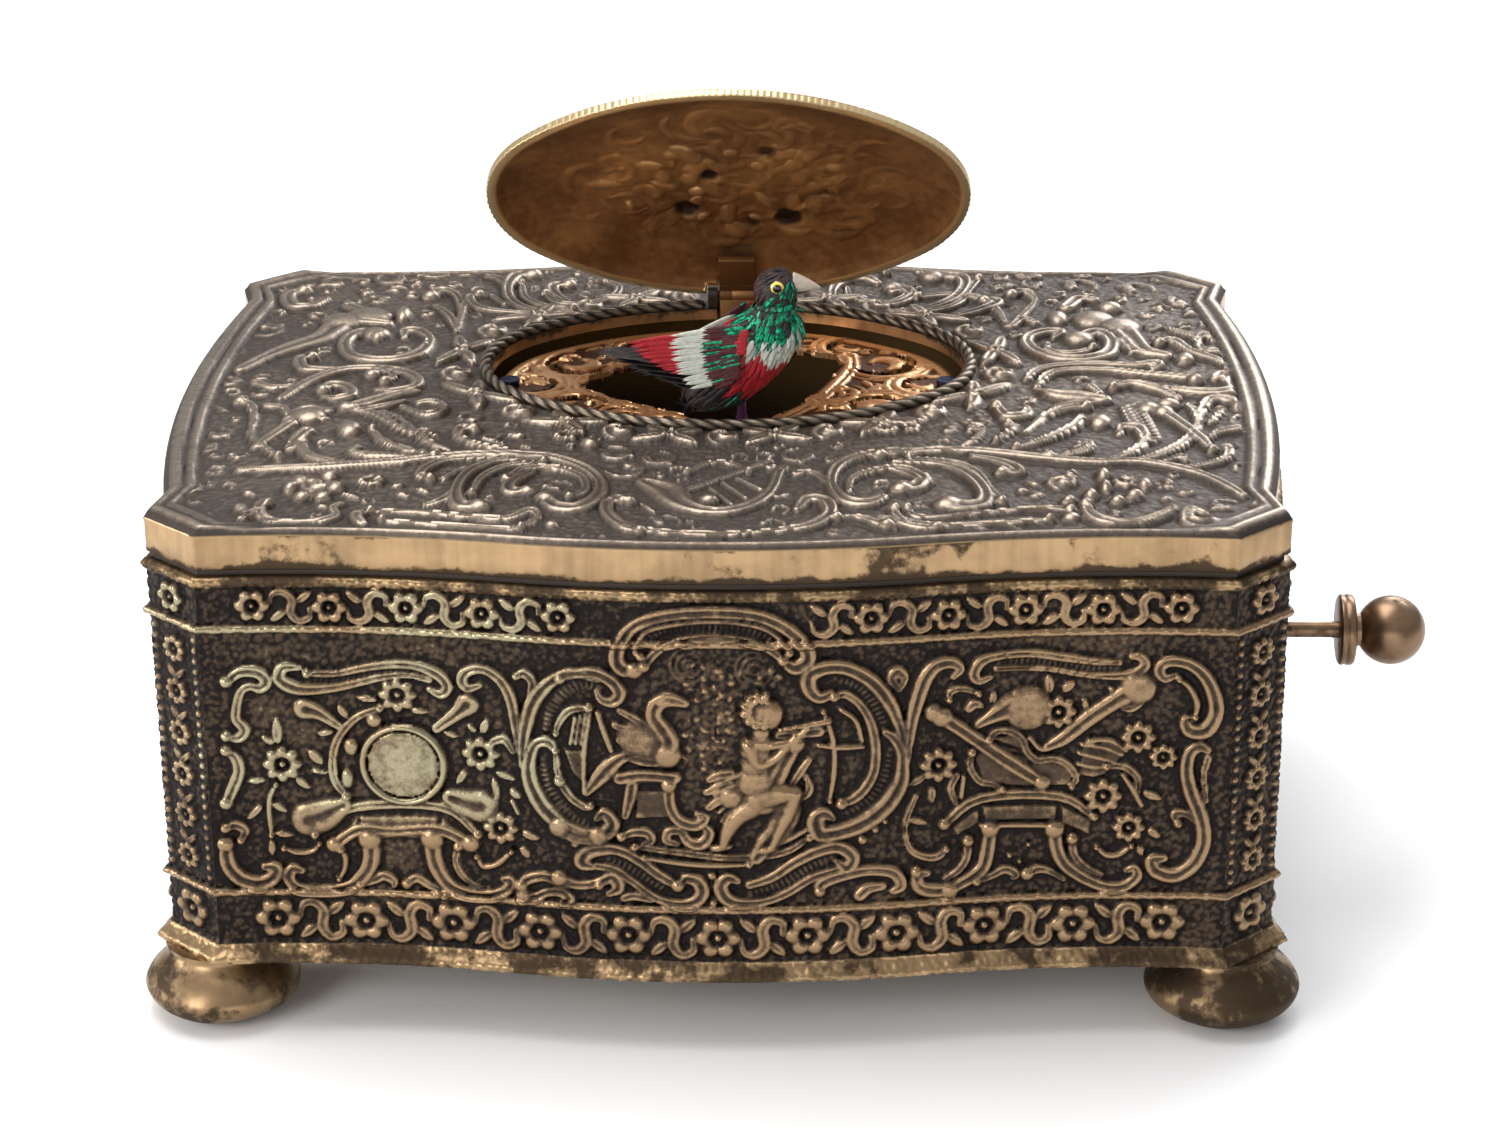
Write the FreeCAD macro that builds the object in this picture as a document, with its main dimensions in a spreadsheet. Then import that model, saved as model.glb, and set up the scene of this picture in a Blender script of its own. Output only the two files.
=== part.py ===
import FreeCAD, Part
import math
import os

import Sketcher
from FreeCAD import Placement, Rotation, Vector

# Singing bird box: a four-footed metal casket with an oval lid, a folding bird and its movement.
# Millimetres. +Z is up, +X is the start knob's side, -Y is the front.
# The origin is on the table, under the middle of the box.

SIZES = {
    # plan of the box
    "corner_x": 47.8, "cant_x": 53.0, "cant_y": 32.3, "side_x": 51.9, "side_y": 27.5,
    "side_bulge": 54.4, "front_bulge": 40.0, "front_hollow": 36.6, "hollow_x": 39.0,
    # heights of the case, from the table up
    "rim_height": 7.4, "flare_height": 1.7, "flare_reach": 1.4, "lower_frieze": 4.9,
    "ridge_height": 1.0, "ridge_reach": 0.5, "panel_height": 26.4, "upper_frieze": 3.6,
    "bead_height": 1.1, "bead_reach": 0.4, "shadow_gap": 0.6, "band_height": 3.9, "wall": 1.2,
    # cover
    "cover_plate": 1.2, "seat_step": 0.5, "skirt_depth": 3.2, "skirt_wall": 0.9, "fit_gap": 0.1,
    "edge_inset": 0.6, "edge_width": 3.0, "edge_height": 0.5, "wreath_start": 1.6,
    "wreath_width": 3.6, "wreath_height": 0.7,
    # oval opening and grille
    "oval_long": 24.0, "oval_short": 17.2, "oval_y": 7.7, "rope_width": 1.3, "rope_height": 0.8,
    "grille_gap": 0.6, "grille_drop": 2.1, "grille_thick": 0.5, "ring_width": 1.8,
    "ring_height": 1.4, "ring_inset": 0.2, "post_round": 1.2, "post_x": 18.3, "post_spread": 9.0,
    # feet
    "foot_x": 48.5, "foot_y": 32.5, "foot_girth": 7.5, "foot_neck": 5.4, "foot_neck_height": 0.9,
    "screw_round": 1.0, "screw_head": 2.0, "screw_head_height": 1.2, "screw_sink": 1.8,
    "screw_reach": 4.0, "lug_round": 2.6, "lug_height": 5.0, "run_gap": 0.05,
    # lid and its hinge
    "hinge_x": 0.6, "hinge_y": 26.3, "hinge_lift": 1.2, "lid_angle": 52.0, "lid_lap": 0.7,
    "lid_back": 0.5, "lid_skin": 0.8, "lid_edge": 0.9, "lid_dish": 3.0, "lid_sit": 0.9,
    "arm_width": 4.0, "arm_thick": 0.8, "arm_reach": 6.6, "arm_drop": 7.5, "arm_set": 0.5,
    "hub_round": 1.0, "pin_round": 0.5, "ear_thick": 1.0, "ear_foot": 2.2, "ear_gap": 0.15,
    "notch_back": 4.4, "hinge_clear": 1.8,
    # bird
    "bird_x": 1.7, "bird_y": -4.9, "pivot_drop": 8.0, "torso_long": 7.4, "torso_half": 3.9,
    "torso_tilt": 42.0, "torso_x": 1.9, "torso_z": 5.4, "head_round": 2.6, "head_x": 5.2,
    "head_z": 11.9, "beak_tip_x": 9.6, "beak_z": 12.3, "beak_round": 1.1, "beak_gape": 20.0,
    "lever_round": 0.3, "lever_play": 0.12, "lever_drop": 4.6, "eye_round": 0.5,
    "eye_x": 4.6, "eye_z": 12.4, "tail_x": -13.2, "tail_z": 5.8, "tail_root_x": -2.6,
    "tail_root_z": 3.1, "tail_half": 1.7, "tail_thick": 0.9, "wing_length": 11.5,
    "wing_width": 6.0, "wing_thick": 0.6, "wing_x": 2.0, "wing_z": 9.7, "wing_gap": 0.25,
    "wing_tilt": 6.0, "stem_round": 0.6, "stem_top": 0.6, "turn_pin": 0.45, "turn_pin_reach": 2.6,
    # bird carriage
    "shaft_round": 0.8, "shaft_half": 18.6, "block_half": 1.9, "bearing_x": 16.6,
    "bearing_thick": 1.8, "bearing_half": 2.0, "bearing_cap": 1.6, "crank_x": 12.6,
    "crank_thick": 1.0, "crank_reach": 5.6, "crank_half": 1.0,
    # start knob
    "knob_y": -4.0, "knob_z": 27.4, "rod_round": 0.8, "rod_start": 42.0, "flange_x": 61.9,
    "flange_thick": 1.6, "flange_round": 3.6, "ball_round": 3.5, "ball_x": 67.2,
    "guide_x": 44.0, "guide_thick": 3.0, "guide_half": 3.2, "bush_round": 1.9, "bush_thick": 0.8,
    "collar_round": 1.5, "collar_thick": 1.0, "collar_x": 50.2,
    # movement frame
    "base_thick": 1.2, "post_height": 4.4, "stand_round": 2.6, "plate_thick": 1.8,
    "plate_clear_x": 4.7, "plate_clear_y": 4.4, "plate_corner": 4.0, "frame_height": 19.8,
    "bridge_thick": 1.2, "pillar_inset": 4.0, "pillar_round": 2.2,
    "key_hole": 3.5, "frame_screw": 0.9, "frame_head": 1.8, "frame_head_height": 0.9,
    "frame_screw_reach": 4.0,
    # train
    "tooth_module": 0.5, "great_teeth": 60, "leaf_count": 12, "cam_wheel_teeth": 48,
    "worm_wheel_teeth": 36, "worm_module": 0.4, "great_x": -28.0, "great_y": 12.0,
    "cam_turn": -50.0, "crank_turn": -10.0, "wheel_thick": 1.2, "leaf_extra": 0.3,
    "great_lift": 0.8, "barrel_round": 10.5, "cap_gap": 0.6, "barrel_wall": 0.8,
    "cap_thick": 0.8, "arbor_round": 1.5, "pivot_round": 0.7, "key_square": 2.1,
    "square_length": 2.4, "ratchet_round": 5.5, "ratchet_teeth": 18, "ratchet_thick": 1.0,
    "click_x": 9.4, "click_half": 0.9, "click_pin": 0.7, "click_gap": 0.2,
    "spring_thick": 0.45, "spring_step": 1.3, "spring_turns": 5, "spring_inner": 2.4,
    "spring_gap": 0.4, "cam_lift": 3.4, "cam_count": 7, "cam_gap": 1.25,
    "cam_low": 4.2, "cam_high": 6.2, "collet_round": 2.2, "cam_wheel_drop": 6.4,
    "worm_wheel_lift": 4.6, "worm_wheel_thick": 2.0, "worm_round": 1.2, "worm_length": 9.0,
    "worm_gap": 0.15, "worm_shoulder": 1.7, "fly_shaft": 0.6, "fly_left": -15.0,
    "fly_right": 17.0, "fly_x": 9.6, "fly_width": 5.0, "fly_reach": 4.6, "fly_thick": 0.4,
    "fly_boss": 1.2, "cock_thick": 1.6, "cock_half": 2.4, "eccentric_drop": 3.8,
    "eccentric_thick": 2.0, "eccentric_round": 2.5, "eccentric_throw": 1.5,
    # bellows and whistle
    "board_thick": 1.5, "fixed_board_x": 16.0, "board_front": 3.0, "board_back": 31.0,
    "lever_rise": 1.3, "leather_thick": 3.2, "leather_gap": 0.3, "leather_inset": 1.2,
    "board_lift": 0.6, "lever_half": 1.2, "lever_thick": 1.4, "lever_gap": 0.3,
    "hinge_bar": 0.7, "whistle_x": 9.8, "whistle_front": 4.0, "whistle_length": 18.0,
    "whistle_outer": 3.3, "whistle_bore": 2.5, "whistle_z": 21.0, "mouth_length": 2.4,
    "whistle_end": 1.6, "piston_head": 3.0, "piston_rod": 0.7, "piston_reach": 6.0,
    "piston_start": 7.0, "chest_front": 6.0, "chest_length": 13.0, "chest_half": 3.0,
    # shared
    "overrun": 1.0,
}

END_SHARE = 0.75
LOBE_COUNTS = (2, 3, 5, 4, 6, 3, 2)
CAM_POINTS = 30
CAM_SHARE = 0.64
LID_STEP_SHARES = ((0.0, 0.0), (0.27, 0.0), (0.5, 0.06), (0.8, 0.22), (1.0, 0.55))

doc = FreeCAD.newDocument("SingingBirdBox")
sheet = doc.addObject("Spreadsheet::Sheet", "Sizes")
for row, (alias, number) in enumerate(SIZES.items(), start=1):
    sheet.set(f"A{row}", alias)
    sheet.set(f"B{row}", str(number))
    sheet.setAlias(f"B{row}", alias)
doc.recompute()


class Size:
    """A size that carries its number and the expression on the sheet that gives it."""

    def __init__(self, number, text):
        self.number = float(number)
        self.text = text

    def __float__(self):
        return self.number

    def __add__(self, other):
        return joined(self, "+", other)

    def __radd__(self, other):
        return joined(other, "+", self)

    def __sub__(self, other):
        return joined(self, "-", other)

    def __rsub__(self, other):
        return joined(other, "-", self)

    def __mul__(self, other):
        return joined(self, "*", other)

    def __rmul__(self, other):
        return joined(other, "*", self)

    def __truediv__(self, other):
        return joined(self, "/", other)

    def __neg__(self):
        return Size(-self.number, f"(0 - {self.text})")


def joined(left, sign, right):
    a, b = float(left), float(right)
    number = {"+": a + b, "-": a - b, "*": a * b, "/": a / b if b else 0.0}[sign]
    words = [part.text if isinstance(part, Size) else repr(part) for part in (left, right)]
    return Size(number, f"({words[0]} {sign} {words[1]})")


class Sheet:
    """Reads a named size from the sheet, so that it can be used in sums and tied to a feature."""

    def __getattr__(self, alias):
        return Size(sheet.get(alias), f"Sizes.{alias}")


s = Sheet()
parts = []


def tie(thing, name, value):
    if isinstance(value, Size):
        thing.setExpression(name, value.text)


def keep(thing, label):
    thing.Label = label
    parts.append(thing)
    return thing


def place(thing, spot, turn=None):
    numbers = [float(value) for value in spot]
    thing.Placement = Placement(Vector(*numbers), turn or Rotation())
    for letter, value in zip("xyz", spot):
        tie(thing, f"Placement.Base.{letter}", value)
    return thing


ALONG = {
    "x": Rotation(Vector(0, 1, 0), 90),
    "y": Rotation(Vector(1, 0, 0), -90),
    "z": Rotation(),
}


def rod(name, radius, length, spot, along="z"):
    """A cylinder that starts at spot and runs along one axis."""
    thing = doc.addObject("Part::Cylinder", name)
    thing.Radius = float(radius)
    thing.Height = float(length)
    tie(thing, "Radius", radius)
    tie(thing, "Height", length)
    return place(thing, spot, ALONG[along])


def block(name, size, spot):
    """A box that starts at spot, its lowest corner."""
    thing = doc.addObject("Part::Box", name)
    for side, value in zip(("Length", "Width", "Height"), size):
        setattr(thing, side, float(value))
        tie(thing, side, value)
    return place(thing, spot)


def fuse(name, things):
    thing = doc.addObject("Part::MultiFuse", name)
    thing.Shapes = things
    return thing


def cut(name, base, tools):
    thing = doc.addObject("Part::Cut", name)
    thing.Base = base
    thing.Tool = tools[0] if len(tools) == 1 else fuse(name + "Tools", tools)
    return thing


def group(name, things):
    """Separate solids of one node."""
    thing = doc.addObject("Part::Compound", name)
    thing.Links = things
    return thing


def shaped(name, shape):
    thing = doc.addObject("Part::Feature", name)
    thing.Shape = shape
    return thing


def origin_plane(body, role):
    return [item for item in body.Origin.OriginFeatures if item.Role == role][0]


def new_sketch(body, name, role):
    sketch = body.newObject("Sketcher::SketchObject", name)
    sketch.AttachmentSupport = [(origin_plane(body, role), "")]
    sketch.MapMode = "FlatFace"
    return sketch


def arc_between(start, end, radius):
    """The short arc from start to end; a positive radius bulges to the right of the way."""
    chord = end - start
    side = Vector(-chord.y, chord.x, 0).normalize()
    reach = math.sqrt(max(radius * radius - chord.Length * chord.Length / 4, 0))
    middle = (start + end) / 2 + side * math.copysign(reach, radius)
    first, last = (start, end) if radius > 0 else (end, start)
    angles = [math.atan2(p.y - middle.y, p.x - middle.x) for p in (first, last)]
    return Part.ArcOfCircle(Part.Circle(middle, Vector(0, 0, 1), abs(radius)), *angles)


def outline(body, name, role, points):
    """A closed sketch. A point's third value makes the edge after it an arc of that radius."""
    sketch = new_sketch(body, name, role)
    spots = [Vector(float(point[0]), float(point[1]), 0) for point in points]
    count = len(points)
    first_end, last_end = [], []
    for index, point in enumerate(points):
        start, end = spots[index], spots[(index + 1) % count]
        if len(point) == 3:
            sketch.addGeometry(arc_between(start, end, float(point[2])), False)
            forward = float(point[2]) > 0
        else:
            sketch.addGeometry(Part.LineSegment(start, end), False)
            forward = True
        first_end.append(1 if forward else 2)
        last_end.append(2 if forward else 1)
    for index in range(count):
        after = (index + 1) % count
        sketch.addConstraint(Sketcher.Constraint("Coincident", index, last_end[index], after,
                                                 first_end[after]))
    for index, point in enumerate(points):
        for kind, value in zip(("DistanceX", "DistanceY"), point):
            number = sketch.addConstraint(Sketcher.Constraint(kind, -1, 1, index, first_end[index],
                                                              float(value)))
            tie(sketch, f"Constraints[{number}]", value)
        if len(point) == 3:
            radius = point[2] if float(point[2]) > 0 else -point[2]
            number = sketch.addConstraint(Sketcher.Constraint("Radius", index, float(radius)))
            tie(sketch, f"Constraints[{number}]", radius)
    return sketch


def circles(body, name, role, radii):
    """A sketch of circles about the body's own axis."""
    sketch = new_sketch(body, name, role)
    for index, radius in enumerate(radii):
        sketch.addGeometry(Part.Circle(Vector(), Vector(0, 0, 1), float(radius)), False)
        sketch.addConstraint(Sketcher.Constraint("Coincident", index, 3, -1, 1))
        number = sketch.addConstraint(Sketcher.Constraint("Radius", index, float(radius)))
        tie(sketch, f"Constraints[{number}]", radius)
    return sketch


def turned(name, points, spot):
    """A body turned about its own upright axis from a half outline."""
    body = doc.addObject("PartDesign::Body", name)
    sketch = outline(body, name + "Half", "XZ_Plane", points)
    feature = body.newObject("PartDesign::Revolution", name + "Turn")
    feature.Profile = sketch
    feature.ReferenceAxis = (sketch, ["V_Axis"])
    feature.Angle = 360
    return place(body, spot)


def padded(name, sketch_maker, thick, spot, turn=None):
    body = doc.addObject("PartDesign::Body", name)
    sketch = sketch_maker(body)
    feature = body.newObject("PartDesign::Pad", name + "Pad")
    feature.Profile = sketch
    feature.Length = float(thick)
    tie(feature, "Length", thick)
    return place(body, spot, turn)


def toothed(name, module, teeth, thick, bore, spot, turn, gap_points):
    """A wheel cut from a disc: one gap is pocketed and repeated all round."""
    body = doc.addObject("PartDesign::Body", name)
    tip = module * (teeth / 2 + 0.8)
    blank = circles(body, name + "Blank", "XY_Plane", [tip, bore])
    disc = body.newObject("PartDesign::Pad", name + "Disc")
    disc.Profile = blank
    disc.Length = float(thick)
    tie(disc, "Length", thick)
    gap = outline(body, name + "Gap", "XY_Plane", gap_points)
    cutter = body.newObject("PartDesign::Pocket", name + "Cutter")
    cutter.Profile = gap
    cutter.Type = "ThroughAll"
    cutter.Midplane = True
    doc.recompute()
    whole = disc.Shape.Volume
    if not cutter.Shape.Volume < whole:
        raise RuntimeError(name + ": the gap cuts nothing")
    ring = body.newObject("PartDesign::PolarPattern", name + "Teeth")
    ring.Originals = [cutter]
    ring.Axis = (blank, ["N_Axis"])
    ring.Angle = 360
    ring.Occurrences = int(float(teeth))
    tie(ring, "Occurrences", teeth)
    body.Tip = ring
    return place(body, spot, Rotation(Vector(0, 0, 1), turn))


def gear_gap(module, teeth):
    """Four corners of the gap between two teeth, on the +X side."""
    pitch = module * math.pi
    root = module * (teeth / 2 - 1.1)
    out = module * (teeth / 2 + 1.2)
    return [(root, -pitch * 0.2), (out, -pitch * 0.42), (out, pitch * 0.42), (root, pitch * 0.2)]


# Heights of the case
rim_z = s.rim_height
frieze_z = rim_z + s.flare_height
ridge_z = frieze_z + s.lower_frieze
panel_z = ridge_z + s.ridge_height
upper_ridge_z = panel_z + s.panel_height
upper_frieze_z = upper_ridge_z + s.ridge_height
bead_z = upper_frieze_z + s.upper_frieze
seat_z = bead_z + s.bead_height
band_z = seat_z + s.shadow_gap
top_z = band_z + s.band_height
base_top_z = rim_z + s.base_thick
plate_z = base_top_z + s.post_height
floor_z = plate_z + s.plate_thick
bridge_z = floor_z + s.frame_height
deck_z = bridge_z + s.bridge_thick
grille_top_z = top_z - s.grille_drop
grille_z = grille_top_z - s.grille_thick
ring_z = grille_z - s.ring_height
hinge_z = top_z + s.hinge_lift
pivot_z = top_z - s.pivot_drop


# Plan of the box: a serpentine front and back, bowed sides and canted corners
def arc_through(first, middle, last):
    return Part.Arc(first, middle, last).toShape()


def plan_wire():
    bulge, hollow = float(s.front_bulge), float(s.front_hollow)
    low_x, corner_x = float(s.hollow_x), float(s.corner_x)
    run, drop = low_x / 2, (bulge - hollow) / 2
    radius = (run * run + drop * drop) / (2 * drop)
    past = corner_x - low_x
    corner_y = hollow + radius - math.sqrt(radius * radius - past * past)
    bow = run / 2
    bow_y = bulge - radius + math.sqrt(radius * radius - bow * bow)
    dip_x = low_x - run / 2
    dip_y = hollow + radius - math.sqrt(radius * radius - (run / 2) ** 2)
    edges = []
    for side in (-1, 1):
        def at(x, y):
            return Vector(-side * x, side * y, 0)
        left, right = at(-run, hollow + drop), at(run, hollow + drop)
        edges.append(arc_through(at(-corner_x, corner_y), at(-dip_x, dip_y), left))
        edges.append(arc_through(left, at(0, bulge), right))
        edges.append(arc_through(right, at(dip_x, dip_y), at(corner_x, corner_y)))
        cant = at(float(s.cant_x), float(s.cant_y))
        start = at(float(s.side_x), float(s.side_y))
        end = at(float(s.side_x), -float(s.side_y))
        back_cant = at(float(s.cant_x), -float(s.cant_y))
        edges.append(Part.LineSegment(at(corner_x, corner_y), cant).toShape())
        edges.append(Part.LineSegment(cant, start).toShape())
        edges.append(arc_through(start, at(float(s.side_bulge), 0), end))
        edges.append(Part.LineSegment(end, back_cant).toShape())
        edges.append(Part.LineSegment(back_cant, at(corner_x, -corner_y)).toShape())
    return Part.Wire(Part.__sortEdges__(edges))


PLAN = plan_wire()


def plan_at(grow, height):
    grow = float(grow)
    wire = PLAN.makeOffset2D(grow, 2) if abs(grow) > 0 else PLAN.copy()
    wire.translate(Vector(0, 0, float(height)))
    return wire


def plan_slab(grow, low, high):
    face = Part.Face(plan_at(grow, low))
    return face.extrude(Vector(0, 0, float(high) - float(low)))


def plan_step(low_grow, high_grow, low, high):
    """A sloping band of the case between two heights."""
    return Part.makeLoft([plan_at(low_grow, low), plan_at(high_grow, high)], True, True)


# Oval of the opening: two end arcs and two side arcs, tangent to each other
def oval_wire(grow, height, middle_y):
    long_half, short_half = float(s.oval_long), float(s.oval_short)
    end = END_SHARE * short_half
    centre_x = long_half - end
    centre_y = (centre_x ** 2 - (short_half - end) ** 2) / (2 * (short_half - end))
    side = short_half + centre_y
    grow, height, middle_y = float(grow), float(height), float(middle_y)
    reach = (end + grow) / (side - end)
    join_x = centre_x * (1 + reach)
    join_y = centre_y * reach

    def at(x, y):
        return Vector(x, middle_y + y, height)
    corners = [at(join_x, -join_y), at(join_x, join_y), at(-join_x, join_y), at(-join_x, -join_y)]
    tops = [at(long_half + grow, 0), at(0, short_half + grow),
            at(-long_half - grow, 0), at(0, -short_half - grow)]
    edges = [arc_through(corners[i], tops[i], corners[(i + 1) % 4]) for i in range(4)]
    return Part.Wire(edges)


def oval_slab(grow, low, high, middle_y):
    face = Part.Face(oval_wire(grow, low, middle_y))
    return face.extrude(Vector(0, 0, float(high) - float(low)))


def oval_ring(outer, inner, low, high, middle_y):
    extra = float(s.overrun)
    return oval_slab(outer, low, high, middle_y).cut(
        oval_slab(inner, float(low) - extra, float(high) + extra, middle_y))


def corner_spots(x, y):
    return [(side * x, end * y) for side in (-1, 1) for end in (-1, 1)]


# Case body
def case_shape():
    reach, ridge, bead = float(s.flare_reach), float(s.ridge_reach), float(s.bead_reach)
    third = s.flare_height / 3
    shape = plan_slab(0, rim_z, seat_z)
    bands = [plan_step(reach, reach, rim_z, rim_z + third),
             plan_step(reach, ridge / 2, rim_z + third, frieze_z),
             plan_step(ridge, ridge, ridge_z, panel_z),
             plan_step(ridge, ridge, upper_ridge_z, upper_frieze_z),
             plan_step(bead / 2, bead, bead_z, bead_z + s.bead_height / 3),
             plan_step(bead, bead, bead_z + s.bead_height / 3, seat_z - s.bead_height / 3),
             plan_step(bead, bead / 2, seat_z - s.bead_height / 3, seat_z)]
    for band in bands:
        shape = shape.fuse(band)
    hollow = plan_slab(-s.wall, rim_z - s.overrun, seat_z + s.overrun)
    shape = shape.cut(hollow)
    tray = plan_slab(-s.wall, base_top_z, seat_z)
    for x, y in corner_spots(float(s.foot_x), float(s.foot_y)):
        lug = Part.makeCylinder(float(s.lug_round), float(s.lug_height),
                                Vector(x, y, float(base_top_z)))
        web = Part.makeBox(float(s.lug_round), 2 * float(s.lug_round), float(s.lug_height),
                           Vector(x if x > 0 else x - float(s.lug_round),
                                  y - float(s.lug_round), float(base_top_z)))
        lug = lug.fuse(web).common(tray)
        hole = Part.makeCylinder(float(s.screw_round + s.run_gap), float(s.lug_height),
                                 Vector(x, y, float(base_top_z)))
        shape = shape.fuse(lug).cut(hole)
    return shape.removeSplitter()


case = shaped("CaseShell", case_shape())
rod_hole = rod("RodHole", s.rod_round + s.run_gap, s.side_bulge, (s.rod_start, s.knob_y, s.knob_z),
               "x")
keep(cut("CaseBody", case, [rod_hole]), "case_body")

# Base plate with the key hole under the winding square
base = shaped("BaseSlab", plan_slab(-s.wall - s.fit_gap, rim_z, base_top_z))
foot_spots = [(s.foot_x * side, s.foot_y * end) for side in (-1, 1) for end in (-1, 1)]
base_holes = [rod(f"BaseHole{n}", s.screw_round + s.run_gap, s.base_thick + s.overrun,
                  (x, y, rim_z - s.overrun / 2)) for n, (x, y) in enumerate(foot_spots)]
base_holes.append(rod("KeyHole", s.key_hole, s.base_thick + s.overrun,
                      (s.great_x, s.great_y, rim_z - s.overrun / 2)))
keep(cut("BasePlate", base, base_holes), "base_plate")

# Feet: turned buns, each held by a screw from below
foot_names = ("foot_rear_left", "foot_front_left", "foot_rear_right", "foot_front_right")
foot_order = [(-1, 1), (-1, -1), (1, 1), (1, -1)]
BUN_SHARES = ((0.56, 0.0), (0.8, 0.1), (0.95, 0.26), (1.0, 0.44), (0.97, 0.62), (0.86, 0.8))
foot_shoulder_z = s.rim_height - s.foot_neck_height
foot_profile = [
    (s.screw_round + s.run_gap, s.screw_sink),
    (s.screw_head + s.run_gap, s.screw_sink),
    (s.screw_head + s.run_gap, 0)]
foot_profile += [(s.foot_girth * out, foot_shoulder_z * up) for out, up in BUN_SHARES]
foot_profile += [
    (s.foot_neck, foot_shoulder_z),
    (s.foot_neck, s.rim_height),
    (s.screw_round + s.run_gap, s.rim_height)]
for label, (side, end) in zip(foot_names, foot_order):
    foot = turned("Foot" + label[5:], foot_profile, (s.foot_x * side, s.foot_y * end, 0))
    keep(foot, label)

screws = []
screw_length = s.rim_height - s.screw_sink + s.base_thick + s.screw_reach
for n, (x, y) in enumerate(foot_spots):
    head = rod(f"ScrewHead{n}", s.screw_head, s.screw_head_height,
               (x, y, s.screw_sink - s.screw_head_height))
    shank = rod(f"ScrewShank{n}", s.screw_round, screw_length, (x, y, s.screw_sink))
    screws.append(fuse(f"Screw{n}", [head, shank]))
keep(group("FootScrews", screws), "foot_screws")


# Cover: a pan with a plain band, a locating skirt and an oval opening
def cover_shape():
    shape = plan_slab(0, band_z, top_z)
    inside = plan_slab(-s.wall, band_z - s.overrun, top_z - s.cover_plate)
    seat = plan_slab(-s.seat_step, seat_z, band_z)
    skirt = plan_slab(-s.wall - s.fit_gap, seat_z - s.skirt_depth, band_z)
    well = plan_slab(-s.wall - s.fit_gap - s.skirt_wall, seat_z - s.skirt_depth - s.overrun,
                     band_z + s.overrun)
    shape = shape.cut(inside).fuse(seat).fuse(skirt).cut(well)
    edge = plan_slab(-s.edge_inset, top_z, top_z + s.edge_height).cut(
        plan_slab(-s.edge_inset - s.edge_width, top_z, top_z + s.edge_height))
    wreath = oval_ring(s.wreath_start + s.wreath_width, s.wreath_start, top_z,
                       top_z + s.wreath_height, s.oval_y)
    shape = shape.fuse(edge).fuse(wreath)
    opening = oval_slab(0, top_z - s.cover_plate - s.overrun, top_z + s.wreath_height + s.overrun,
                        s.oval_y)
    return shape.cut(opening).removeSplitter()


cover = shaped("CoverPan", cover_shape())
arm_half = s.arm_width / 2
notch_half = arm_half + s.ear_gap
hinge_notch = block("HingeNotch", (notch_half * 2, s.notch_back + s.hinge_clear * 2,
                                   s.cover_plate + s.wreath_height + s.overrun * 2),
                    (s.hinge_x - notch_half, s.hinge_y - s.hinge_clear * 2,
                     top_z - s.cover_plate - s.overrun))
ear_half = notch_half + s.ear_thick + s.ear_gap
ear_space = block("EarSpace", (ear_half * 2, s.ear_foot + s.hinge_clear * 2,
                               s.wreath_height + s.overrun),
                  (s.hinge_x - ear_half, s.hinge_y - s.hinge_clear * 2, top_z))
keep(cut("TopCover", cover, [hinge_notch, ear_space]), "top_cover")


# Rope rim round the opening
ROPE_SHARES = ((0.0, 0.0), (0.0, 0.6), (0.3, 1.0), (0.7, 1.0), (1.0, 0.6), (1.0, 0.0))


def rope_shape():
    """A raised ring with a rounded top, drawn as sloping bands."""
    width, height = float(s.rope_width), float(s.rope_height)
    outside = [(s.run_gap + width * across, top_z + height * up) for across, up in ROPE_SHARES]
    outer = Part.makeLoft([oval_wire(grow, level, s.oval_y) for grow, level in
                           (outside[5], outside[4], outside[3])], True, True)
    inner = Part.makeLoft([oval_wire(grow, level, s.oval_y) for grow, level in
                           (outside[0], outside[1], outside[2])], True, True)
    return outer.cut(inner)


rope = shaped("RopeRing", rope_shape())
rope_gap = block("RopeGap", (ear_half * 2, s.ear_foot + s.hinge_clear * 2,
                             s.rope_height + s.overrun),
                 (s.hinge_x - ear_half, s.hinge_y - s.hinge_clear * 2, top_z))
keep(cut("RopeRim", rope, [rope_gap]), "rope_rim")

# Grille: pierced plate with the bird's slot, on an oval frame with four posts
SLOT_SHARES = ((0.11, -0.66), (0.2, -0.62), (0.235, -0.36), (0.3, -0.08), (0.52, 0.22),
               (0.69, 0.62), (0.8, 0.98), (0.76, 1.18), (0.44, 1.29), (0.1, 1.24),
               (-0.12, 1.12), (-0.62, 1.0), (-0.98, 0.74), (-1.0, 0.5), (-0.68, 0.24),
               (-0.32, 0.02), (-0.12, -0.22), (-0.03, -0.5))


def through_grille(points):
    """A straight-sided opening through the grille plate."""
    low = float(grille_z - s.overrun)
    corners = [Vector(x, y, low) for x, y in points]
    face = Part.Face(Part.makePolygon(corners + corners[:1]))
    return face.extrude(Vector(0, 0, float(s.grille_thick + s.overrun * 2)))


def slot_shape():
    reach = float(s.head_z + s.head_round)
    return through_grille([(x * reach, y * reach + float(s.bird_y) * SLOT_BACK_SHARE)
                           for x, y in SLOT_SHARES])


def scroll_slot(place_shares, size_share, turn, sweep):
    """A curved opening that swells towards its middle."""
    size = size_share * float(s.oval_short)
    middle_x = place_shares[0] * float(s.oval_long)
    middle_y = float(s.oval_y) + place_shares[1] * float(s.oval_short)
    outside, inside = [], []
    for index in range(SCROLL_POINTS + 1):
        share = index / SCROLL_POINTS
        angle = math.radians(turn + sweep * share)
        width = size * (SCROLL_THIN_SHARE + SCROLL_FULL_SHARE * math.sin(math.pi * share))
        for row, radius in ((outside, size), (inside, size - width)):
            row.append((middle_x + radius * math.cos(angle), middle_y + radius * math.sin(angle)))
    return through_grille(outside + inside[::-1])


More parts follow.
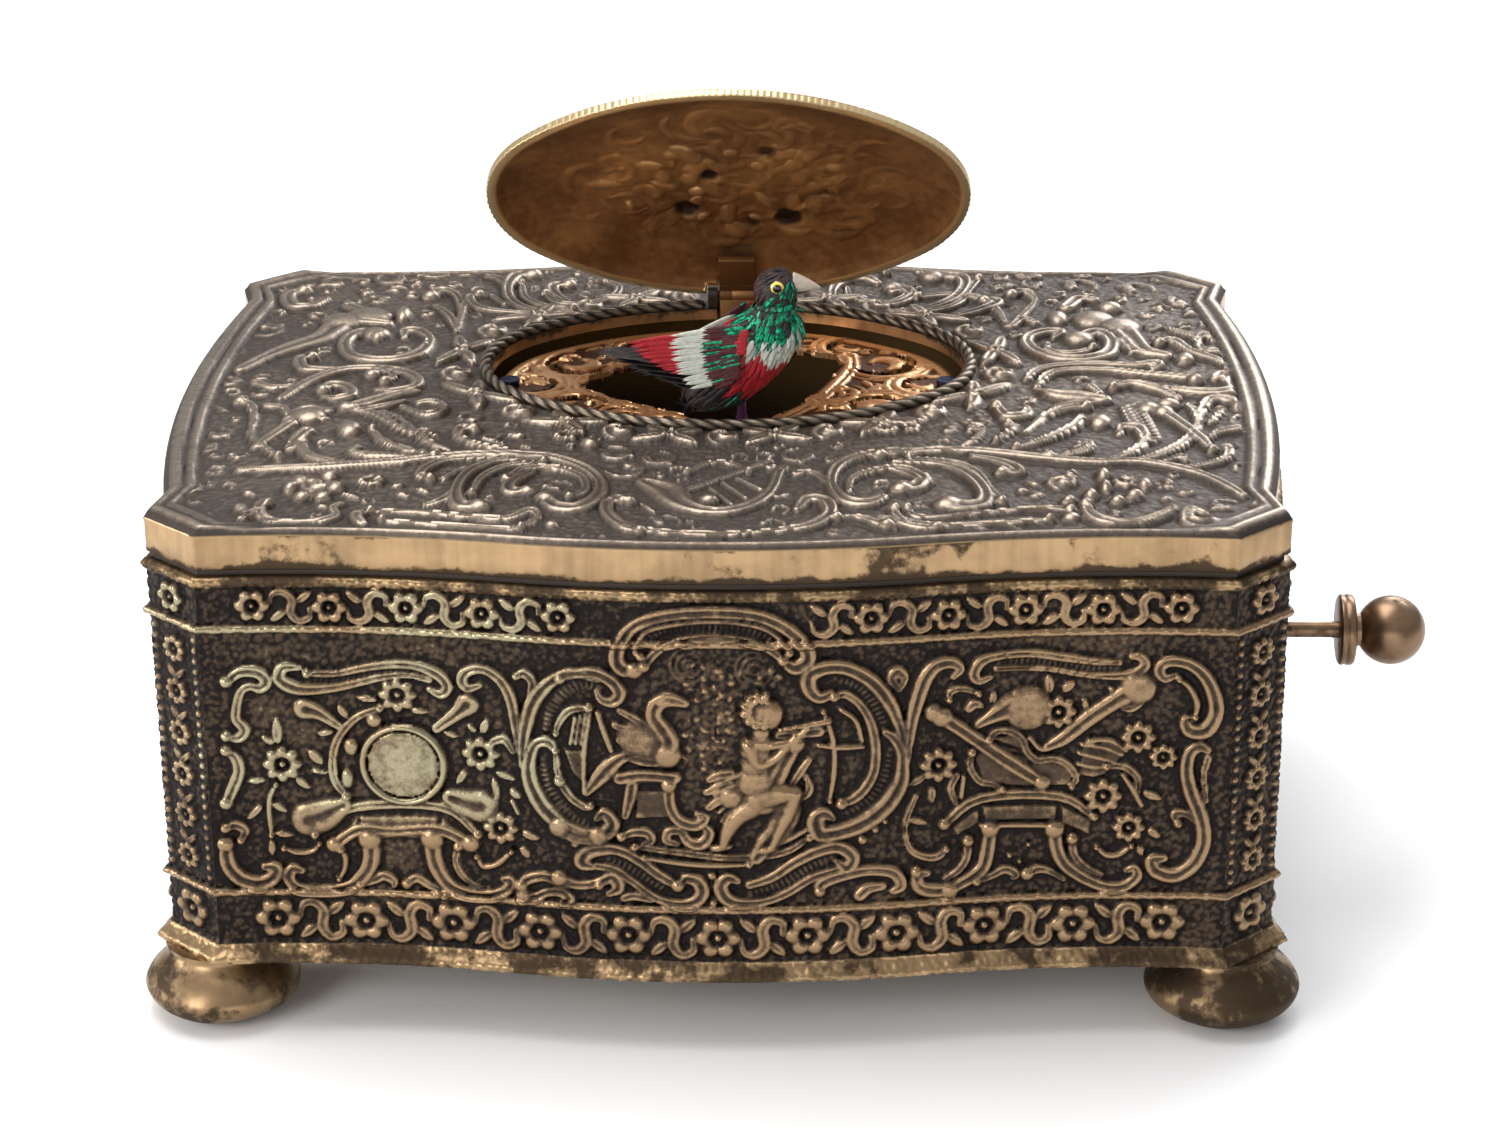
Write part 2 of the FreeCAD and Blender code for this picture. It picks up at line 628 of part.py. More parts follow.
SLOT_BACK_SHARE = 0.2
SCROLL_POINTS = 12
SCROLL_THIN_SHARE = 0.16
SCROLL_FULL_SHARE = 0.3
SCROLL_SHARES = (
    ((-0.625, -0.39), 0.2, 20, 230), ((-0.65, 0.343), 0.2, 110, 230),
    ((0.64, -0.39), 0.2, 290, 230), ((0.667, 0.343), 0.2, 200, 230),
    ((-0.375, 0.6), 0.15, 60, 220), ((-0.108, 0.68), 0.13, 200, 220),
    ((0.517, 0.634), 0.14, 40, 220), ((0.333, -0.622), 0.163, 150, 220),
    ((-0.25, -0.703), 0.15, 10, 220), ((-0.817, -0.006), 0.128, 250, 220),
    ((0.825, -0.017), 0.128, 70, 220), ((-0.433, -0.483), 0.105, 300, 220))
grille = oval_slab(-s.grille_gap, grille_z, grille_top_z, s.oval_y).cut(slot_shape())
for scroll in SCROLL_SHARES:
    grille = grille.cut(scroll_slot(*scroll))
grille_plate = shaped("GrillePlate", grille)
screw_x = s.oval_long - s.grille_gap - s.ring_inset - s.ring_width / 2
grille_holes = [rod(f"GrilleHole{n}", s.pin_round + s.run_gap, s.grille_thick + s.overrun,
                    (screw_x * side, s.oval_y, grille_z - s.overrun / 2))
                for n, side in enumerate((-1, 1))]
keep(cut("Grille", grille_plate, grille_holes), "grille")

ring = shaped("FrameRing", oval_ring(-s.grille_gap - s.ring_inset,
                                     -s.grille_gap - s.ring_inset - s.ring_width,
                                     ring_z, grille_z, s.oval_y))
posts = [rod(f"GrillePost{n}", s.post_round, grille_z - deck_z,
             (s.post_x * side, s.oval_y + s.post_spread * end, deck_z))
         for n, (side, end) in enumerate(foot_order)]
ring_holes = [rod(f"RingHole{n}", s.pin_round + s.run_gap, s.ring_height,
                  (screw_x * side, s.oval_y, ring_z)) for n, side in enumerate((-1, 1))]
keep(cut("GrilleFrame", fuse("FrameBody", [ring] + posts), ring_holes), "grille_frame")

grille_screws = []
for n, side in enumerate((-1, 1)):
    head = rod(f"GrilleScrewHead{n}", s.pin_round * 2, s.grille_thick,
               (screw_x * side, s.oval_y, grille_top_z))
    shank = rod(f"GrilleScrewShank{n}", s.pin_round, s.ring_height + s.grille_thick,
                (screw_x * side, s.oval_y, ring_z))
    grille_screws.append(fuse(f"GrilleScrew{n}", [head, shank]))
keep(group("GrilleScrews", grille_screws), "grille_screws")

# Hinge: two ears on the cover and a pin
ears = []
for n, start in enumerate((s.hinge_x - notch_half - s.ear_thick, s.hinge_x + notch_half)):
    foot = block(f"EarFoot{n}", (s.ear_thick, s.ear_foot + s.hub_round, s.hinge_lift),
                 (start, s.hinge_y - s.hub_round, top_z))
    eye = rod(f"EarEye{n}", s.hub_round, s.ear_thick, (start, s.hinge_y, hinge_z), "x")
    hole = rod(f"EarHole{n}", s.pin_round + s.run_gap / 2, s.ear_thick + s.overrun,
               (start - s.overrun / 2, s.hinge_y, hinge_z), "x")
    ears.append(cut(f"Ear{n}", fuse(f"EarBody{n}", [foot, eye]), [hole]))
keep(group("HingeEars", ears), "hinge_ears")
keep(rod("HingePin", s.pin_round, ear_half * 2 - s.ear_gap * 2,
         (s.hinge_x - ear_half + s.ear_gap, s.hinge_y, hinge_z), "x"), "hinge_pin")


# Oval lid: a dished shell, drawn shut about the hinge and then opened
def lid_levels(skin):
    low = float(s.lid_sit - s.hinge_lift)
    height = float(s.lid_dish)
    levels = []
    for up_share, in_share in LID_STEP_SHARES:
        grow = float(s.lid_lap) - in_share * float(s.oval_short)
        levels.append((grow, low + up_share * height))
    if skin:
        thick = float(s.lid_skin)
        levels = [(grow - float(s.lid_edge), level - (thick if level > low else thick * 2))
                  for grow, level in levels]
        levels[1] = (levels[0][0], levels[1][1])
    return levels


def lid_solid(skin):
    middle = s.oval_y + s.lid_back - s.hinge_y
    return Part.makeLoft([oval_wire(grow, level, middle) for grow, level in lid_levels(skin)],
                         True, True)


def lid_shape():
    shell = lid_solid(False).cut(lid_solid(True))
    extra = float(s.overrun)
    gap = float(ear_half)
    low = float(s.lid_sit - s.hinge_lift) - extra
    notch = Part.makeBox(gap * 2, float(s.hinge_clear) + extra * 2, float(s.lid_dish) + extra * 2,
                         Vector(float(s.hinge_x) - gap, -float(s.hinge_clear), low))
    strip = Part.makeBox(float(s.arm_width), float(s.arm_reach), float(s.arm_thick) + extra,
                         Vector(float(s.hinge_x - arm_half), -float(s.arm_reach), low))
    return shell.cut(notch).cut(strip)


lid = shaped("OvalLid", lid_shape())
open_turn = Rotation(Vector(-1, 0, 0), float(s.lid_angle))
place(lid, (0, s.hinge_y, hinge_z), open_turn)
tie(lid, "Placement.Rotation.Angle", s.lid_angle)
keep(lid, "oval_lid")


# Lid arm: the strip in the lid, its hub on the pin and the lever below it
def arm_shape():
    low = float(s.lid_sit - s.hinge_lift)
    strip = Part.makeBox(float(s.arm_width), float(s.arm_reach), float(s.arm_thick),
                         Vector(float(s.hinge_x - arm_half), -float(s.arm_reach), low))
    strip.rotate(Vector(), Vector(1, 0, 0), -float(s.lid_angle))
    hub = Part.makeCylinder(float(s.hub_round), float(s.arm_width),
                            Vector(float(s.hinge_x - arm_half), 0, 0), Vector(1, 0, 0))
    lever = Part.makeBox(float(s.arm_width), float(s.arm_thick), float(s.arm_drop),
                         Vector(float(s.hinge_x - arm_half), -float(s.hub_round),
                                -float(s.arm_drop)))
    bore = Part.makeCylinder(float(s.pin_round + s.run_gap), float(s.arm_width),
                             Vector(float(s.hinge_x - arm_half), 0, 0), Vector(1, 0, 0))
    return strip.fuse(hub).fuse(lever).cut(bore)


keep(place(shaped("LidArm", arm_shape()), (0, s.hinge_y, hinge_z)), "lid_arm")


# Bird
BAND_COUNT = 8


def turned_round(long_half, wide_half):
    """A body of revolution about X, turned as a row of sloping bands."""
    points = []
    for index in range(BAND_COUNT + 1):
        angle = math.pi * index / BAND_COUNT
        across = math.sin(angle) if 0 < index < BAND_COUNT else 0
        points.append(Vector(float(long_half) * math.cos(angle), float(wide_half) * across, 0))
    half = Part.makePolygon(points + points[:1])
    return Part.Face(half).revolve(Vector(), Vector(1, 0, 0), 360)


def egg(long_half, wide_half, tilt, spot):
    """A rounded body tilted up towards +X."""
    shape = turned_round(long_half, wide_half)
    shape.rotate(Vector(), Vector(0, 1, 0), -float(tilt))
    shape.translate(Vector(*[float(value) for value in spot]))
    return shape


def bird_torso():
    torso = egg(s.torso_long, s.torso_half, s.torso_tilt,
                (s.torso_x, s.bird_y, top_z + s.torso_z))
    bore = Part.makeCylinder(float(s.turn_pin + s.run_gap),
                             float(s.turn_pin_reach + s.run_gap * 2 + s.stem_top * 2),
                             Vector(float(s.bird_x), float(s.bird_y), float(top_z - s.stem_top)))
    return torso.cut(bore)


torso_feature = shaped("BirdTorso", bird_torso())
keep(torso_feature, "bird_body")


def eye_balls():
    across = float(s.head_round) * 0.93
    return [egg(s.eye_round, s.eye_round, 0, (s.eye_x, s.bird_y + side * across, top_z + s.eye_z))
            for side in (-1, 1)]


beak_length = s.beak_tip_x - s.head_x


def beak_cone(lower):
    """Half of the beak, its flat side along the gape."""
    start = Vector(float(s.head_x), float(s.bird_y), float(top_z + s.beak_z))
    cone = Part.makeCone(float(s.beak_round) * 1.7, float(s.run_gap), float(beak_length), start,
                         Vector(1, 0, 0))
    wide = float(s.beak_round) * 4
    gap = float(s.run_gap) * 2
    low = start.z + gap if not lower else start.z - wide
    half = Part.makeBox(float(beak_length), wide, wide - (gap if lower else 0),
                        Vector(start.x, start.y - wide / 2, low))
    return cone.common(half)


def head_solid():
    head = egg(s.head_round, s.head_round, 0, (s.head_x, s.bird_y, top_z + s.head_z))
    return head.fuse(beak_cone(False))


def lever_room():
    """The slot in the head and breast in which the lower beak's lever swings."""
    wide = float(s.lever_round + s.lever_play) * 2
    swing = float(s.lever_drop) * math.sin(math.radians(float(s.beak_gape)))
    start = float(s.head_x) - swing - wide / 2
    low = float(top_z + s.head_z - s.lever_drop - s.lever_play)
    across = float(s.bird_y) - wide / 2
    shaft = Part.makeBox(swing + wide, wide, float(s.lever_drop) + wide / 2,
                         Vector(start, across, low))
    mouth = Part.makeBox(float(s.head_round) * 1.5, wide, wide / 2 + swing * 0.8,
                         Vector(float(s.head_x), across,
                                float(top_z + s.head_z) - swing * 0.8))
    return shaft.fuse(mouth)


def lower_beak():
    centre = Vector(float(s.head_x), float(s.bird_y), float(top_z + s.head_z))
    ball_room = Part.makeSphere(float(s.head_round + s.lever_play), centre)
    beak = beak_cone(True).cut(ball_room)
    arm = Part.makeCylinder(float(s.lever_round), float(s.head_round + s.lever_play * 5), centre,
                            Vector(1, 0, 0))
    lever = Part.makeCylinder(float(s.lever_round), float(s.lever_drop), centre,
                              Vector(0, 0, -1))
    hub = Part.makeCylinder(float(s.lever_round), float(s.lever_round) * 2,
                            centre - Vector(0, float(s.lever_round), 0), Vector(0, 1, 0))
    return beak.fuse(arm).fuse(lever).fuse(hub).removeSplitter()


room = lever_room()
head = head_solid().cut(torso_feature.Shape).cut(room)
for eye in eye_balls():
    head = head.cut(eye)
torso_feature.Shape = torso_feature.Shape.cut(room)
keep(shaped("BirdHead", head.removeSplitter()), "bird_head")
keep(shaped("BirdEyes", Part.makeCompound(eye_balls())), "bird_eyes")
keep(shaped("LowerBeak", lower_beak()), "lower_beak")


WING_ROOT_SHARE = 0.8


def wing_sketch(body):
    long, wide = s.wing_length, s.wing_width
    return outline(body, body.Name + "Outline", "XZ_Plane", [
        (0, 0, wide * -0.62), (-wide * 0.1, -wide * 0.95, wide * -1.6),
        (-long * 0.55, -wide * 0.75), (-long, -wide * 0.1), (-long * 0.5, wide * 0.12)])


for label, side in (("right_wing", -1), ("left_wing", 1)):
    across = s.torso_half + s.wing_gap
    offset = s.bird_y - across if side < 0 else s.bird_y + across + s.wing_thick
    wing = padded("Wing" + label[:4], wing_sketch, s.wing_thick,
                  (s.wing_x, offset, top_z + s.wing_z),
                  Rotation(Vector(0, 1, 0), -float(s.wing_tilt)))
    root_length = float(s.wing_length) * WING_ROOT_SHARE
    root = Part.makeCylinder(float(s.wing_thick / 2), root_length, Vector(-root_length, 0, 0),
                             Vector(1, 0, 0))
    root.rotate(Vector(), Vector(0, 1, 0), -float(s.wing_tilt))
    root = place(shaped("Root" + label[:4], root),
                 (s.wing_x, offset - s.wing_thick / 2, top_z + s.wing_z))
    keep(fuse("Winged" + label[:4], [wing, root]), label)


def tail_shape():
    root = Vector(float(s.tail_root_x), float(s.bird_y), float(top_z + s.tail_root_z))
    tip = Vector(float(s.tail_x), float(s.bird_y), float(top_z + s.tail_z))
    way = tip - root
    length = way.Length
    half, thick = float(s.tail_half), float(s.tail_thick)
    points = [Vector(0, -half * 0.5, 0), Vector(length, -half, 0), Vector(length, half, 0),
              Vector(0, half * 0.5, 0)]
    face = Part.Face(Part.makePolygon(points + points[:1]))
    blade = face.extrude(Vector(0, 0, thick))
    blade.translate(Vector(0, 0, -thick / 2))
    pitch = math.degrees(math.atan2(way.z, -way.x))
    blade.rotate(Vector(), Vector(0, 0, 1), 180)
    blade.rotate(Vector(), Vector(0, 1, 0), pitch)
    blade.translate(root)
    gap = float(s.wing_gap)
    room = egg(s.torso_long + gap, s.torso_half + gap, s.torso_tilt,
               (s.torso_x, s.bird_y, top_z + s.torso_z))
    return blade.cut(room)


keep(shaped("BirdTail", tail_shape()), "bird_tail")

# Bird carriage: a cross shaft in two bearings, with the stem that carries the bird
shaft = rod("CarriageShaft", s.shaft_round, s.shaft_half * 2,
            (-s.shaft_half, s.bird_y, pivot_z), "x")
hub = block("CarriageBlock", (s.block_half * 2, s.block_half * 2, s.block_half * 2),
            (s.bird_x - s.block_half, s.bird_y - s.block_half, pivot_z - s.block_half))
stem = rod("Stem", s.stem_round, s.pivot_drop - s.stem_top, (s.bird_x, s.bird_y, pivot_z))
turn_pin = rod("TurnPin", s.turn_pin, s.turn_pin_reach + s.stem_top,
               (s.bird_x, s.bird_y, top_z - s.stem_top))
crank = block("CarriageCrank", (s.crank_thick, s.crank_half * 2, s.crank_reach + s.crank_half),
              (s.crank_x, s.bird_y - s.crank_half, pivot_z - s.crank_reach))
keep(fuse("BirdCarriage", [shaft, hub, crank]), "bird_carriage")
stem_whole = fuse("StemWhole", [stem, turn_pin])
stem_block = block("StemBlock", (s.block_half * 2, s.block_half * 2, s.block_half * 2),
                   (s.bird_x - s.block_half, s.bird_y - s.block_half, pivot_z - s.block_half))
keep(cut("BirdStem", stem_whole, [stem_block]), "bird_stem")

bearings = []
for n, start in enumerate((-s.bearing_x - s.bearing_thick, s.bearing_x)):
    cheek = block(f"Bearing{n}", (s.bearing_thick, s.bearing_half * 2,
                                  pivot_z + s.bearing_cap - deck_z),
                  (start, s.bird_y - s.bearing_half, deck_z))
    hole = rod(f"BearingHole{n}", s.shaft_round + s.run_gap, s.bearing_thick + s.overrun,
               (start - s.overrun / 2, s.bird_y, pivot_z), "x")
    bearings.append(cut(f"BearingCut{n}", cheek, [hole]))
keep(group("CarriageBearings", bearings), "carriage_bearings")

# Start knob: a rod through the side with a collar inside and a flange and ball outside
start_rod = rod("RodBar", s.rod_round, s.flange_x - s.rod_start + s.flange_thick,
                (s.rod_start, s.knob_y, s.knob_z), "x")
collar = rod("RodCollar", s.collar_round, s.collar_thick, (s.collar_x, s.knob_y, s.knob_z), "x")
keep(fuse("StartRod", [start_rod, collar]), "start_rod")
flange = rod("FlangeDisc", s.flange_round, s.flange_thick, (s.flange_x, s.knob_y, s.knob_z), "x")
knob = shaped("KnobSphere", egg(s.ball_round, s.ball_round, 0, (s.ball_x, s.knob_y, s.knob_z)))
knob_trim = rod("KnobTrim", s.ball_round, s.ball_round,
                (s.flange_x + s.flange_thick - s.ball_round, s.knob_y, s.knob_z), "x")
knob_neck = rod("KnobNeck", s.rod_round * 2, s.ball_round,
                (s.flange_x + s.flange_thick, s.knob_y, s.knob_z), "x")
knob_bore = rod("KnobBore", s.rod_round, s.flange_thick, (s.flange_x, s.knob_y, s.knob_z), "x")
knob_body = cut("KnobTurned", fuse("KnobWhole", [knob, knob_neck]), [knob_trim])
keep(cut("StartKnob", fuse("KnobAll", [knob_body, flange]), [knob_bore]), "start_knob")

guide = block("GuideBlock", (s.guide_thick, s.guide_half * 2, s.knob_z + s.guide_half - floor_z),
              (s.guide_x, s.knob_y - s.guide_half, floor_z))
guide_hole = rod("GuideHole", s.rod_round + s.run_gap, s.guide_thick + s.overrun,
                 (s.guide_x - s.overrun / 2, s.knob_y, s.knob_z), "x")
keep(cut("SlideGuide", guide, [guide_hole]), "slide_guide")


# Movement frame
plate_half_x = s.side_x - s.wall - s.plate_clear_x
plate_half_y = s.front_hollow - s.wall - s.plate_clear_y


def plate_outline(body):
    x, y, c = plate_half_x, plate_half_y, s.plate_corner
    return outline(body, body.Name + "Outline", "XY_Plane", [
        (-x + c, -y), (x - c, -y, c), (x, -y + c), (x, y - c, c),
        (x - c, y), (-x + c, y, c), (-x, y - c), (-x, -y + c, c)])


def polar(start, reach, turn):
    angle = math.radians(float(turn))
    return (start[0] + reach * math.cos(angle), start[1] + reach * math.sin(angle))


great = (s.great_x, s.great_y)
cam_axis = polar(great, s.tooth_module * (s.great_teeth + s.leaf_count) / 2, s.cam_turn)
crank_axis = polar(cam_axis, s.tooth_module * (s.cam_wheel_teeth + s.leaf_count) / 2, s.crank_turn)
worm_tip = s.worm_module * (s.worm_wheel_teeth / 2 + 0.8)
worm_y = crank_axis[1] - worm_tip - s.worm_round - s.worm_gap
worm_z = floor_z + s.worm_wheel_lift + s.worm_wheel_thick / 2
plate = padded("PlateBlank", plate_outline, s.plate_thick, (0, 0, plate_z))
plate_holes = [
    rod("ArborHole", s.arbor_round + s.run_gap, s.plate_thick + s.overrun,
        (great[0], great[1], plate_z - s.overrun / 2)),
    rod("CamPivotHole", s.pivot_round + s.run_gap, s.plate_thick + s.overrun,
        (cam_axis[0], cam_axis[1], plate_z - s.overrun / 2)),
    rod("CrankPivotHole", s.pivot_round + s.run_gap, s.plate_thick + s.overrun,
        (crank_axis[0], crank_axis[1], plate_z - s.overrun / 2))]
keep(cut("MainPlate", plate, plate_holes), "main_plate")

bridge = padded("BridgeBlank", plate_outline, s.bridge_thick, (0, 0, bridge_z))
pillar_x = plate_half_x - s.pillar_inset
pillar_y = plate_half_y - s.pillar_inset
pillar_spots = [(pillar_x * side, pillar_y * end) for side, end in foot_order]
bridge_holes = [
    rod("BridgeArborHole", s.arbor_round + s.run_gap, s.bridge_thick + s.overrun,
        (great[0], great[1], bridge_z - s.overrun / 2)),
    rod("BridgeCamHole", s.pivot_round + s.run_gap, s.bridge_thick + s.overrun,
        (cam_axis[0], cam_axis[1], bridge_z - s.overrun / 2)),
    rod("BridgeCrankHole", s.pivot_round + s.run_gap, s.bridge_thick + s.overrun,
        (crank_axis[0], crank_axis[1], bridge_z - s.overrun / 2))]
for n, (x, y) in enumerate(pillar_spots):
    bridge_holes.append(rod(f"BridgeScrewHole{n}", s.frame_screw + s.run_gap,
                            s.bridge_thick + s.overrun, (x, y, bridge_z - s.overrun / 2)))
keep(cut("BridgePlate", bridge, bridge_holes), "bridge_plate")

stands = [rod(f"Stand{n}", s.stand_round, s.post_height, (x, y, base_top_z))
          for n, (x, y) in enumerate(pillar_spots)]
keep(group("PlateStands", stands), "plate_stands")
pillars = []
frame_screws = []
for n, (x, y) in enumerate(pillar_spots):
    column = rod(f"Column{n}", s.pillar_round, s.frame_height, (x, y, floor_z))
    tap = rod(f"ColumnTap{n}", s.frame_screw + s.run_gap, s.frame_screw_reach + s.overrun,
              (x, y, bridge_z - s.frame_screw_reach))
    pillars.append(cut(f"Pillar{n}", column, [tap]))
    head = rod(f"FrameHead{n}", s.frame_head, s.frame_head_height, (x, y, deck_z))
    shank = rod(f"FrameShank{n}", s.frame_screw, s.frame_screw_reach + s.bridge_thick,
                (x, y, bridge_z - s.frame_screw_reach))
    frame_screws.append(fuse(f"FrameScrew{n}", [head, shank]))
keep(group("FramePillars", pillars), "frame_pillars")
keep(group("FrameScrews", frame_screws), "frame_screws")

# Going barrel, great wheel, mainspring and winding arbor
great_z = floor_z + s.great_lift
great_wheel = toothed("GreatWheel", s.tooth_module, s.great_teeth, s.wheel_thick,
                      s.arbor_round + s.run_gap, (great[0], great[1], great_z),
                      float(s.cam_turn),
                      gear_gap(s.tooth_module, s.great_teeth))
keep(great_wheel, "great_wheel")
drum_z = great_z + s.wheel_thick
cam_wheel_z = bridge_z - s.cam_wheel_drop
barrel_height = cam_wheel_z - drum_z - s.cap_thick - s.cap_gap
drum = rod("DrumOuter", s.barrel_round, barrel_height, (great[0], great[1], drum_z))
drum_room = rod("DrumRoom", s.barrel_round - s.barrel_wall, barrel_height,
                (great[0], great[1], drum_z + s.barrel_wall))
drum_bore = rod("DrumBore", s.arbor_round + s.run_gap, barrel_height,
                (great[0], great[1], drum_z - s.overrun))
keep(cut("BarrelDrum", drum, [drum_room, drum_bore]), "barrel_drum")
cap_z = drum_z + barrel_height
cap = rod("CapDisc", s.barrel_round, s.cap_thick, (great[0], great[1], cap_z))
cap_bore = rod("CapBore", s.arbor_round + s.run_gap, s.cap_thick + s.overrun,
               (great[0], great[1], cap_z - s.overrun / 2))
keep(cut("BarrelCap", cap, [cap_bore]), "barrel_cap")


def spring_shape():
    """A flat spiral of half turns, each a little wider than the last."""
    thick, step = float(s.spring_thick), float(s.spring_step)
    outer, inner = [], []
    radius = float(s.spring_inner)
    centre = 0.0
    for half in range(int(2 * float(s.spring_turns))):
        side = 1 if half % 2 == 0 else -1
        for edges, extra in ((outer, thick), (inner, 0.0)):
            reach = radius + extra
            edges.append(arc_through(Vector(centre + side * reach, 0, 0),
                                     Vector(centre, side * reach, 0),
                                     Vector(centre - side * reach, 0, 0)))
        centre += side * step / 2
        radius += step / 2
    begin = Part.LineSegment(inner[0].Vertexes[0].Point, outer[0].Vertexes[0].Point).toShape()
    finish = Part.LineSegment(inner[-1].Vertexes[-1].Point, outer[-1].Vertexes[-1].Point).toShape()
    wire = Part.Wire(Part.__sortEdges__(outer + inner + [begin, finish]))
    height = float(barrel_height - s.barrel_wall - s.spring_gap * 2)
    return Part.Face(wire).extrude(Vector(0, 0, height))


keep(place(shaped("Mainspring", spring_shape()),
           (great[0], great[1], drum_z + s.barrel_wall + s.spring_gap)), "mainspring")

square_z = base_top_z + s.spring_gap
arbor = rod("ArborBar", s.arbor_round, deck_z - square_z - s.square_length,
            (great[0], great[1], square_z + s.square_length))
square = block("ArborSquare", (s.key_square, s.key_square, s.square_length + s.overrun),
               (great[0] - s.key_square / 2, great[1] - s.key_square / 2, square_z))
keep(fuse("WindingArbor", [arbor, square]), "winding_arbor")
ratchet_z = plate_z - s.spring_gap - s.ratchet_thick


def ratchet_gap():
    tip = s.ratchet_round
    tooth = tip * math.pi * 2 / s.ratchet_teeth
    return [(tip * 0.84, -tooth * 0.05), (tip * 1.1, -tooth * 0.12), (tip * 1.1, tooth * 0.82),
            (tip * 0.97, tooth * 0.74)]


ratchet = toothed("Ratchet", s.ratchet_round / (s.ratchet_teeth / 2 + 0.8), s.ratchet_teeth,
                  s.ratchet_thick, s.arbor_round, (great[0], great[1], ratchet_z), 0,
                  ratchet_gap())
keep(ratchet, "ratchet_wheel")
click_room = s.click_x - s.ratchet_round - s.click_gap
click_bar = block("ClickBar", (click_room, s.click_half * 2, s.ratchet_thick),
                  (great[0] + s.ratchet_round + s.click_gap, great[1] - s.click_half, ratchet_z))
click_eye = rod("ClickEye", s.click_half * 1.4, s.ratchet_thick,
                (great[0] + s.click_x, great[1], ratchet_z))
click_bore = rod("ClickBore", s.click_pin + s.run_gap, s.ratchet_thick + s.overrun,
                 (great[0] + s.click_x, great[1], ratchet_z - s.overrun / 2))
keep(cut("Click", fuse("ClickBody", [click_bar, click_eye]), [click_bore]), "ratchet_click")
stud = rod("ClickStud", s.click_pin, plate_z - ratchet_z,
           (great[0] + s.click_x, great[1], ratchet_z))
stud_head = rod("ClickHead", s.click_half * 1.3, s.spring_gap,
                (great[0] + s.click_x, great[1], ratchet_z - s.spring_gap))
keep(fuse("ClickScrew", [stud, stud_head]), "click_screw")

# Cam arbor with its leaves, wheel and cams
leaf_z = great_z - s.leaf_extra
cam_turn_angle = float(s.cam_turn) + 180 + 180 / float(s.leaf_count)
cam_leaves = toothed("CamLeaves", s.tooth_module, s.leaf_count, s.wheel_thick + s.leaf_extra * 2,
                     s.pivot_round, (cam_axis[0], cam_axis[1], leaf_z), cam_turn_angle,
                     gear_gap(s.tooth_module, s.leaf_count))
cam_bar = rod("CamBar", s.pivot_round, deck_z - plate_z, (cam_axis[0], cam_axis[1], plate_z))
cam_step = (cam_wheel_z - floor_z - s.cam_lift - s.cam_gap) / s.cam_count
cam_thick = cam_step * CAM_SHARE
collet_z = leaf_z + s.wheel_thick + s.leaf_extra * 2
collet = rod("CamCollet", s.collet_round, cam_wheel_z - collet_z,
             (cam_axis[0], cam_axis[1], collet_z))
keep(fuse("CamArbor", [cam_bar, cam_leaves, collet]), "cam_arbor")
cam_wheel = toothed("CamWheel", s.tooth_module, s.cam_wheel_teeth, s.wheel_thick, s.pivot_round,
                    (cam_axis[0], cam_axis[1], cam_wheel_z), float(s.crank_turn),
                    gear_gap(s.tooth_module, s.cam_wheel_teeth))
keep(cam_wheel, "cam_wheel")


def cam_shape(lobes):
    """One cam: a disc whose edge rises and falls a set number of times."""
    low, high = float(s.cam_low), float(s.cam_high)
    points = []
    for index in range(CAM_POINTS):
        angle = 2 * math.pi * index / CAM_POINTS
        radius = low + (high - low) * (0.5 + 0.5 * math.cos(lobes * angle))
        points.append(Vector(radius * math.cos(angle), radius * math.sin(angle), 0))
    face = Part.Face(Part.makePolygon(points + points[:1]))
    disc = face.extrude(Vector(0, 0, float(cam_thick)))
    return disc.cut(Part.makeCylinder(float(s.collet_round), float(cam_thick)))


cams = []
for index, lobes in enumerate(LOBE_COUNTS[:int(float(s.cam_count))]):
    cams.append(place(shaped(f"Cam{index}", cam_shape(lobes)),
                      (cam_axis[0], cam_axis[1], floor_z + s.cam_lift + cam_step * index)))
keep(group("CamStack", cams), "cam_stack")

# Crank arbor with its leaves, worm wheel and eccentric
crank_leaf_z = cam_wheel_z - s.leaf_extra
crank_leaves = toothed("CrankLeaves", s.tooth_module, s.leaf_count,
                       s.wheel_thick + s.leaf_extra * 2, s.pivot_round,
                       (crank_axis[0], crank_axis[1], crank_leaf_z),
                       float(s.crank_turn) + 180 + 180 / float(s.leaf_count),
                       gear_gap(s.tooth_module, s.leaf_count))
crank_bar = rod("CrankBar", s.pivot_round, deck_z - plate_z,
                (crank_axis[0], crank_axis[1], plate_z))
keep(fuse("CrankArbor", [crank_bar, crank_leaves]), "crank_arbor")
worm_wheel = toothed("WormWheel", s.worm_module, s.worm_wheel_teeth, s.worm_wheel_thick,
                     s.pivot_round, (crank_axis[0], crank_axis[1], floor_z + s.worm_wheel_lift),
                     0, gear_gap(s.worm_module, s.worm_wheel_teeth))
keep(worm_wheel, "worm_wheel")
eccentric_z = bridge_z - s.eccentric_drop
eccentric_disc = rod("EccentricDisc", s.eccentric_round, s.eccentric_thick,
                     (crank_axis[0] - s.eccentric_throw, crank_axis[1], eccentric_z))
eccentric_bore = rod("EccentricBore", s.pivot_round, s.eccentric_thick,
                     (crank_axis[0], crank_axis[1], eccentric_z))
keep(cut("Eccentric", eccentric_disc, [eccentric_bore]), "bellows_eccentric")

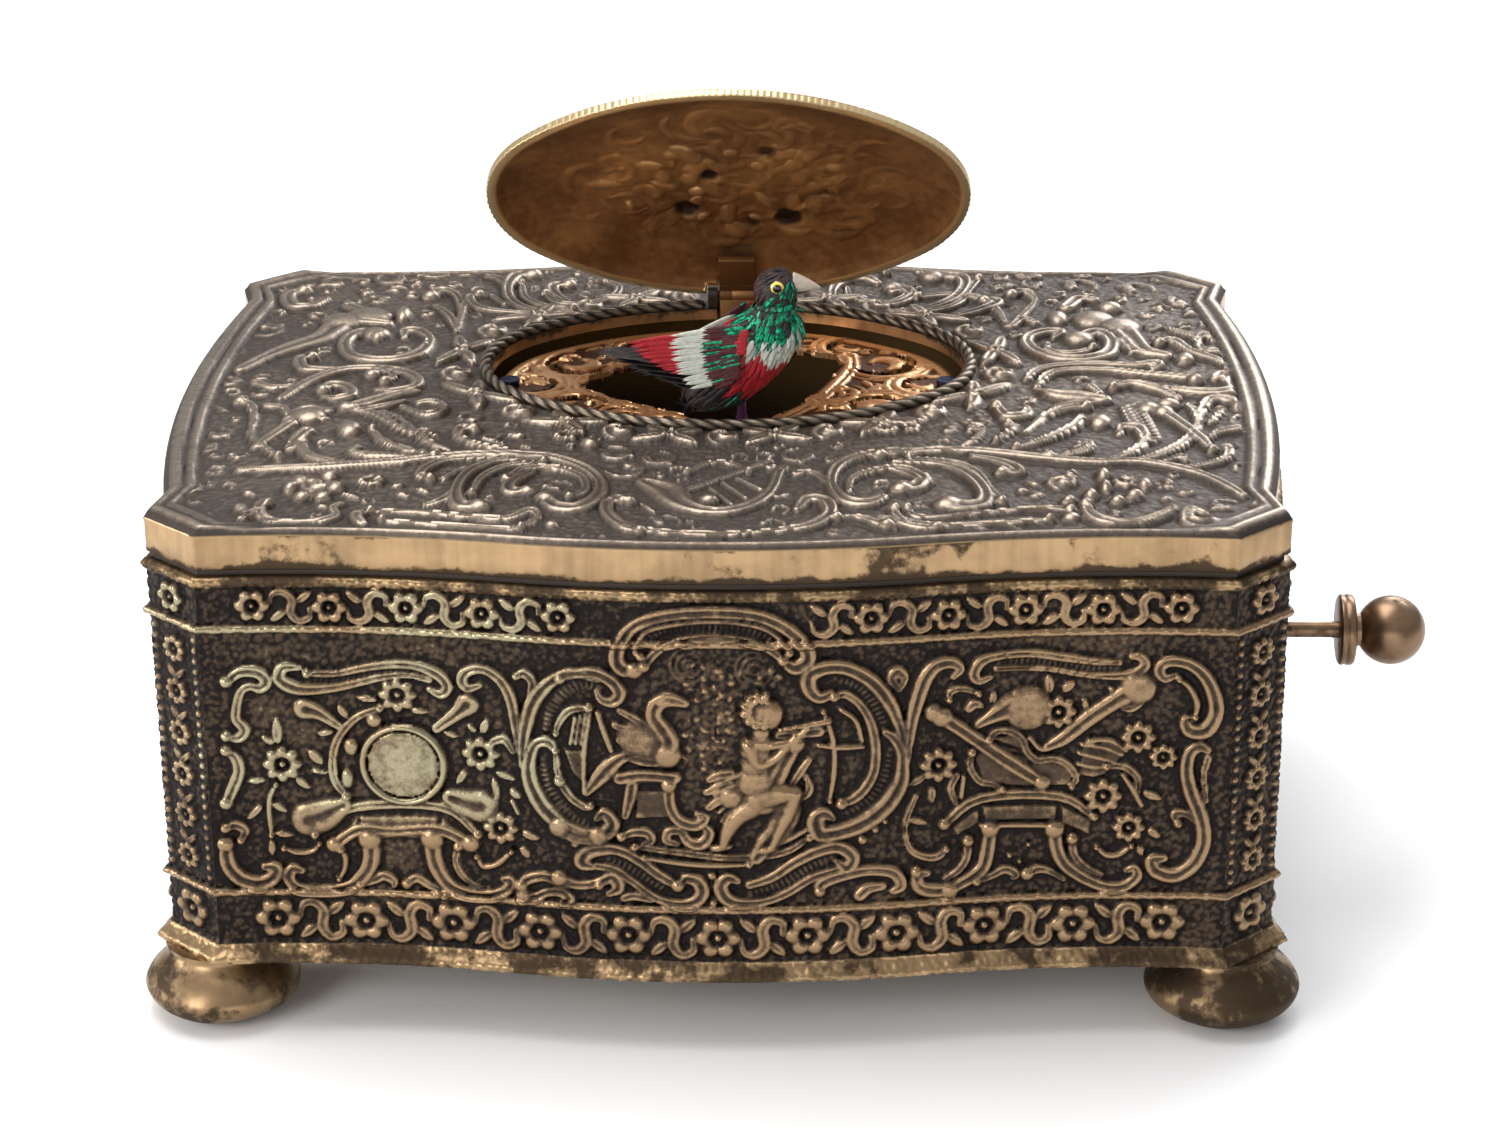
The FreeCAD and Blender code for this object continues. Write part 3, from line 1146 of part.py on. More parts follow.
# Worm and fly: the brake that sets the speed
worm_bar = rod("WormBar", s.fly_shaft, s.fly_right - s.fly_left, (s.fly_left, worm_y, worm_z), "x")
worm_core = rod("WormCore", s.worm_round, s.worm_length,
                (crank_axis[0] - s.worm_length / 2, worm_y, worm_z), "x")
worm_ends = [rod(f"WormShoulder{n}", s.worm_shoulder, s.cap_thick, (x, worm_y, worm_z), "x")
             for n, x in enumerate((crank_axis[0] - s.worm_length / 2 - s.cap_thick,
                                    crank_axis[0] + s.worm_length / 2))]
keep(fuse("WormShaft", [worm_bar, worm_core] + worm_ends), "worm_shaft")
fly_boss = rod("FlyBoss", s.fly_boss, s.fly_width, (s.fly_x, worm_y, worm_z), "x")
fly_blade = block("FlyBlade", (s.fly_width, s.fly_thick, s.fly_reach * 2),
                  (s.fly_x, worm_y - s.fly_thick / 2, worm_z - s.fly_reach))
fly_bore = rod("FlyBore", s.fly_shaft, s.fly_width, (s.fly_x, worm_y, worm_z), "x")
keep(cut("FlyVanes", fuse("FlyBody", [fly_boss, fly_blade]), [fly_bore]), "fly_vanes")
cocks = []
for n, x in enumerate((s.fly_left, s.fly_right - s.cock_thick)):
    cheek = block(f"Cock{n}", (s.cock_thick, s.cock_half * 2, worm_z + s.cock_half - floor_z),
                  (x, worm_y - s.cock_half, floor_z))
    hole = rod(f"CockHole{n}", s.fly_shaft + s.run_gap, s.cock_thick + s.overrun,
               (x - s.overrun / 2, worm_y, worm_z), "x")
    cocks.append(cut(f"CockCut{n}", cheek, [hole]))
keep(group("WormCocks", cocks), "worm_cocks")

# Bellows: a fixed and a swinging board with leather between them, worked by a lever
lever_z = eccentric_z + s.lever_gap
board_height = lever_z - floor_z - s.lever_rise
board_length = s.board_back - s.board_front
keep(block("FixedBoard", (s.board_thick, board_length, board_height),
           (s.fixed_board_x, s.board_front, floor_z)), "bellows_fixed_board")
leather_x = s.fixed_board_x + s.board_thick


def leather_outline(body):
    length, thick = board_length - s.leather_inset * 2, s.leather_thick
    return outline(body, "LeatherOutline", "XY_Plane", [
        (0, 0), (thick * 0.5, thick * 0.4), (thick, 0), (thick, length),
        (thick * 0.5, length - thick * 0.4), (0, length)])


keep(padded("Leather", leather_outline, board_height - s.leather_inset * 2,
            (leather_x, s.board_front + s.leather_inset, floor_z + s.leather_inset)),
     "bellows_leather")
moving_x = leather_x + s.leather_thick + s.leather_gap
keep(block("MovingBoard", (s.board_thick, board_length, board_height - s.board_lift),
           (moving_x, s.board_front, floor_z + s.board_lift)), "bellows_moving_board")
pad_x = crank_axis[0] + s.eccentric_round + s.eccentric_throw + s.lever_gap
lever_y = crank_axis[1] - s.lever_half
lever_post = block("LeverPost", (s.board_thick, s.lever_half * 2,
                                 s.lever_rise + s.lever_thick),
                   (moving_x, s.board_front, floor_z + board_height))
lever_back = block("LeverBack", (s.board_thick, s.board_front - lever_y + s.lever_half * 2,
                                 s.lever_thick), (moving_x, lever_y, lever_z))
lever_arm = block("LeverArm", (moving_x - pad_x + s.board_thick, s.lever_half * 2, s.lever_thick),
                  (pad_x, lever_y, lever_z))
keep(fuse("BellowsLever", [lever_post, lever_back, lever_arm]), "bellows_lever")
hinge_x_line = moving_x - s.leather_gap - s.leather_thick / 2
keep(rod("BellowsHinge", s.hinge_bar, board_height,
         (hinge_x_line, s.board_back + s.hinge_bar - s.leather_inset + s.leather_gap, floor_z)),
     "bellows_hinge_rod")

# Whistle with its sliding piston and the wind chest that joins it to the bellows
tube = rod("WhistleOuter", s.whistle_outer, s.whistle_length,
           (s.whistle_x, s.whistle_front, s.whistle_z), "y")
tube_bore = rod("WhistleBore", s.whistle_bore, s.whistle_length,
                (s.whistle_x, s.whistle_front + s.whistle_end, s.whistle_z), "y")
mouth = block("WhistleMouth", (s.whistle_outer * 1.2, s.mouth_length, s.whistle_outer),
              (s.whistle_x - s.whistle_outer * 0.6, s.whistle_front + s.whistle_end * 1.5,
               s.whistle_z + s.whistle_bore / 2))
keep(cut("WhistleTube", tube, [tube_bore, mouth]), "whistle_tube")
piston_y = s.whistle_front + s.piston_start
piston_head = rod("PistonHead", s.whistle_bore - s.run_gap, s.piston_head,
                  (s.whistle_x, piston_y, s.whistle_z), "y")
piston_rod = rod("PistonRod", s.piston_rod, s.whistle_length - s.piston_start + s.piston_reach,
                 (s.whistle_x, piston_y, s.whistle_z), "y")
keep(fuse("WhistlePiston", [piston_head, piston_rod]), "whistle_piston")
chest = block("ChestBlock", (s.fixed_board_x - s.whistle_x, s.chest_length,
                             s.whistle_z + s.chest_half - floor_z),
              (s.whistle_x, s.chest_front, floor_z))
chest_tube = rod("ChestTube", s.whistle_outer, s.whistle_length,
                 (s.whistle_x, s.whistle_front, s.whistle_z), "y")
keep(cut("WindChest", chest, [chest_tube]), "wind_chest")

# Check every feature and write each piece
doc.recompute()
for thing in doc.Objects:
    if {"Invalid", "Error"} & set(thing.State):
        raise RuntimeError(f"{thing.Name} failed: {thing.State}")
for thing in parts:
    if thing.Shape.isNull() or not thing.Shape.isValid() or not thing.Shape.Solids:
        raise RuntimeError(f"{thing.Label} has no valid solid")
labels = [thing.Label for thing in parts]
if len(set(labels)) != len(labels):
    raise RuntimeError("two pieces share a name")
os.makedirs("parts", exist_ok=True)
for thing in parts:
    thing.Shape.exportStep(f"parts/{thing.Label}.step")
print(len(parts), "pieces written")
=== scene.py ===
"""A singing bird box with its oval lid open, dressed over its CAD frame.

All shapes are worked out in millimetres, in the frame of the CAD model, and
written to the meshes in metres.
"""
import logging
import math
from collections.abc import Callable, Sequence
from dataclasses import dataclass
from enum import Enum

import bpy
import numpy as np
from mathutils import Matrix, Vector

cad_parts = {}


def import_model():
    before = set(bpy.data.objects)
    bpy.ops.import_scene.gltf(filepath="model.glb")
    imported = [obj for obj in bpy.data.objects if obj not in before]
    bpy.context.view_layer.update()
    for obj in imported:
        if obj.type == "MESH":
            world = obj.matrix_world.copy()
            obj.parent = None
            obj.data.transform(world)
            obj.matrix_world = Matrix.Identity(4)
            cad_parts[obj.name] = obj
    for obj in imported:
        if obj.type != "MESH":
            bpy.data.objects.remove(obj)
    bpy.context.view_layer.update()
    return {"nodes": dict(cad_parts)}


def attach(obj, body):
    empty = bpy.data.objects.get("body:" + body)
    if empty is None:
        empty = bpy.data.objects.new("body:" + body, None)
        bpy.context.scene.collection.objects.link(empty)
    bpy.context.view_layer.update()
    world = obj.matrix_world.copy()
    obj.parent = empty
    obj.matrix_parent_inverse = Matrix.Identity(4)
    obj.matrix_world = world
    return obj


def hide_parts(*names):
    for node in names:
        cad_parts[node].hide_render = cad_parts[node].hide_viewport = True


LOG = logging.getLogger("bird_box")
MM = 0.001
SEED = 7

Spot = tuple[float, float]
Place = tuple[float, float, float]
Colour = tuple[float, float, float]
Rows = Sequence[Sequence[float]]


class Kind(Enum):
    """The kinds of mark that a relief is built from."""

    STROKE = "stroke"
    COMB = "comb"
    FLOWER = "flower"
    ROSE = "rose"
    LEAF = "leaf"
    BALL = "ball"
    EGG = "egg"
    PLATEAU = "plateau"


class Look(Enum):
    """The finishes of the box and its movement."""

    WALLS = "chased_body"
    COVER = "chased_cover"
    ROPE = "chased_rope"
    BAND = "gilt_band"
    TRIM = "gilt_trim"
    FEET = "gilt_feet"
    KNOB = "aged_knob"
    LID = "gilt_lid"
    GRILLE = "rose_gilt"
    BRASS = "aged_brass"
    STEEL = "bright_steel"
    DARK = "dark_steel"
    BLUED = "blued_steel"
    LEATHER = "kid_leather"
    BOARD = "card_board"
    PLUMAGE = "plumage"
    BEAK = "horn_beak"
    DARK_BEAK = "dark_horn"
    EYE = "eye_glass"
    STEM = "purple_stem"


@dataclass(frozen=True)
class Mark:
    """One mark of a relief, with its places in millimetres.

    Args:
        kind: What the mark is.
        spots: Its numbers: (x, y, half width) rows, or a single row.
        height: How far it stands out, in millimetres.
        grow: Factor on the widths of its strokes.
    """

    kind: Kind
    spots: tuple
    height: float = 0.6
    grow: float = 1.0


def smooth_line(points: Rows, steps: int = 4) -> np.ndarray:
    """Rounds a polyline that carries widths.

    Args:
        points: Rows of (x, y, half width).
        steps: Pieces between two given points.

    Returns:
        An array of rows along a smooth curve through the points.
    """
    rows = np.array(points, float)
    if len(rows) < 3:
        return rows
    before = np.vstack([2 * rows[0] - rows[1], rows[:-1]])[:-1]
    after = np.vstack([rows[1:], 2 * rows[-1] - rows[-2]])[1:]
    start, end = rows[:-1], rows[1:]
    out = []
    for share in np.arange(steps) / steps:
        a = -share + 2 * share**2 - share**3
        b = 2 - 5 * share**2 + 3 * share**3
        c = share + 4 * share**2 - 3 * share**3
        d = share**3 - share**2
        out.append(0.5 * (a * before + b * start + c * end + d * after))
    line = np.stack(out, 1).reshape(-1, rows.shape[1])
    return np.vstack([line, rows[-1]])


class Relief:
    """Heights of a chased surface over flat coordinates in millimetres."""

    def __init__(self, across: np.ndarray, up: np.ndarray) -> None:
        """Keeps the coordinates and starts with flat ground.

        Args:
            across: Array of first coordinates.
            up: Array of second coordinates, of the same shape.
        """
        self.across = across
        self.up = up
        self.height = np.zeros(across.shape)
        self.rows = np.arange(across.size)

    def near(self, low_x: float, low_y: float, high_x: float,
             high_y: float) -> tuple[np.ndarray, np.ndarray, np.ndarray]:
        """Indices and coordinates of the points inside a box.

        Args:
            low_x: Least first coordinate.
            low_y: Least second coordinate.
            high_x: Greatest first coordinate.
            high_y: Greatest second coordinate.

        Returns:
            Indices and both coordinates.
        """
        inside = (self.across > low_x) & (self.across < high_x)
        inside &= (self.up > low_y) & (self.up < high_y)
        index = self.rows.reshape(self.across.shape)[inside]
        return index, self.across[inside], self.up[inside]

    def lift(self, index: np.ndarray, value: np.ndarray) -> None:
        """Raises points to a height where they are lower."""
        flat = self.height.reshape(-1)
        flat[index] = np.maximum(flat[index], value)

    def stroke(self, points: Rows, height: float, steps: int = 4, comb: float = 0.0,
               groove: float = 0.0) -> None:
        """A tapering ridge with a rounded back, or a row of fine ribs.

        Args:
            points: Rows of (x, y, half width).
            height: Height of the ridge.
            steps: Smoothing steps between points.
            comb: Pitch of the ribs, or 0 for a plain ridge.
            groove: Depth of the groove along the ridge, as a share of its height.
        """
        line = smooth_line(points, steps)
        widest = line[:, 2].max()
        low, high = line.min(0) - widest, line.max(0) + widest
        index, x, y = self.near(low[0], low[1], high[0], high[1])
        if not len(index):
            return
        nearest = np.full(len(index), 9.0)
        half, place = np.ones(len(index)), np.zeros(len(index))
        run = 0.0
        for (ax, ay, aw), (bx, by, bw) in zip(line[:-1], line[1:]):
            dx, dy = bx - ax, by - ay
            size = math.hypot(dx, dy) or 1e-6
            share = np.clip(((x - ax) * dx + (y - ay) * dy) / size**2, 0, 1)
            gap = np.hypot(x - ax - share * dx, y - ay - share * dy)
            width = np.maximum(aw + (bw - aw) * share, 0.05)
            closer = gap / width < nearest
            nearest = np.where(closer, gap / width, nearest)
            half = np.where(closer, width, half)
            place = np.where(closer, run + share * size, place)
            run += size
        value = np.clip(1 - nearest**2, 0, 1) ** 0.6
        value *= height * np.clip(0.45 + 0.8 * half, 0.5, 1.1)
        if groove:
            value *= 1 - groove * np.exp(-((nearest / 0.36) ** 2))
        if comb:
            value *= 0.25 + 0.6 * (0.5 + 0.5 * np.cos(2 * math.pi * place / comb))
        self.lift(index, value)

    def egg(self, x0: float, y0: float, a: float, b: float, angle: float, height: float) -> None:
        """A smooth rounded form.

        Args:
            x0: First coordinate of its middle or base.
            y0: Second coordinate of its middle or base.
            a: Half length along its angle.
            b: Half width across its angle.
            angle: Its turn in degrees.
            height: How far it stands out.
        """
        reach = max(a, b)
        index, x, y = self.near(x0 - reach, y0 - reach, x0 + reach, y0 + reach)
        turn = math.radians(angle)
        along = (x - x0) * math.cos(turn) + (y - y0) * math.sin(turn)
        side = (y - y0) * math.cos(turn) - (x - x0) * math.sin(turn)
        value = np.clip(1 - (along / a) ** 2 - (side / b) ** 2, 0, 1)
        self.lift(index, height * value**0.5)

    def leaf(self, x0: float, y0: float, x1: float, y1: float, width: float, height: float) -> None:
        """A small leaf with a vein, from its base to its tip.

        Args:
            x0: First coordinate of its middle or base.
            y0: Second coordinate of its middle or base.
            x1: First coordinate of its tip.
            y1: Second coordinate of its tip.
            width: Its half width.
            height: How far it stands out.
        """
        size = math.hypot(x1 - x0, y1 - y0) or 1e-6
        reach = size + width
        index, x, y = self.near(x0 - reach, y0 - reach, x0 + reach, y0 + reach)
        dx, dy = (x1 - x0) / size, (y1 - y0) / size
        along = ((x - x0) * dx + (y - y0) * dy) / size
        side = np.abs((y - y0) * dx - (x - x0) * dy)
        edge = width * np.sin(math.pi * np.clip(along, 0, 1) ** 0.8) ** 0.7 + 1e-6
        value = np.clip(1 - (side / edge) ** 2, 0, 1) ** 0.5
        value *= 1 - 0.35 * np.exp(-((side / (0.22 * width)) ** 2))
        value[(along < 0) | (along > 1)] = 0
        self.lift(index, height * value)

    def flower(self, x0: float, y0: float, radius: float, height: float, petals: int = 8) -> None:
        """A ring of petals round a dark well with a boss.

        Args:
            x0: First coordinate of its middle or base.
            y0: Second coordinate of its middle or base.
            radius: Its radius.
            height: How far it stands out.
            petals: How many petals it has.
        """
        index, x, y = self.near(x0 - radius, y0 - radius, x0 + radius, y0 + radius)
        out = np.hypot(x - x0, y - y0) / radius
        turn = np.arctan2(y - y0, x - x0)
        lobe = np.abs(np.cos(0.5 * petals * turn))
        edge = 0.8 + 0.2 * lobe
        ring = np.clip(1 - ((out - 0.66 * edge) / (0.34 * edge)) ** 2, 0, 1) ** 0.5
        ring *= 0.72 + 0.28 * lobe
        boss = np.clip(1 - (out / 0.2) ** 2, 0, 1) ** 0.5 * 0.8
        self.lift(index, height * np.maximum(ring, boss))

    def rose(self, x0: float, y0: float, radius: float, height: float) -> None:
        """A full rose of curled petals.

        Args:
            x0: First coordinate of its middle or base.
            y0: Second coordinate of its middle or base.
            radius: Its radius.
            height: How far it stands out.
        """
        index, x, y = self.near(x0 - radius, y0 - radius, x0 + radius, y0 + radius)
        out = np.hypot(x - x0, y - y0) / radius
        turn = np.arctan2(y - y0, x - x0)
        swirl = np.cos(out * 9.0 - turn * 2.0)
        edge = 1 - 0.1 * np.abs(np.cos(2.5 * turn))
        value = np.clip(1 - (out / edge) ** 2, 0, 1) ** 0.5
        self.lift(index, height * value * (0.76 + 0.24 * swirl))

    def plateau(self, corners: Rows, height: float) -> None:
        """A flat raised area inside a polygon.

        Args:
            corners: Corners of the polygon, in order.
            height: How far it stands out.
        """
        spots = np.array(corners, float)
        low, high = spots.min(0), spots.max(0)
        index, x, y = self.near(low[0], low[1], high[0], high[1])
        inside = np.zeros(len(index), bool)
        rim = np.full(len(index), 9.0)
        for (ax, ay), (bx, by) in zip(spots, np.roll(spots, -1, 0)):
            crosses = (ay > y) != (by > y)
            at = ax + (y - ay) * (bx - ax) / (by - ay if by != ay else 1e-9)
            inside ^= crosses & (x < at)
            size = math.hypot(bx - ax, by - ay) or 1e-6
            rim = np.minimum(rim, np.abs((y - ay) * (bx - ax) - (x - ax) * (by - ay)) / size)
        self.lift(index, np.where(inside, height * np.clip(rim / 0.2, 0, 1), 0))

    def draw(self, mark: Mark, shift: Spot = (0.0, 0.0), mirror: tuple[int, int] = (1, 1)) -> None:
        """Adds one mark, moved or mirrored.

        Args:
            mark: The Mark.
            shift: Move applied after mirroring.
            mirror: Signs for the two coordinates.
        """
        sx, sy = mirror
        dx, dy = shift
        kind, spots, high = mark.kind, mark.spots, mark.height
        if kind in (Kind.STROKE, Kind.COMB):
            comb = 0.52 if kind is Kind.COMB else 0.0
            grow = mark.grow
            rows = [(sx * x + dx, sy * y + dy, w * grow + 0.04) for x, y, w in spots]
            wide = max(row[2] for row in rows) > 0.45 and not comb
            self.stroke(rows, high * (0.6 if comb else 1), 4, comb, 0.5 if wide else 0.0)
            if not comb and len(rows) > 3:
                widest = max(row[2] for row in rows)
                for x, y, w in (rows[0], rows[-1]):
                    if w > 0.62 * widest:
                        self.egg(x, y, w * 1.25, w * 1.25, 0, high * 1.2)
        elif kind is Kind.PLATEAU:
            self.plateau([(sx * x + dx, sy * y + dy) for x, y in spots], high * 0.45)
        elif kind is Kind.LEAF:
            x0, y0, x1, y1, w = spots
            self.leaf(sx * x0 + dx, sy * y0 + dy, sx * x1 + dx, sy * y1 + dy, w, high * 0.9)
        elif kind is Kind.EGG:
            x0, y0, a, b, turn = spots
            self.egg(sx * x0 + dx, sy * y0 + dy, a, b, turn * sx * sy, high * 1.15)
        else:
            x0, y0, r = spots
            x0, y0 = sx * x0 + dx, sy * y0 + dy
            if kind is Kind.FLOWER:
                self.flower(x0, y0, r, high)
            elif kind is Kind.ROSE:
                self.rose(x0, y0, r, high * 1.2)
            else:
                self.egg(x0, y0, r, r, 0, high)

    def fill(self, sizes: Sequence[float], tries: int, low: Spot, high: Spot,
             seams: Sequence[tuple[int, float]]) -> None:
        """Fills empty ground with small curled leaves, the largest first.

        Args:
            sizes: Radii of the leaves.
            tries: Places tried for each radius.
            low: Lower corner of the area.
            high: Upper corner of the area.
            seams: Lines (axis, place) that no leaf may cross.
        """
        rng = np.random.default_rng(SEED + 11)
        for size in sizes:
            for _ in range(tries):
                x0 = low[0] + (high[0] - low[0]) * rng.random()
                y0 = low[1] + (high[1] - low[1]) * rng.random()
                turn, way = 2 * math.pi * rng.random(), 1 if rng.random() < 0.5 else -1
                if any(abs((x0, y0)[axis] - place) < size for axis, place in seams):
                    continue
                index, x, y = self.near(x0 - size, y0 - size, x0 + size, y0 + size)
                near = np.hypot(x - x0, y - y0) < size * 0.92
                if not near.any() or self.height.reshape(-1)[index][near].max() > 0.05:
                    continue
                rows = []
                for step in range(8):
                    share = step / 7
                    angle = turn + way * 4.4 * share
                    reach = size * (0.86 - 0.5 * share)
                    rows.append((x0 + reach * math.cos(angle), y0 + reach * math.sin(angle),
                                 size * (0.1 + 0.17 * share)))
                self.stroke(rows, 0.62, 2, 0.0, 0.4 if size > 1.5 else 0.0)
                if size > 1:
                    far = turn + way * 2.6
                    self.leaf(x0 + 0.1 * size * math.cos(far), y0 + 0.1 * size * math.sin(far),
                              x0 + 0.95 * size * math.cos(far + 0.5),
                              y0 + 0.95 * size * math.sin(far + 0.5), 0.26 * size, 0.5)

    def stipple(self, cell: float, height: float) -> None:
        """Covers the bare ground with round pebbles.

        Args:
            cell: Distance between pebbles.
            height: Height of a pebble.
        """
        value = np.zeros_like(self.height)
        column, row = np.floor(self.across / cell), np.floor(self.up / cell)
        for dx in (-2, -1, 0, 1, 2):
            for dy in (-1, 0, 1):
                a, b = column + dx, row + dy
                one = np.sin(a * 127.1 + b * 311.7) * 43758.5
                two = np.sin(a * 269.5 + b * 183.3) * 43758.5
                x = (a + 0.5 * (b % 2) + 0.9 * (one - np.floor(one))) * cell
                y = (b + 0.9 * (two - np.floor(two))) * cell
                far = np.hypot(self.across - x, self.up - y) / (0.5 * cell)
                value = np.maximum(value, height * np.clip(1 - far**2, 0, 1) ** 0.5)
        self.height = np.where(self.height > 0.04, self.height, value)

    def wear(self, reach: int = 5) -> np.ndarray:
        """How much each point stands above its surroundings, from 0 to 1.

        Args:
            reach: How many points to each side are averaged.

        Returns:
            An array of the same shape, 0.5 where the surface is level.
        """
        soft = self.height.copy()
        for axis in (0, 1):
            total = np.zeros_like(soft)
            for step in range(-reach, reach + 1):
                total += np.roll(soft, step, axis)
            soft = total / (2 * reach + 1)
        return np.clip(0.5 + (self.height - soft) * 2.2, 0, 1)


class Span:
    """One stretch of the case's outline, with its outward directions."""

    def __init__(self, spots: np.ndarray) -> None:
        """Keeps the places and works out the outward normals.

        Args:
            spots: Array of (x, y) places, run so that outside lies on the right.
        """
        self.spots = np.array(spots, float)
        along = np.gradient(self.spots, axis=0)
        along /= np.linalg.norm(along, axis=1, keepdims=True)
        self.out = np.stack([along[:, 1], -along[:, 0]], 1)
        steps = np.linalg.norm(np.diff(self.spots, axis=0), axis=1)
        self.run = np.concatenate([[0], np.cumsum(steps)])
        self.push = self.out.copy()

    @property
    def length(self) -> float:
        """Length of the stretch."""
        return self.run[-1]


def straight(start: Spot, end: Spot, pitch: float) -> Span:
    """A Span along a straight line.

    Args:
        start: Where it starts.
        end: Where it ends.
        pitch: Step between places.

    Returns:
        The stretch, with its places evenly spaced.
    """
    count = max(3, int(math.dist(start, end) / pitch))
    share = np.linspace(0, 1, count)[:, None]
    return Span(np.array(start) * (1 - share) + np.array(end) * share)


@dataclass(frozen=True)
class Outline:
    """Shared heights, plan and hinge of the box, in millimetres.

    The plan is a serpentine front and back between canted corners, with bowed ends. The
    opening is an oval of four tangent arcs, and the lid's hinge lies behind it.
    """

    # Heights of the case, from the table up
    rim_z: float = 7.4
    frieze_z: float = 9.1
    ridge_z: float = 14.0
    panel_z: float = 15.0
    upper_ridge_z: float = 41.4
    upper_frieze_z: float = 42.4
    bead_z: float = 46.0
    seat_z: float = 47.1
    band_z: float = 47.7
    top_z: float = 51.6
    wall: float = 1.2

    # Plan of the case
    corner_x: float = 47.8
    hollow_x: float = 39.0
    bulge_y: float = 40.0
    hollow_y: float = 36.6
    cant: Spot = (53.0, 32.3)
    side: Spot = (51.9, 27.5)
    side_bulge: float = 54.4

    # Oval opening, hinge, and the middle plane of the bird
    oval_long: float = 24.0
    oval_short: float = 17.2
    oval_y: float = 7.7
    hinge: Place = (0.6, 26.3, 52.8)
    lid_angle: float = 52.0
    bird_y: float = -4.9

    def front_y(self, x: np.ndarray) -> np.ndarray:
        """Distance of the serpentine front from the middle, in millimetres.

        Args:
            x: Place across, in millimetres.

        Returns:
            The distances at those places.
        """
        run = self.hollow_x / 2
        drop = (self.bulge_y - self.hollow_y) / 2
        radius = (run**2 + drop**2) / (2 * drop)
        x = np.abs(x)
        bow = self.bulge_y - radius + np.sqrt(np.maximum(radius**2 - x**2, 0))
        dip = self.hollow_y + radius - np.sqrt(np.maximum(radius**2 - (x - self.hollow_x) ** 2, 0))
        return np.where(x < run, bow, dip)

    def side_x(self, y: np.ndarray) -> np.ndarray:
        """Distance of the bowed side from the middle, in millimetres.

        Args:
            y: Place from front to back, in millimetres.

        Returns:
            The distances at those places.
        """
        sag = self.side_bulge - self.side[0]
        radius = (self.side[1] ** 2 + sag**2) / (2 * sag)
        return self.side_bulge - radius + np.sqrt(radius**2 - y**2)

    def case_spans(self, pitch: float) -> dict[str, Span]:
        """The sixteen stretches of the outline, mitred where they meet.

        Args:
            pitch: Step along the outline on the front.

        Returns:
            Spans by name, run anticlockwise from the front's left end.
        """
        corner = (self.corner_x, float(self.front_y(np.array(self.corner_x))))
        x = np.linspace(-self.corner_x, self.corner_x, 2 * int(self.corner_x / pitch) + 1)
        y = np.linspace(-self.side[1], self.side[1], int(2 * self.side[1] / (pitch * 1.6)))
        x2 = np.linspace(self.corner_x, -self.corner_x, 2 * int(self.corner_x / (pitch * 2.2)) + 1)
        cant, side = self.cant, self.side
        spans = {
            "front": Span(np.stack([x, -self.front_y(x)], 1)),
            "front_right_cant": straight((corner[0], -corner[1]), (cant[0], -cant[1]), pitch),
            "front_right_return": straight((cant[0], -cant[1]), (side[0], -side[1]), pitch),
            "right": Span(np.stack([self.side_x(y), y], 1)),
            "rear_right_return": straight(side, cant, pitch * 2),
            "rear_right_cant": straight(cant, corner, pitch * 2),
            "rear": Span(np.stack([x2, self.front_y(x2)], 1)),
            "rear_left_cant": straight((-corner[0], corner[1]), (-cant[0], cant[1]), pitch * 2),
            "rear_left_return": straight((-cant[0], cant[1]), (-side[0], side[1]), pitch * 2),
            "left": Span(np.stack([-self.side_x(y), -y], 1)),
            "front_left_return": straight((-side[0], -side[1]), (-cant[0], -cant[1]), pitch),
            "front_left_cant": straight((-cant[0], -cant[1]), (-corner[0], -corner[1]), pitch)}
        order = list(spans.values())
        for one, two in zip(order, order[1:] + order[:1]):
            meet = one.out[-1] + two.out[0]
            meet /= 1 + one.out[-1] @ two.out[0]
            for span, at_end in ((one, True), (two, False)):
                reach = min(span.length, 4.0)
                from_end = span.length - span.run if at_end else span.run
                share = np.clip(1 - from_end / reach, 0, 1)[:, None]
                if span.length > 10:
                    share = share**2
                base = span.out[-1] if at_end else span.out[0]
                span.push = span.push + share * (meet - base)
        return spans

    def oval_shape(self) -> tuple[float, float, float, float]:
        """Radii and centres of the four tangent arcs of the opening's oval.

        Returns:
            The end radius, the end centre, the side centre and the side radius.
        """
        end = 0.75 * self.oval_short
        centre_x = self.oval_long - end
        centre_y = (centre_x**2 - (self.oval_short - end) ** 2) / (2 * (self.oval_short - end))
        return end, centre_x, centre_y, self.oval_short + centre_y

    def oval_reach(self, turn: np.ndarray, grow: float = 0.0) -> np.ndarray:
        """Distance from the oval's centre to its edge at each angle.

        Args:
            turn: Angles in radians.
            grow: How far outside the oval the edge lies.

        Returns:
            The distances at those angles.
        """
        end, centre_x, centre_y, side = self.oval_shape()
        c, s = np.abs(np.cos(turn)), np.abs(np.sin(turn))
        r_end, r_side = end + grow, side + grow
        far = c * centre_x + np.sqrt(np.maximum((c * centre_x) ** 2 - centre_x**2 + r_end**2, 0))
        near = -s * centre_y + np.sqrt(np.maximum((s * centre_y) ** 2 - centre_y**2 + r_side**2, 0))
        flat = s * far / np.maximum(c * far - centre_x, 1e-9)
        on_end = (c * far > centre_x) & (flat <= centre_y / centre_x)
        return np.where(on_end, far, near)

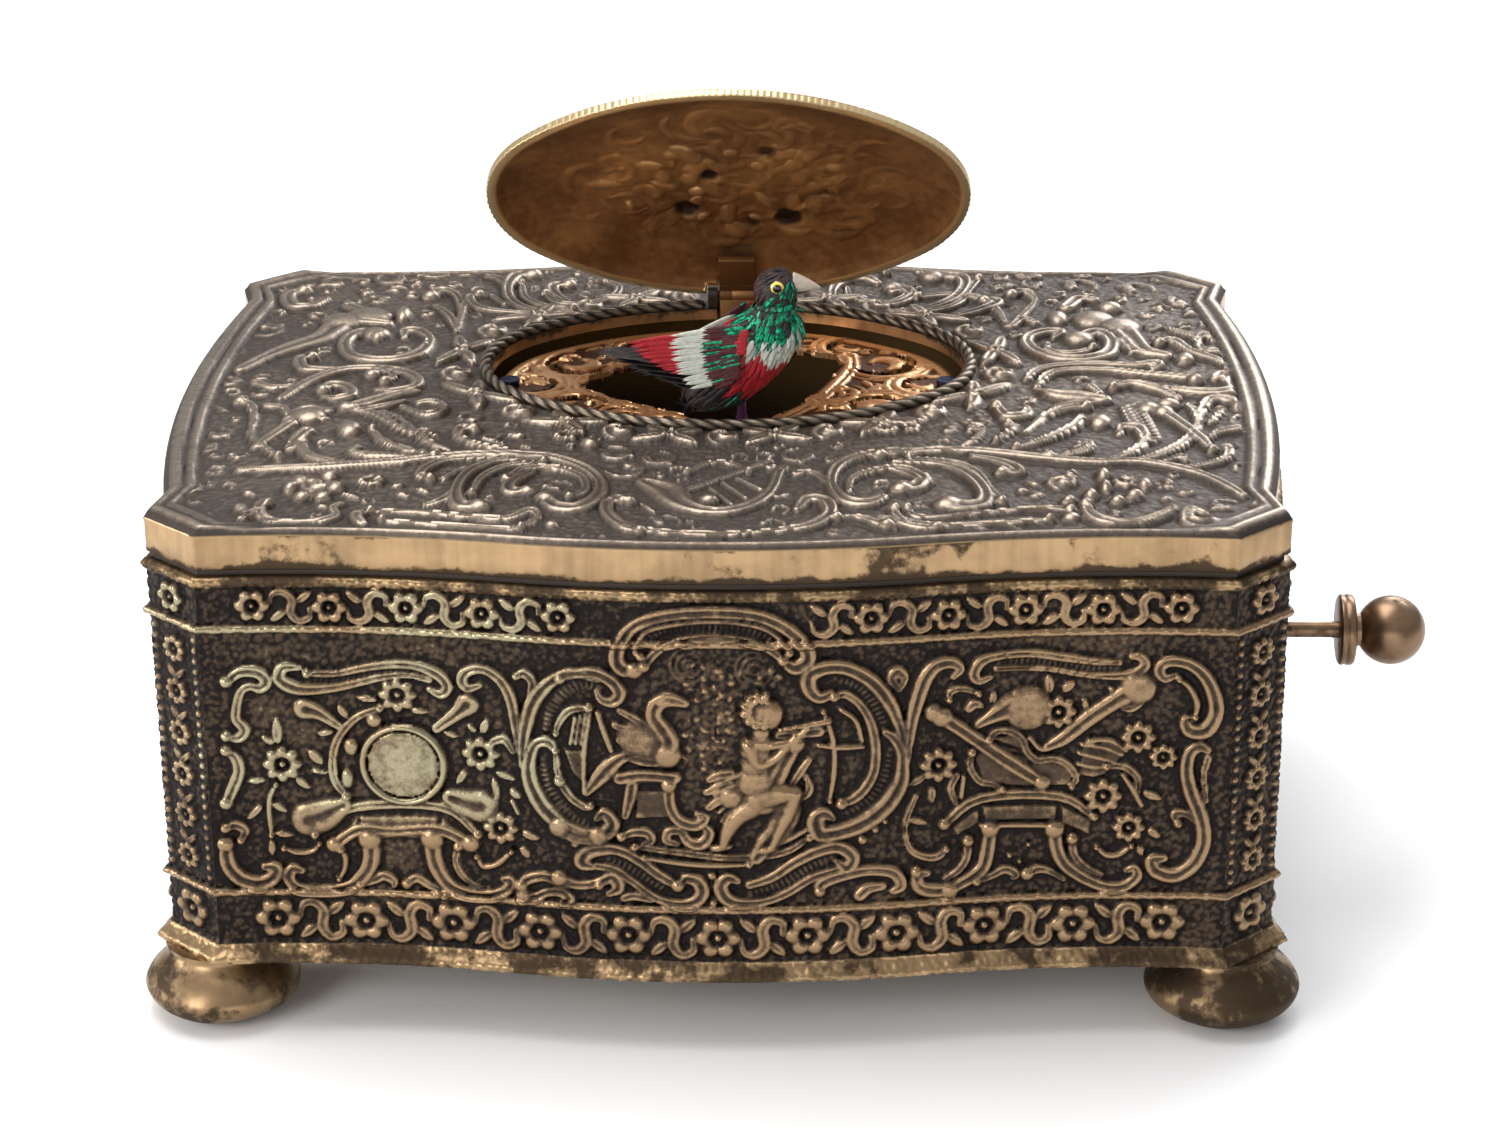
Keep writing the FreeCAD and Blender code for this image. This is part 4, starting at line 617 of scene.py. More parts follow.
    def outline_reach(self, turn: np.ndarray, grow: float = 0.0) -> np.ndarray:
        """Distance from the opening's centre to the case's outline at each angle.

        Args:
            turn: Angles in radians.
            grow: How far outside the plain outline it lies.

        Returns:
            The distances at those angles.
        """
        spans = self.case_spans(0.4)
        spots = np.vstack([span.spots + span.push * grow for span in spans.values()])
        spots = spots - np.array([0.0, self.oval_y])
        angle = np.arctan2(spots[:, 1], spots[:, 0])
        order = np.argsort(angle)
        angle, reach = angle[order], np.hypot(spots[:, 0], spots[:, 1])[order]
        wrapped = np.concatenate([angle - 2 * math.pi, angle, angle + 2 * math.pi])
        turn = (turn + math.pi) % (2 * math.pi) - math.pi
        return np.interp(turn, wrapped, np.tile(reach, 3))

    def hinge_turn(self) -> Matrix:
        """Rotation that carries the closed lid to its open place."""
        return Matrix.Rotation(math.radians(-self.lid_angle), 3, "X")

    def opened(self, net: np.ndarray) -> np.ndarray:
        """Turns closed-lid places about the hinge into their open places.

        Args:
            net: Array of places, in millimetres.

        Returns:
            The same places with the lid open.
        """
        turn = np.array(self.hinge_turn())
        centre = np.array([0.0, self.hinge[1], self.hinge[2]])
        return net @ turn.T + centre


BOX = Outline()


def arc_points(x: float, y: float, radius: float, turn: float, sweep: float, width: float,
               count: int = 14) -> list[Place]:
    """Rows of a curved stroke that swells in its middle.

    Args:
        x: First coordinate of its centre.
        y: Second coordinate of its centre.
        radius: Its radius.
        turn: Where it starts, in degrees.
        sweep: Its sweep in degrees.
        width: Its half width.
        count: How many pieces it has.

    Returns:
        Rows of (x, y, half width).
    """
    rows = []
    for step in range(count + 1):
        share = step / count
        angle = math.radians(turn + sweep * share)
        rows.append((x + radius * math.cos(angle), y + radius * math.sin(angle),
                     width * (0.35 + 0.65 * math.sin(math.pi * share))))
    return rows


# Meshes
def activate(obj: bpy.types.Object) -> None:
    """Makes one object the only selected and active one.

    Args:
        obj: The object.
    """
    bpy.ops.object.select_all(action="DESELECT")
    obj.select_set(True)
    bpy.context.view_layer.objects.active = obj


def net_mesh(name: str, spots: np.ndarray, values: dict[str, np.ndarray]) -> bpy.types.Object:
    """A grid set onto a net of places.

    Args:
        name: Name of the piece.
        spots: Array (columns, rows, 3) in millimetres.
        values: Arrays (columns, rows) to keep as point attributes.

    Returns:
        The new object, open at its edges.
    """
    columns, rows = spots.shape[:2]
    bpy.ops.mesh.primitive_grid_add(x_subdivisions=columns - 1, y_subdivisions=rows - 1)
    obj = bpy.context.object
    obj.name = obj.data.name = name
    data = obj.data
    flat = np.ascontiguousarray(spots.transpose(1, 0, 2).reshape(-1, 3) * MM, np.float32)
    data.vertices.foreach_set("co", flat.ravel())
    for key, value in values.items():
        layer = data.attributes.new(key, "FLOAT", "POINT")
        layer.data.foreach_set("value", value.T.astype(np.float32).ravel())
    while data.uv_layers:
        data.uv_layers.remove(data.uv_layers[0])
    return obj


def sheet(name: str, spots: np.ndarray, wrap: tuple[bool, bool] = (True, True),
          values: dict[str, np.ndarray] | None = None,
          sharp: float | None = None) -> bpy.types.Object:
    """A closed surface from a net of places.

    Args:
        name: Name of the piece.
        spots: Array (columns, rows, 3) in millimetres.
        wrap: Whether the columns, and the rows, join up.
        values: Arrays (columns, rows) to keep as point attributes.
        sharp: Angle in degrees above which edges stay sharp, or None.

    Returns:
        The new object, its open ends closed with faces.
    """
    values = dict(values or {})
    if wrap[0]:
        spots = np.concatenate([spots, spots[:1]], 0)
        values = {k: np.concatenate([v, v[:1]], 0) for k, v in values.items()}
    if wrap[1]:
        spots = np.concatenate([spots, spots[:, :1]], 1)
        values = {k: np.concatenate([v, v[:, :1]], 1) for k, v in values.items()}
    obj = net_mesh(name, spots, values)
    bpy.ops.object.mode_set(mode="EDIT")
    bpy.ops.mesh.select_all(action="SELECT")
    bpy.ops.mesh.remove_doubles(threshold=2e-7)
    if not all(wrap):
        bpy.ops.mesh.fill_holes(sides=0)
        bpy.ops.mesh.select_all(action="SELECT")
    bpy.ops.mesh.normals_make_consistent(inside=False)
    if sharp:
        bpy.ops.mesh.set_sharpness_by_angle(angle=math.radians(sharp))
    bpy.ops.object.mode_set(mode="OBJECT")
    bpy.ops.object.shade_smooth()
    return obj


def joined(name: str, parts: list[bpy.types.Object]) -> bpy.types.Object:
    """Joins objects into one named piece.

    Args:
        name: Name of the piece.
        parts: The objects to join.

    Returns:
        The joined piece.
    """
    bpy.ops.object.select_all(action="DESELECT")
    for part in parts:
        part.select_set(True)
    bpy.context.view_layer.objects.active = parts[0]
    if len(parts) > 1:
        bpy.ops.object.join()
    obj = bpy.context.object
    obj.name = obj.data.name = name
    return obj


def turned(name: str, profile: Rows, spot: Place, axis: str = "z", steps: int = 96,
           values: Callable | None = None, sharp: float | None = 35) -> bpy.types.Object:
    """A piece turned on a lathe.

    Args:
        name: Name of the piece.
        profile: Rows of (radius, height) from one end of the axis to the other.
        spot: Where the profile's zero height lies.
        axis: The axis of the lathe, "x" or "z".
        steps: Steps round the axis.
        values: Optional function of (angle, profile row) that adds to the radius.
        sharp: Angle above which edges stay sharp.

    Returns:
        The new object.
    """
    rows = np.array(profile, float)
    turn = np.linspace(0, 2 * math.pi, steps, endpoint=False)[:, None]
    radius = np.repeat(rows[None, :, 0], steps, 0)
    if values:
        radius = radius + values(turn, rows[None, :, :])
    a, b = radius * np.cos(turn), radius * np.sin(turn)
    h = np.repeat(rows[None, :, 1], steps, 0)
    net = np.stack([h, a, b] if axis == "x" else [a, b, h], -1) + np.array(spot, float)
    return sheet(name, net, (True, False), None, sharp)


# Tables of the chasing, read off the front and the cover in millimetres
FRONT_STROKES = (
    ((-38.9, 38, 0.24), (-40.3, 38, 0.42), (-40.8, 37, 0.5), (-39.9, 36.2, 0.59),
     (-38.4, 35.8, 0.49), (-35.7, 36, 0.37), (-33.2, 36.6, 0.31), (-31.1, 37.2, 0.31),
     (-28.7, 37.5, 0.27), (-26.7, 37.1, 0.27)),
    ((-38.2, 37.4, 0.27), (-35.6, 37.4, 0.27), (-33.1, 38, 0.31), (-30.4, 38.5, 0.34),
     (-28, 38.5, 0.37), (-26, 37.8, 0.45), (-25, 36.6, 0.42), (-25.6, 35.7, 0.38),
     (-26.7, 36.1, 0.23)),
    ((-22, 36.8, 0.22), (-23.1, 36.5, 0.38), (-23.6, 37.3, 0.43), (-23, 38.2, 0.42),
     (-21.5, 38.5, 0.37), (-19.9, 37.5, 0.42), (-19, 35.7, 0.45), (-18.7, 33.6, 0.39),
     (-18.4, 31.1, 0.3), (-17.9, 28.9, 0.24)),
    ((-18.4, 38.1, 0.24), (-17.6, 38.4, 0.4), (-16.9, 37.6, 0.37), (-17.2, 36.1, 0.24),
     (-17.7, 34.6, 0.16), (-17.9, 32.4, 0.16)),
    ((-10.8, 38.3, 0.32), (-13.2, 38.8, 0.43), (-15.2, 37.7, 0.5), (-16.8, 35.7, 0.57),
     (-17.6, 33.2, 0.51), (-18, 30.9, 0.38), (-18.1, 28.9, 0.27)),
    ((-15, 30.8, 0.29), (-15.6, 31.6, 0.45), (-16.7, 31.3, 0.41), (-17.3, 30, 0.44),
     (-17.5, 28, 0.58), (-16.7, 25.6, 0.69), (-15.2, 23.7, 0.71), (-13.2, 22.4, 0.66),
     (-11.1, 22.1, 0.61)),
    ((-11.7, 35.3, 0.27), (-13.5, 34.9, 0.3), (-14.6, 33.4, 0.24), (-14.8, 32.5, 0.18)),
    ((-14.9, 30.7, 0.2), (-14.8, 28.7, 0.26), (-14, 26.5, 0.27), (-12.4, 25, 0.28),
     (-11.9, 25.1, 0.22)),
    ((-41.7, 25.9, 0.16), (-42.4, 24.4, 0.2), (-42.5, 22.4, 0.2), (-42.4, 20.6, 0.16)),
    ((-41.3, 19.2, 0.18), (-40, 18.7, 0.23), (-38.6, 18.9, 0.22), (-37.9, 19.7, 0.16)),
    ((-19.2, 25.1, 0.17), (-18.7, 23.9, 0.16)),
    ((-22.8, 19, 0.18), (-22.2, 18, 0.26), (-20.8, 18.4, 0.24), (-19.4, 19.8, 0.16)),
    ((-31.5, 34, 0.24), (-33.8, 32.9, 0.28), (-35.5, 30.9, 0.31), (-36.2, 28.7, 0.31),
     (-36.1, 26.4, 0.33), (-35.1, 24.7, 0.27)),
    ((-38.5, 33.8, 0.85), (-37.3, 33.4, 0.55), (-35.4, 32, 0.32)),
    ((-23.2, 34.8, 0.85), (-24.1, 33.9, 0.55), (-26.2, 32.1, 0.34)),
    ((-35.4, 23.8, 0.63), (-37.3, 22.7, 1.17), (-38.7, 22.2, 1.28)),
    ((-25.1, 25.1, 0.67), (-23.5, 24.5, 1.08), (-22.3, 24.3, 1.28)),
    ((-38.3, 20.6, 0.24), (-34.7, 23.5, 0.37), (-26.1, 24, 0.38), (-22.6, 21.3, 0.26)),
    ((-33.1, 20.2, 0.64), (-33, 18.4, 0.64), (-33.5, 16.9, 0.59), (-34.7, 15.5, 0.53),
     (-36.3, 14.9, 0.48), (-38.4, 14.7, 0.44), (-40.2, 15, 0.46), (-41, 16, 0.49),
     (-40.6, 17, 0.46), (-39.8, 16.8, 0.31)),
    ((-27.1, 20.5, 0.65), (-27, 18.7, 0.62), (-26.6, 17.2, 0.62), (-25.5, 15.7, 0.57),
     (-23.7, 15, 0.5), (-21.6, 15, 0.46), (-20, 15.7, 0.47), (-19.6, 16.7, 0.42),
     (-20.3, 16.7, 0.26)),
    ((-35.9, 19.1, 0.26), (-35.5, 18.1, 0.23), (-35.7, 16.8, 0.18), (-36.2, 16, 0.16)),
    ((-24.6, 19.9, 0.29), (-24.9, 18.3, 0.28), (-24.3, 16.8, 0.26), (-22.9, 15.8, 0.21),
     (-21.8, 15.7, 0.16)),
    ((-34.2, 15.4, 0.25), (-32.8, 15.9, 0.32), (-31.9, 16.4, 0.39), (-31, 15.9, 0.35),
     (-31, 15.3, 0.18)),
    ((-29.7, 15.7, 0.32), (-28.7, 16.3, 0.36), (-27.5, 15.6, 0.34), (-26, 14.9, 0.24)),
    ((-45.7, 36.6, 0.35), (-44.3, 37.6, 0.43), (-42.7, 37.5, 0.49), (-42, 36.6, 0.47),
     (-42.6, 35.9, 0.41), (-43.5, 36.1, 0.32), (-44.4, 35.6, 0.29), (-44.9, 34.1, 0.33),
     (-45, 32.7, 0.36), (-44.3, 31.7, 0.45), (-44.9, 30.8, 0.39), (-46, 31, 0.3)),
    ((-46.1, 29.5, 0.32), (-45.3, 28.7, 0.4), (-45.1, 27.2, 0.42), (-45.9, 25.2, 0.43),
     (-46.4, 24, 0.36)),
    ((-46.6, 21.4, 0.28), (-45.7, 21.7, 0.38), (-44.9, 21.1, 0.35), (-45.3, 20.1, 0.23)),
    ((-46.7, 19.7, 0.45), (-46.6, 17.6, 0.56), (-45.6, 16.1, 0.65), (-44, 15.5, 0.67),
     (-42.6, 16, 0.6), (-42.2, 17.1, 0.51), (-43.2, 17.2, 0.33)),
    ((-18.6, 16.3, 0.41), (-17.8, 17.1, 0.46), (-16.2, 17.5, 0.44), (-14.9, 16.9, 0.39),
     (-12.6, 16.8, 0.33), (-11.1, 16.9, 0.28)),
    ((-18.4, 15.3, 0.47), (-17.2, 15.2, 0.43), (-16.1, 15.8, 0.38), (-14.7, 15.9, 0.44),
     (-14, 15.2, 0.44), (-14.7, 14.9, 0.25)),
    ((-12.5, 19.6, 0.27), (-12.3, 20.5, 0.33), (-11.2, 20.7, 0.4)),
    ((-36.5, 19.6, 0.48), (-33.9, 21.3, 0.45), (-30.7, 21.2, 0.41), (-26.4, 21.6, 0.46),
     (-23.4, 20.3, 0.52)),
    ((-20.8, 31.2, 0.29), (-19.7, 31.5, 0.38), (-19, 30.3, 0.22)),
    ((-7.4, 39.3, 0.5), (-8.4, 39.4, 0.63), (-9, 40.3, 0.61), (-8.7, 41.7, 0.55),
     (-7.3, 43.7, 0.5), (-4.5, 44.8, 0.47), (-0.5, 45.2, 0.47), (3.6, 44.9, 0.47),
     (6.3, 43.7, 0.51), (8, 42, 0.56), (8.5, 40.5, 0.6), (7.4, 39.6, 0.6), (6.2, 40.3, 0.34)),
    ((-6.5, 39.7, 0.35), (-5.5, 41, 0.33), (-3.9, 42.1, 0.32), (-0.5, 42.7, 0.32),
     (3.1, 42.3, 0.32), (5.2, 41.3, 0.32), (6.2, 40.3, 0.31)),
    ((-6.8, 40.7, 0.27), (-7.3, 41.1, 0.26), (-7, 42.2, 0.23), (-5.5, 43.5, 0.22),
     (-0.5, 44.3, 0.22), (4.1, 43.7, 0.22), (6.4, 42, 0.21), (6.8, 41.1, 0.25)),
    ((10.6, 36.8, 0.35), (9.5, 36.5, 0.47), (8.6, 37.5, 0.57), (8.7, 38.8, 0.63),
     (10.2, 39.5, 0.55), (12.2, 39.3, 0.54), (14.3, 38, 0.57), (15.9, 35.9, 0.55),
     (16.8, 33.8, 0.43), (17.4, 31.7, 0.3), (17.6, 29.6, 0.23)),
    ((10.9, 36.5, 0.28), (12, 36.7, 0.32), (13.4, 35.5, 0.33), (14.4, 33.4, 0.36),
     (14.8, 30.8, 0.37), (14.5, 28.3, 0.39), (13.2, 26.3, 0.41), (11.6, 25.5, 0.34)),
    ((15.7, 32.6, 0.27), (16.4, 32.1, 0.37), (17.1, 30.9, 0.41), (17.3, 29.4, 0.46),
     (17.1, 27.3, 0.63), (15.8, 25.1, 0.71), (13.7, 23.4, 0.73), (11.4, 22.6, 0.68),
     (9.7, 22.5, 0.73), (9.2, 23.9, 0.66), (10, 24.6, 0.52), (10.8, 24, 0.25)),
    ((-14.7, 22.8, 0.64), (-13.3, 22, 0.64), (-11.7, 21.9, 0.65), (-10.3, 22.5, 0.64),
     (-9.7, 23.5, 0.57), (-10.5, 24.5, 0.45), (-11.2, 23.8, 0.24)),
    ((-14.3, 38.1, 0.32), (-12.9, 38.7, 0.4), (-11.1, 38.9, 0.46), (-9.5, 38.1, 0.5),
     (-8.8, 36.9, 0.51), (-9.4, 36, 0.44), (-10.5, 36.2, 0.33), (-10.9, 37, 0.19)),
    ((-2.8, 36, 0.3), (-4.2, 36.4, 0.56), (-5.3, 35.9, 0.59), (-5.7, 34.7, 0.58),
     (-5, 33.5, 0.65), (-4.3, 32.2, 0.68), (-4.5, 30.7, 0.74)),
    ((-8.8, 35.1, 0.25), (-6.8, 33.9, 0.33), (-5.4, 32.2, 0.3)),
    ((-9.3, 33.6, 0.26), (-7.5, 32.9, 0.33), (-5.7, 31.4, 0.3)),
    ((-8.9, 32.1, 0.28), (-7.5, 31.4, 0.36), (-5.9, 30.5, 0.31)),
    ((-8.5, 30.6, 0.31), (-6.9, 30.1, 0.41), (-5, 29.9, 0.36)),
    ((-11.5, 35, 0.16), (-12.2, 30.9, 0.21), (-12.3, 26.5, 0.21)),
    ((-10.9, 34.8, 0.22), (-10.3, 32.8, 0.24), (-9.7, 31, 0.22)),
    ((-12.1, 26.5, 0.28), (-10.4, 28.7, 0.66), (-8.9, 30.2, 0.49), (-7.3, 30.8, 0.23)),
    ((-13, 34.2, 0.16), (-13.5, 31.5, 0.16)),
    ((-12.5, 34.4, 0.16), (-13, 31.5, 0.16)),
    ((-12, 34.7, 0.16), (-12.5, 31.5, 0.16)),
    ((-14.6, 27.6, 0.33), (-13.5, 25.9, 0.34), (-12.1, 25, 0.34), (-11.7, 25.2, 0.22)),
    ((-8.9, 28.2, 0.51), (-6.7, 28.6, 0.46), (-3.8, 28.4, 0.46)),
    ((-7.8, 27.5, 0.46), (-8.1, 25.9, 0.42), (-8.5, 24.3, 0.3)),
    ((-4.4, 27.6, 0.44), (-4.3, 25.5, 0.43), (-3.5, 24, 0.46), (-1.9, 23.5, 0.47),
     (-1, 24.3, 0.32), (-1.8, 24.6, 0.21)),
    ((-8.9, 22.1, 0.28), (-7.7, 22.6, 0.36), (-6.5, 22.6, 0.42), (-6.1, 21.8, 0.32),
     (-6.8, 21.4, 0.2)),
    ((-3.7, 21.5, 0.23), (-4.7, 21.9, 0.34), (-4.4, 22.8, 0.35), (-3.3, 22.8, 0.36),
     (-2.6, 21.8, 0.46), (-1.4, 21.6, 0.51), (-0.7, 22.7, 0.42), (-1.3, 23.5, 0.25)),
    ((5.8, 32.7, 0.28), (7.7, 32.9, 0.36), (9.5, 33.1, 0.46)),
    ((3.2, 31.2, 0.56), (3.7, 29.2, 0.58), (5.3, 28.1, 0.67), (6.3, 29.9, 0.62), (7.3, 31.8, 0.53)),
    ((1.4, 26.4, 0.67), (4, 27.1, 0.88), (6, 26.6, 0.99), (6.6, 25, 0.97), (5.8, 22.9, 0.92),
     (4.6, 21.5, 0.79), (3.7, 20.1, 0.54)),
    ((2.1, 27.1, 0.31), (4, 27.8, 0.36), (6, 27.6, 0.31)),
    ((3, 26.1, 0.26), (4.6, 26.3, 0.31), (6.3, 26.1, 0.23)),
    ((-0.6, 28.2, 0.25), (0.3, 28.7, 0.36), (1.4, 28.9, 0.31)),
    ((-0.9, 26.9, 0.25), (0.3, 27.4, 0.36), (1.4, 27.8, 0.31)),
    ((-0.7, 25.3, 0.25), (0.3, 26.1, 0.35), (1.4, 26.6, 0.3)),
    ((-7.7, 21.1, 0.24), (-3.1, 20.6, 0.31), (1.6, 20.1, 0.31), (6.2, 20.6, 0.31),
     (8.6, 22.1, 0.23)),
    ((-6.8, 20, 0.21), (-3.5, 19.5, 0.26), (-0.3, 19.3, 0.26), (3, 19.4, 0.21)),
    ((5.3, 21.3, 0.21), (6.9, 22.1, 0.26), (8.3, 22.9, 0.21)),
    ((-11.8, 18.8, 0.32), (-12.7, 19.2, 0.59), (-12.2, 20.2, 0.59), (-10.8, 20.7, 0.52),
     (-9.2, 20.7, 0.45), (-7.3, 19.7, 0.44), (-5.4, 18.2, 0.44), (-3.7, 17.1, 0.37)),
    ((-11.3, 18.9, 0.32), (-9.6, 18.6, 0.35), (-7.8, 17.3, 0.34), (-5.9, 15.8, 0.34),
     (-3.8, 15.2, 0.4), (-2.2, 15.4, 0.52), (-1.4, 16.4, 0.56), (-1.8, 17.6, 0.56),
     (-2.9, 17.9, 0.42), (-3.2, 17.2, 0.21)),
    ((1.9, 17.6, 0.26), (1, 18, 0.47), (0.3, 17, 0.56), (0.9, 15.8, 0.56), (2.3, 15.3, 0.42),
     (4.6, 15.5, 0.34), (6.7, 16.4, 0.34), (9, 17.9, 0.34), (11.3, 18.6, 0.32)),
    ((3, 17.2, 0.31), (5.1, 18, 0.39), (7.2, 19.5, 0.44), (9.5, 20.7, 0.5), (11.4, 21, 0.54),
     (12.7, 19.9, 0.54), (12.2, 18.8, 0.5), (11.2, 19.5, 0.25)),
    ((-8.8, 15.6, 0.29), (-7.8, 15.9, 0.37), (-6.2, 15.5, 0.24)),
    ((-14.9, 17.4, 0.49), (-13, 16.8, 0.4), (-11.1, 17.2, 0.39), (-9.8, 17.8, 0.51),
     (-9.3, 16.7, 0.49), (-10.2, 16, 0.27)),
    ((9.6, 16.4, 0.33), (9.7, 17.1, 0.48), (10.7, 17.7, 0.5), (12.3, 18.1, 0.45),
     (14.2, 18.4, 0.45), (16.5, 18, 0.48), (17.3, 16.6, 0.44), (16.6, 16, 0.29)),
    ((13.4, 15.8, 0.47), (14.2, 16.5, 0.45), (15.5, 16.6, 0.32)),
    ((18.7, 17.9, 0.35), (18.8, 16.6, 0.47), (19.8, 15.9, 0.57), (21.9, 15.7, 0.53)),
    ((16.9, 36.9, 0.21), (16.2, 38.1, 0.39), (16.8, 38.8, 0.45), (17.4, 38, 0.32),
     (16.9, 36.8, 0.17)),
    ((9.9, 35.1, 0.18), (10.4, 33.6, 0.21), (10.9, 31.5, 0.21), (10.9, 28.5, 0.21),
     (10.5, 25.9, 0.16)),
    ((9.5, 31.6, 0.18), (11.6, 31.3, 0.23), (13.6, 31.3, 0.18)),
    ((11.6, 35.1, 0.17), (12.9, 34, 0.21), (13.5, 31.9, 0.16)),
    ((8.6, 30.1, 0.22), (7.7, 28.8, 0.29), (7, 27.6, 0.22)),
    ((8.3, 28.6, 0.18), (8.6, 27, 0.33), (7.6, 26, 0.25)),
    ((22, 37.8, 0.2), (22.6, 38.6, 0.34), (21.9, 39.3, 0.45), (20.5, 39.2, 0.53),
     (19.4, 38, 0.58), (18.7, 36, 0.56), (18.2, 33.9, 0.47), (17.9, 31.2, 0.31),
     (17.7, 28.6, 0.21)),
    ((25.4, 37.6, 0.22), (24.4, 37.3, 0.33), (23.9, 38, 0.41), (24.5, 39.2, 0.42),
     (25.9, 39.7, 0.33), (28.9, 39.9, 0.33), (32.1, 39.4, 0.33), (35, 38.9, 0.28),
     (37.4, 38.7, 0.2)),
    ((26, 38.4, 0.22), (28.2, 38.4, 0.22), (31, 38.2, 0.22), (34, 37.6, 0.24),
     (36.6, 37.4, 0.31), (38.6, 37.6, 0.38), (39.8, 38.5, 0.39), (39.3, 39.3, 0.32),
     (38.5, 39.3, 0.18)),
    ((42.6, 37.5, 0.24), (41.6, 37.2, 0.37), (41.1, 38.1, 0.44), (41.9, 38.9, 0.44),
     (43.7, 38.7, 0.45), (45.2, 37.6, 0.5), (46.1, 35.8, 0.52), (46.4, 33.8, 0.54),
     (45.6, 32, 0.63), (44.2, 31.9, 0.59), (43.7, 32.9, 0.39), (44.6, 33.1, 0.18)),
    ((43, 37.1, 0.19), (44, 36.2, 0.23), (44.7, 34.7, 0.26), (44.6, 33.3, 0.18)),
    ((45.8, 29.9, 0.3), (45.1, 30.3, 0.45), (44.2, 29.5, 0.48), (44, 27.7, 0.5),
     (44.5, 25.5, 0.55), (45.4, 23.2, 0.53), (45.8, 21.4, 0.53), (45.7, 19.6, 0.54),
     (44.8, 17.7, 0.59), (43.2, 16.7, 0.62), (41.5, 17.2, 0.6), (41.1, 18.3, 0.49),
     (42.2, 18.5, 0.32)),
    ((43.4, 22.2, 0.26), (43.1, 23.2, 0.35), (44.2, 23.2, 0.31), (45.3, 22.1, 0.19)),
    ((45.9, 29.1, 0.28), (45.6, 27.3, 0.26), (45.9, 24.6, 0.2)),
    ((35.8, 19.7, 0.16), (36.8, 18.8, 0.25), (38, 18.9, 0.25), (39.1, 19.8, 0.16)),
    ((18.6, 25.8, 0.19), (17.7, 23.4, 0.23), (17.7, 21.5, 0.2), (18.3, 20.1, 0.25),
     (19.6, 19.4, 0.32), (20.8, 19.4, 0.33), (21.5, 20.1, 0.23)),
    ((21.6, 35.6, 0.21), (21.8, 36.4, 0.27), (23, 36.6, 0.29), (24.4, 36, 0.19)),
    ((23.5, 34.5, 0.31), (24, 35, 0.38), (24.7, 34.7, 0.17)),
    ((24.4, 32.8, 0.29), (26, 33.8, 0.63), (27.6, 34.5, 1.03), (29, 34.3, 1.28)),
    ((21, 33.8, 0.58), (23.1, 32.2, 0.54), (26.1, 29.8, 0.59), (28.4, 28.1, 0.62),
     (30.5, 26.6, 0.47)),
    ((25.4, 31.2, 0.22), (26.1, 32, 0.27), (27.3, 32, 0.31), (28.5, 31.2, 0.29),
     (29, 29.9, 0.29), (30, 28.9, 0.31), (31.4, 29, 0.31), (32.8, 28.4, 0.3), (33.7, 27, 0.28),
     (33.3, 26.1, 0.19)),
    ((23.8, 30, 0.27), (23.7, 28.5, 0.28), (24.6, 27, 0.29), (25.8, 26.6, 0.26), (26.8, 26, 0.2)),
    ((39.2, 36.2, 0.96), (37.3, 35, 0.68), (34.7, 33.1, 0.64), (32.4, 31.1, 0.56),
     (31, 30.3, 0.31)),
    ((29.3, 31.2, 0.19), (30.4, 30, 0.22), (32, 30.4, 0.2)),
    ((37.9, 34.1, 0.22), (38.7, 34.1, 0.31), (39.7, 34.8, 0.22)),
    ((34.2, 30.4, 0.2), (36.2, 30.1, 0.24), (37.9, 29.3, 0.16)),
    ((34, 29.5, 0.2), (35.9, 29, 0.24), (37.3, 28.5, 0.16)),
    ((33.9, 28.4, 0.2), (35.3, 28.1, 0.25), (36.5, 28.1, 0.16)),
    ((34.8, 30.8, 0.18), (36.8, 30.8, 0.22), (38.3, 29.7, 0.16)),
    ((21.3, 22.7, 0.34), (24.8, 25.2, 0.41), (32.1, 25.1, 0.4), (35.5, 22.9, 0.26)),
    ((24.9, 22.3, 0.23), (28.5, 22.2, 0.25), (32.2, 22, 0.23)),
    ((25.7, 21.9, 0.52), (25.5, 19.8, 0.56), (25.1, 18, 0.55), (23.9, 16.9, 0.53),
     (21.9, 15.9, 0.47), (20.2, 15.8, 0.46), (19, 16.6, 0.45), (18.8, 17.7, 0.45),
     (19.8, 17.6, 0.25)),
    ((23.6, 20.8, 0.35), (23.5, 19, 0.32), (22.7, 17.7, 0.3), (21.5, 16.9, 0.19)),
    ((31.8, 21.6, 0.55), (32.1, 19.5, 0.51), (32.9, 17.9, 0.53), (34.6, 16.5, 0.49),
     (36.7, 15.5, 0.46), (38.5, 15.5, 0.46), (39.7, 16.5, 0.43), (39.5, 17.4, 0.33),
     (38.7, 17.1, 0.18)),
    ((33.5, 20.6, 0.35), (33.7, 19, 0.31), (34.8, 17.6, 0.28), (36.4, 16.7, 0.18)),
    ((24.5, 16.4, 0.23), (26, 17, 0.3), (27.2, 17.6, 0.37), (28.2, 17.1, 0.38), (28, 16.6, 0.19)),
    ((29.3, 17, 0.39), (30.3, 17.5, 0.37), (31.5, 17.2, 0.29), (32.8, 16.3, 0.2)),
    ((22.4, 27.7, 0.28), (21.9, 26.4, 0.29), (22.4, 24.8, 0.2)),
    ((23.1, 27.5, 0.19), (22.9, 25.4, 0.19)),
    ((36.5, 28.1, 0.23), (38.1, 28.1, 0.31), (39.4, 27, 0.29), (39.6, 25.4, 0.18)),
    ((38.1, 27.2, 0.19), (39, 25.8, 0.25), (39.9, 24, 0.18)),
)
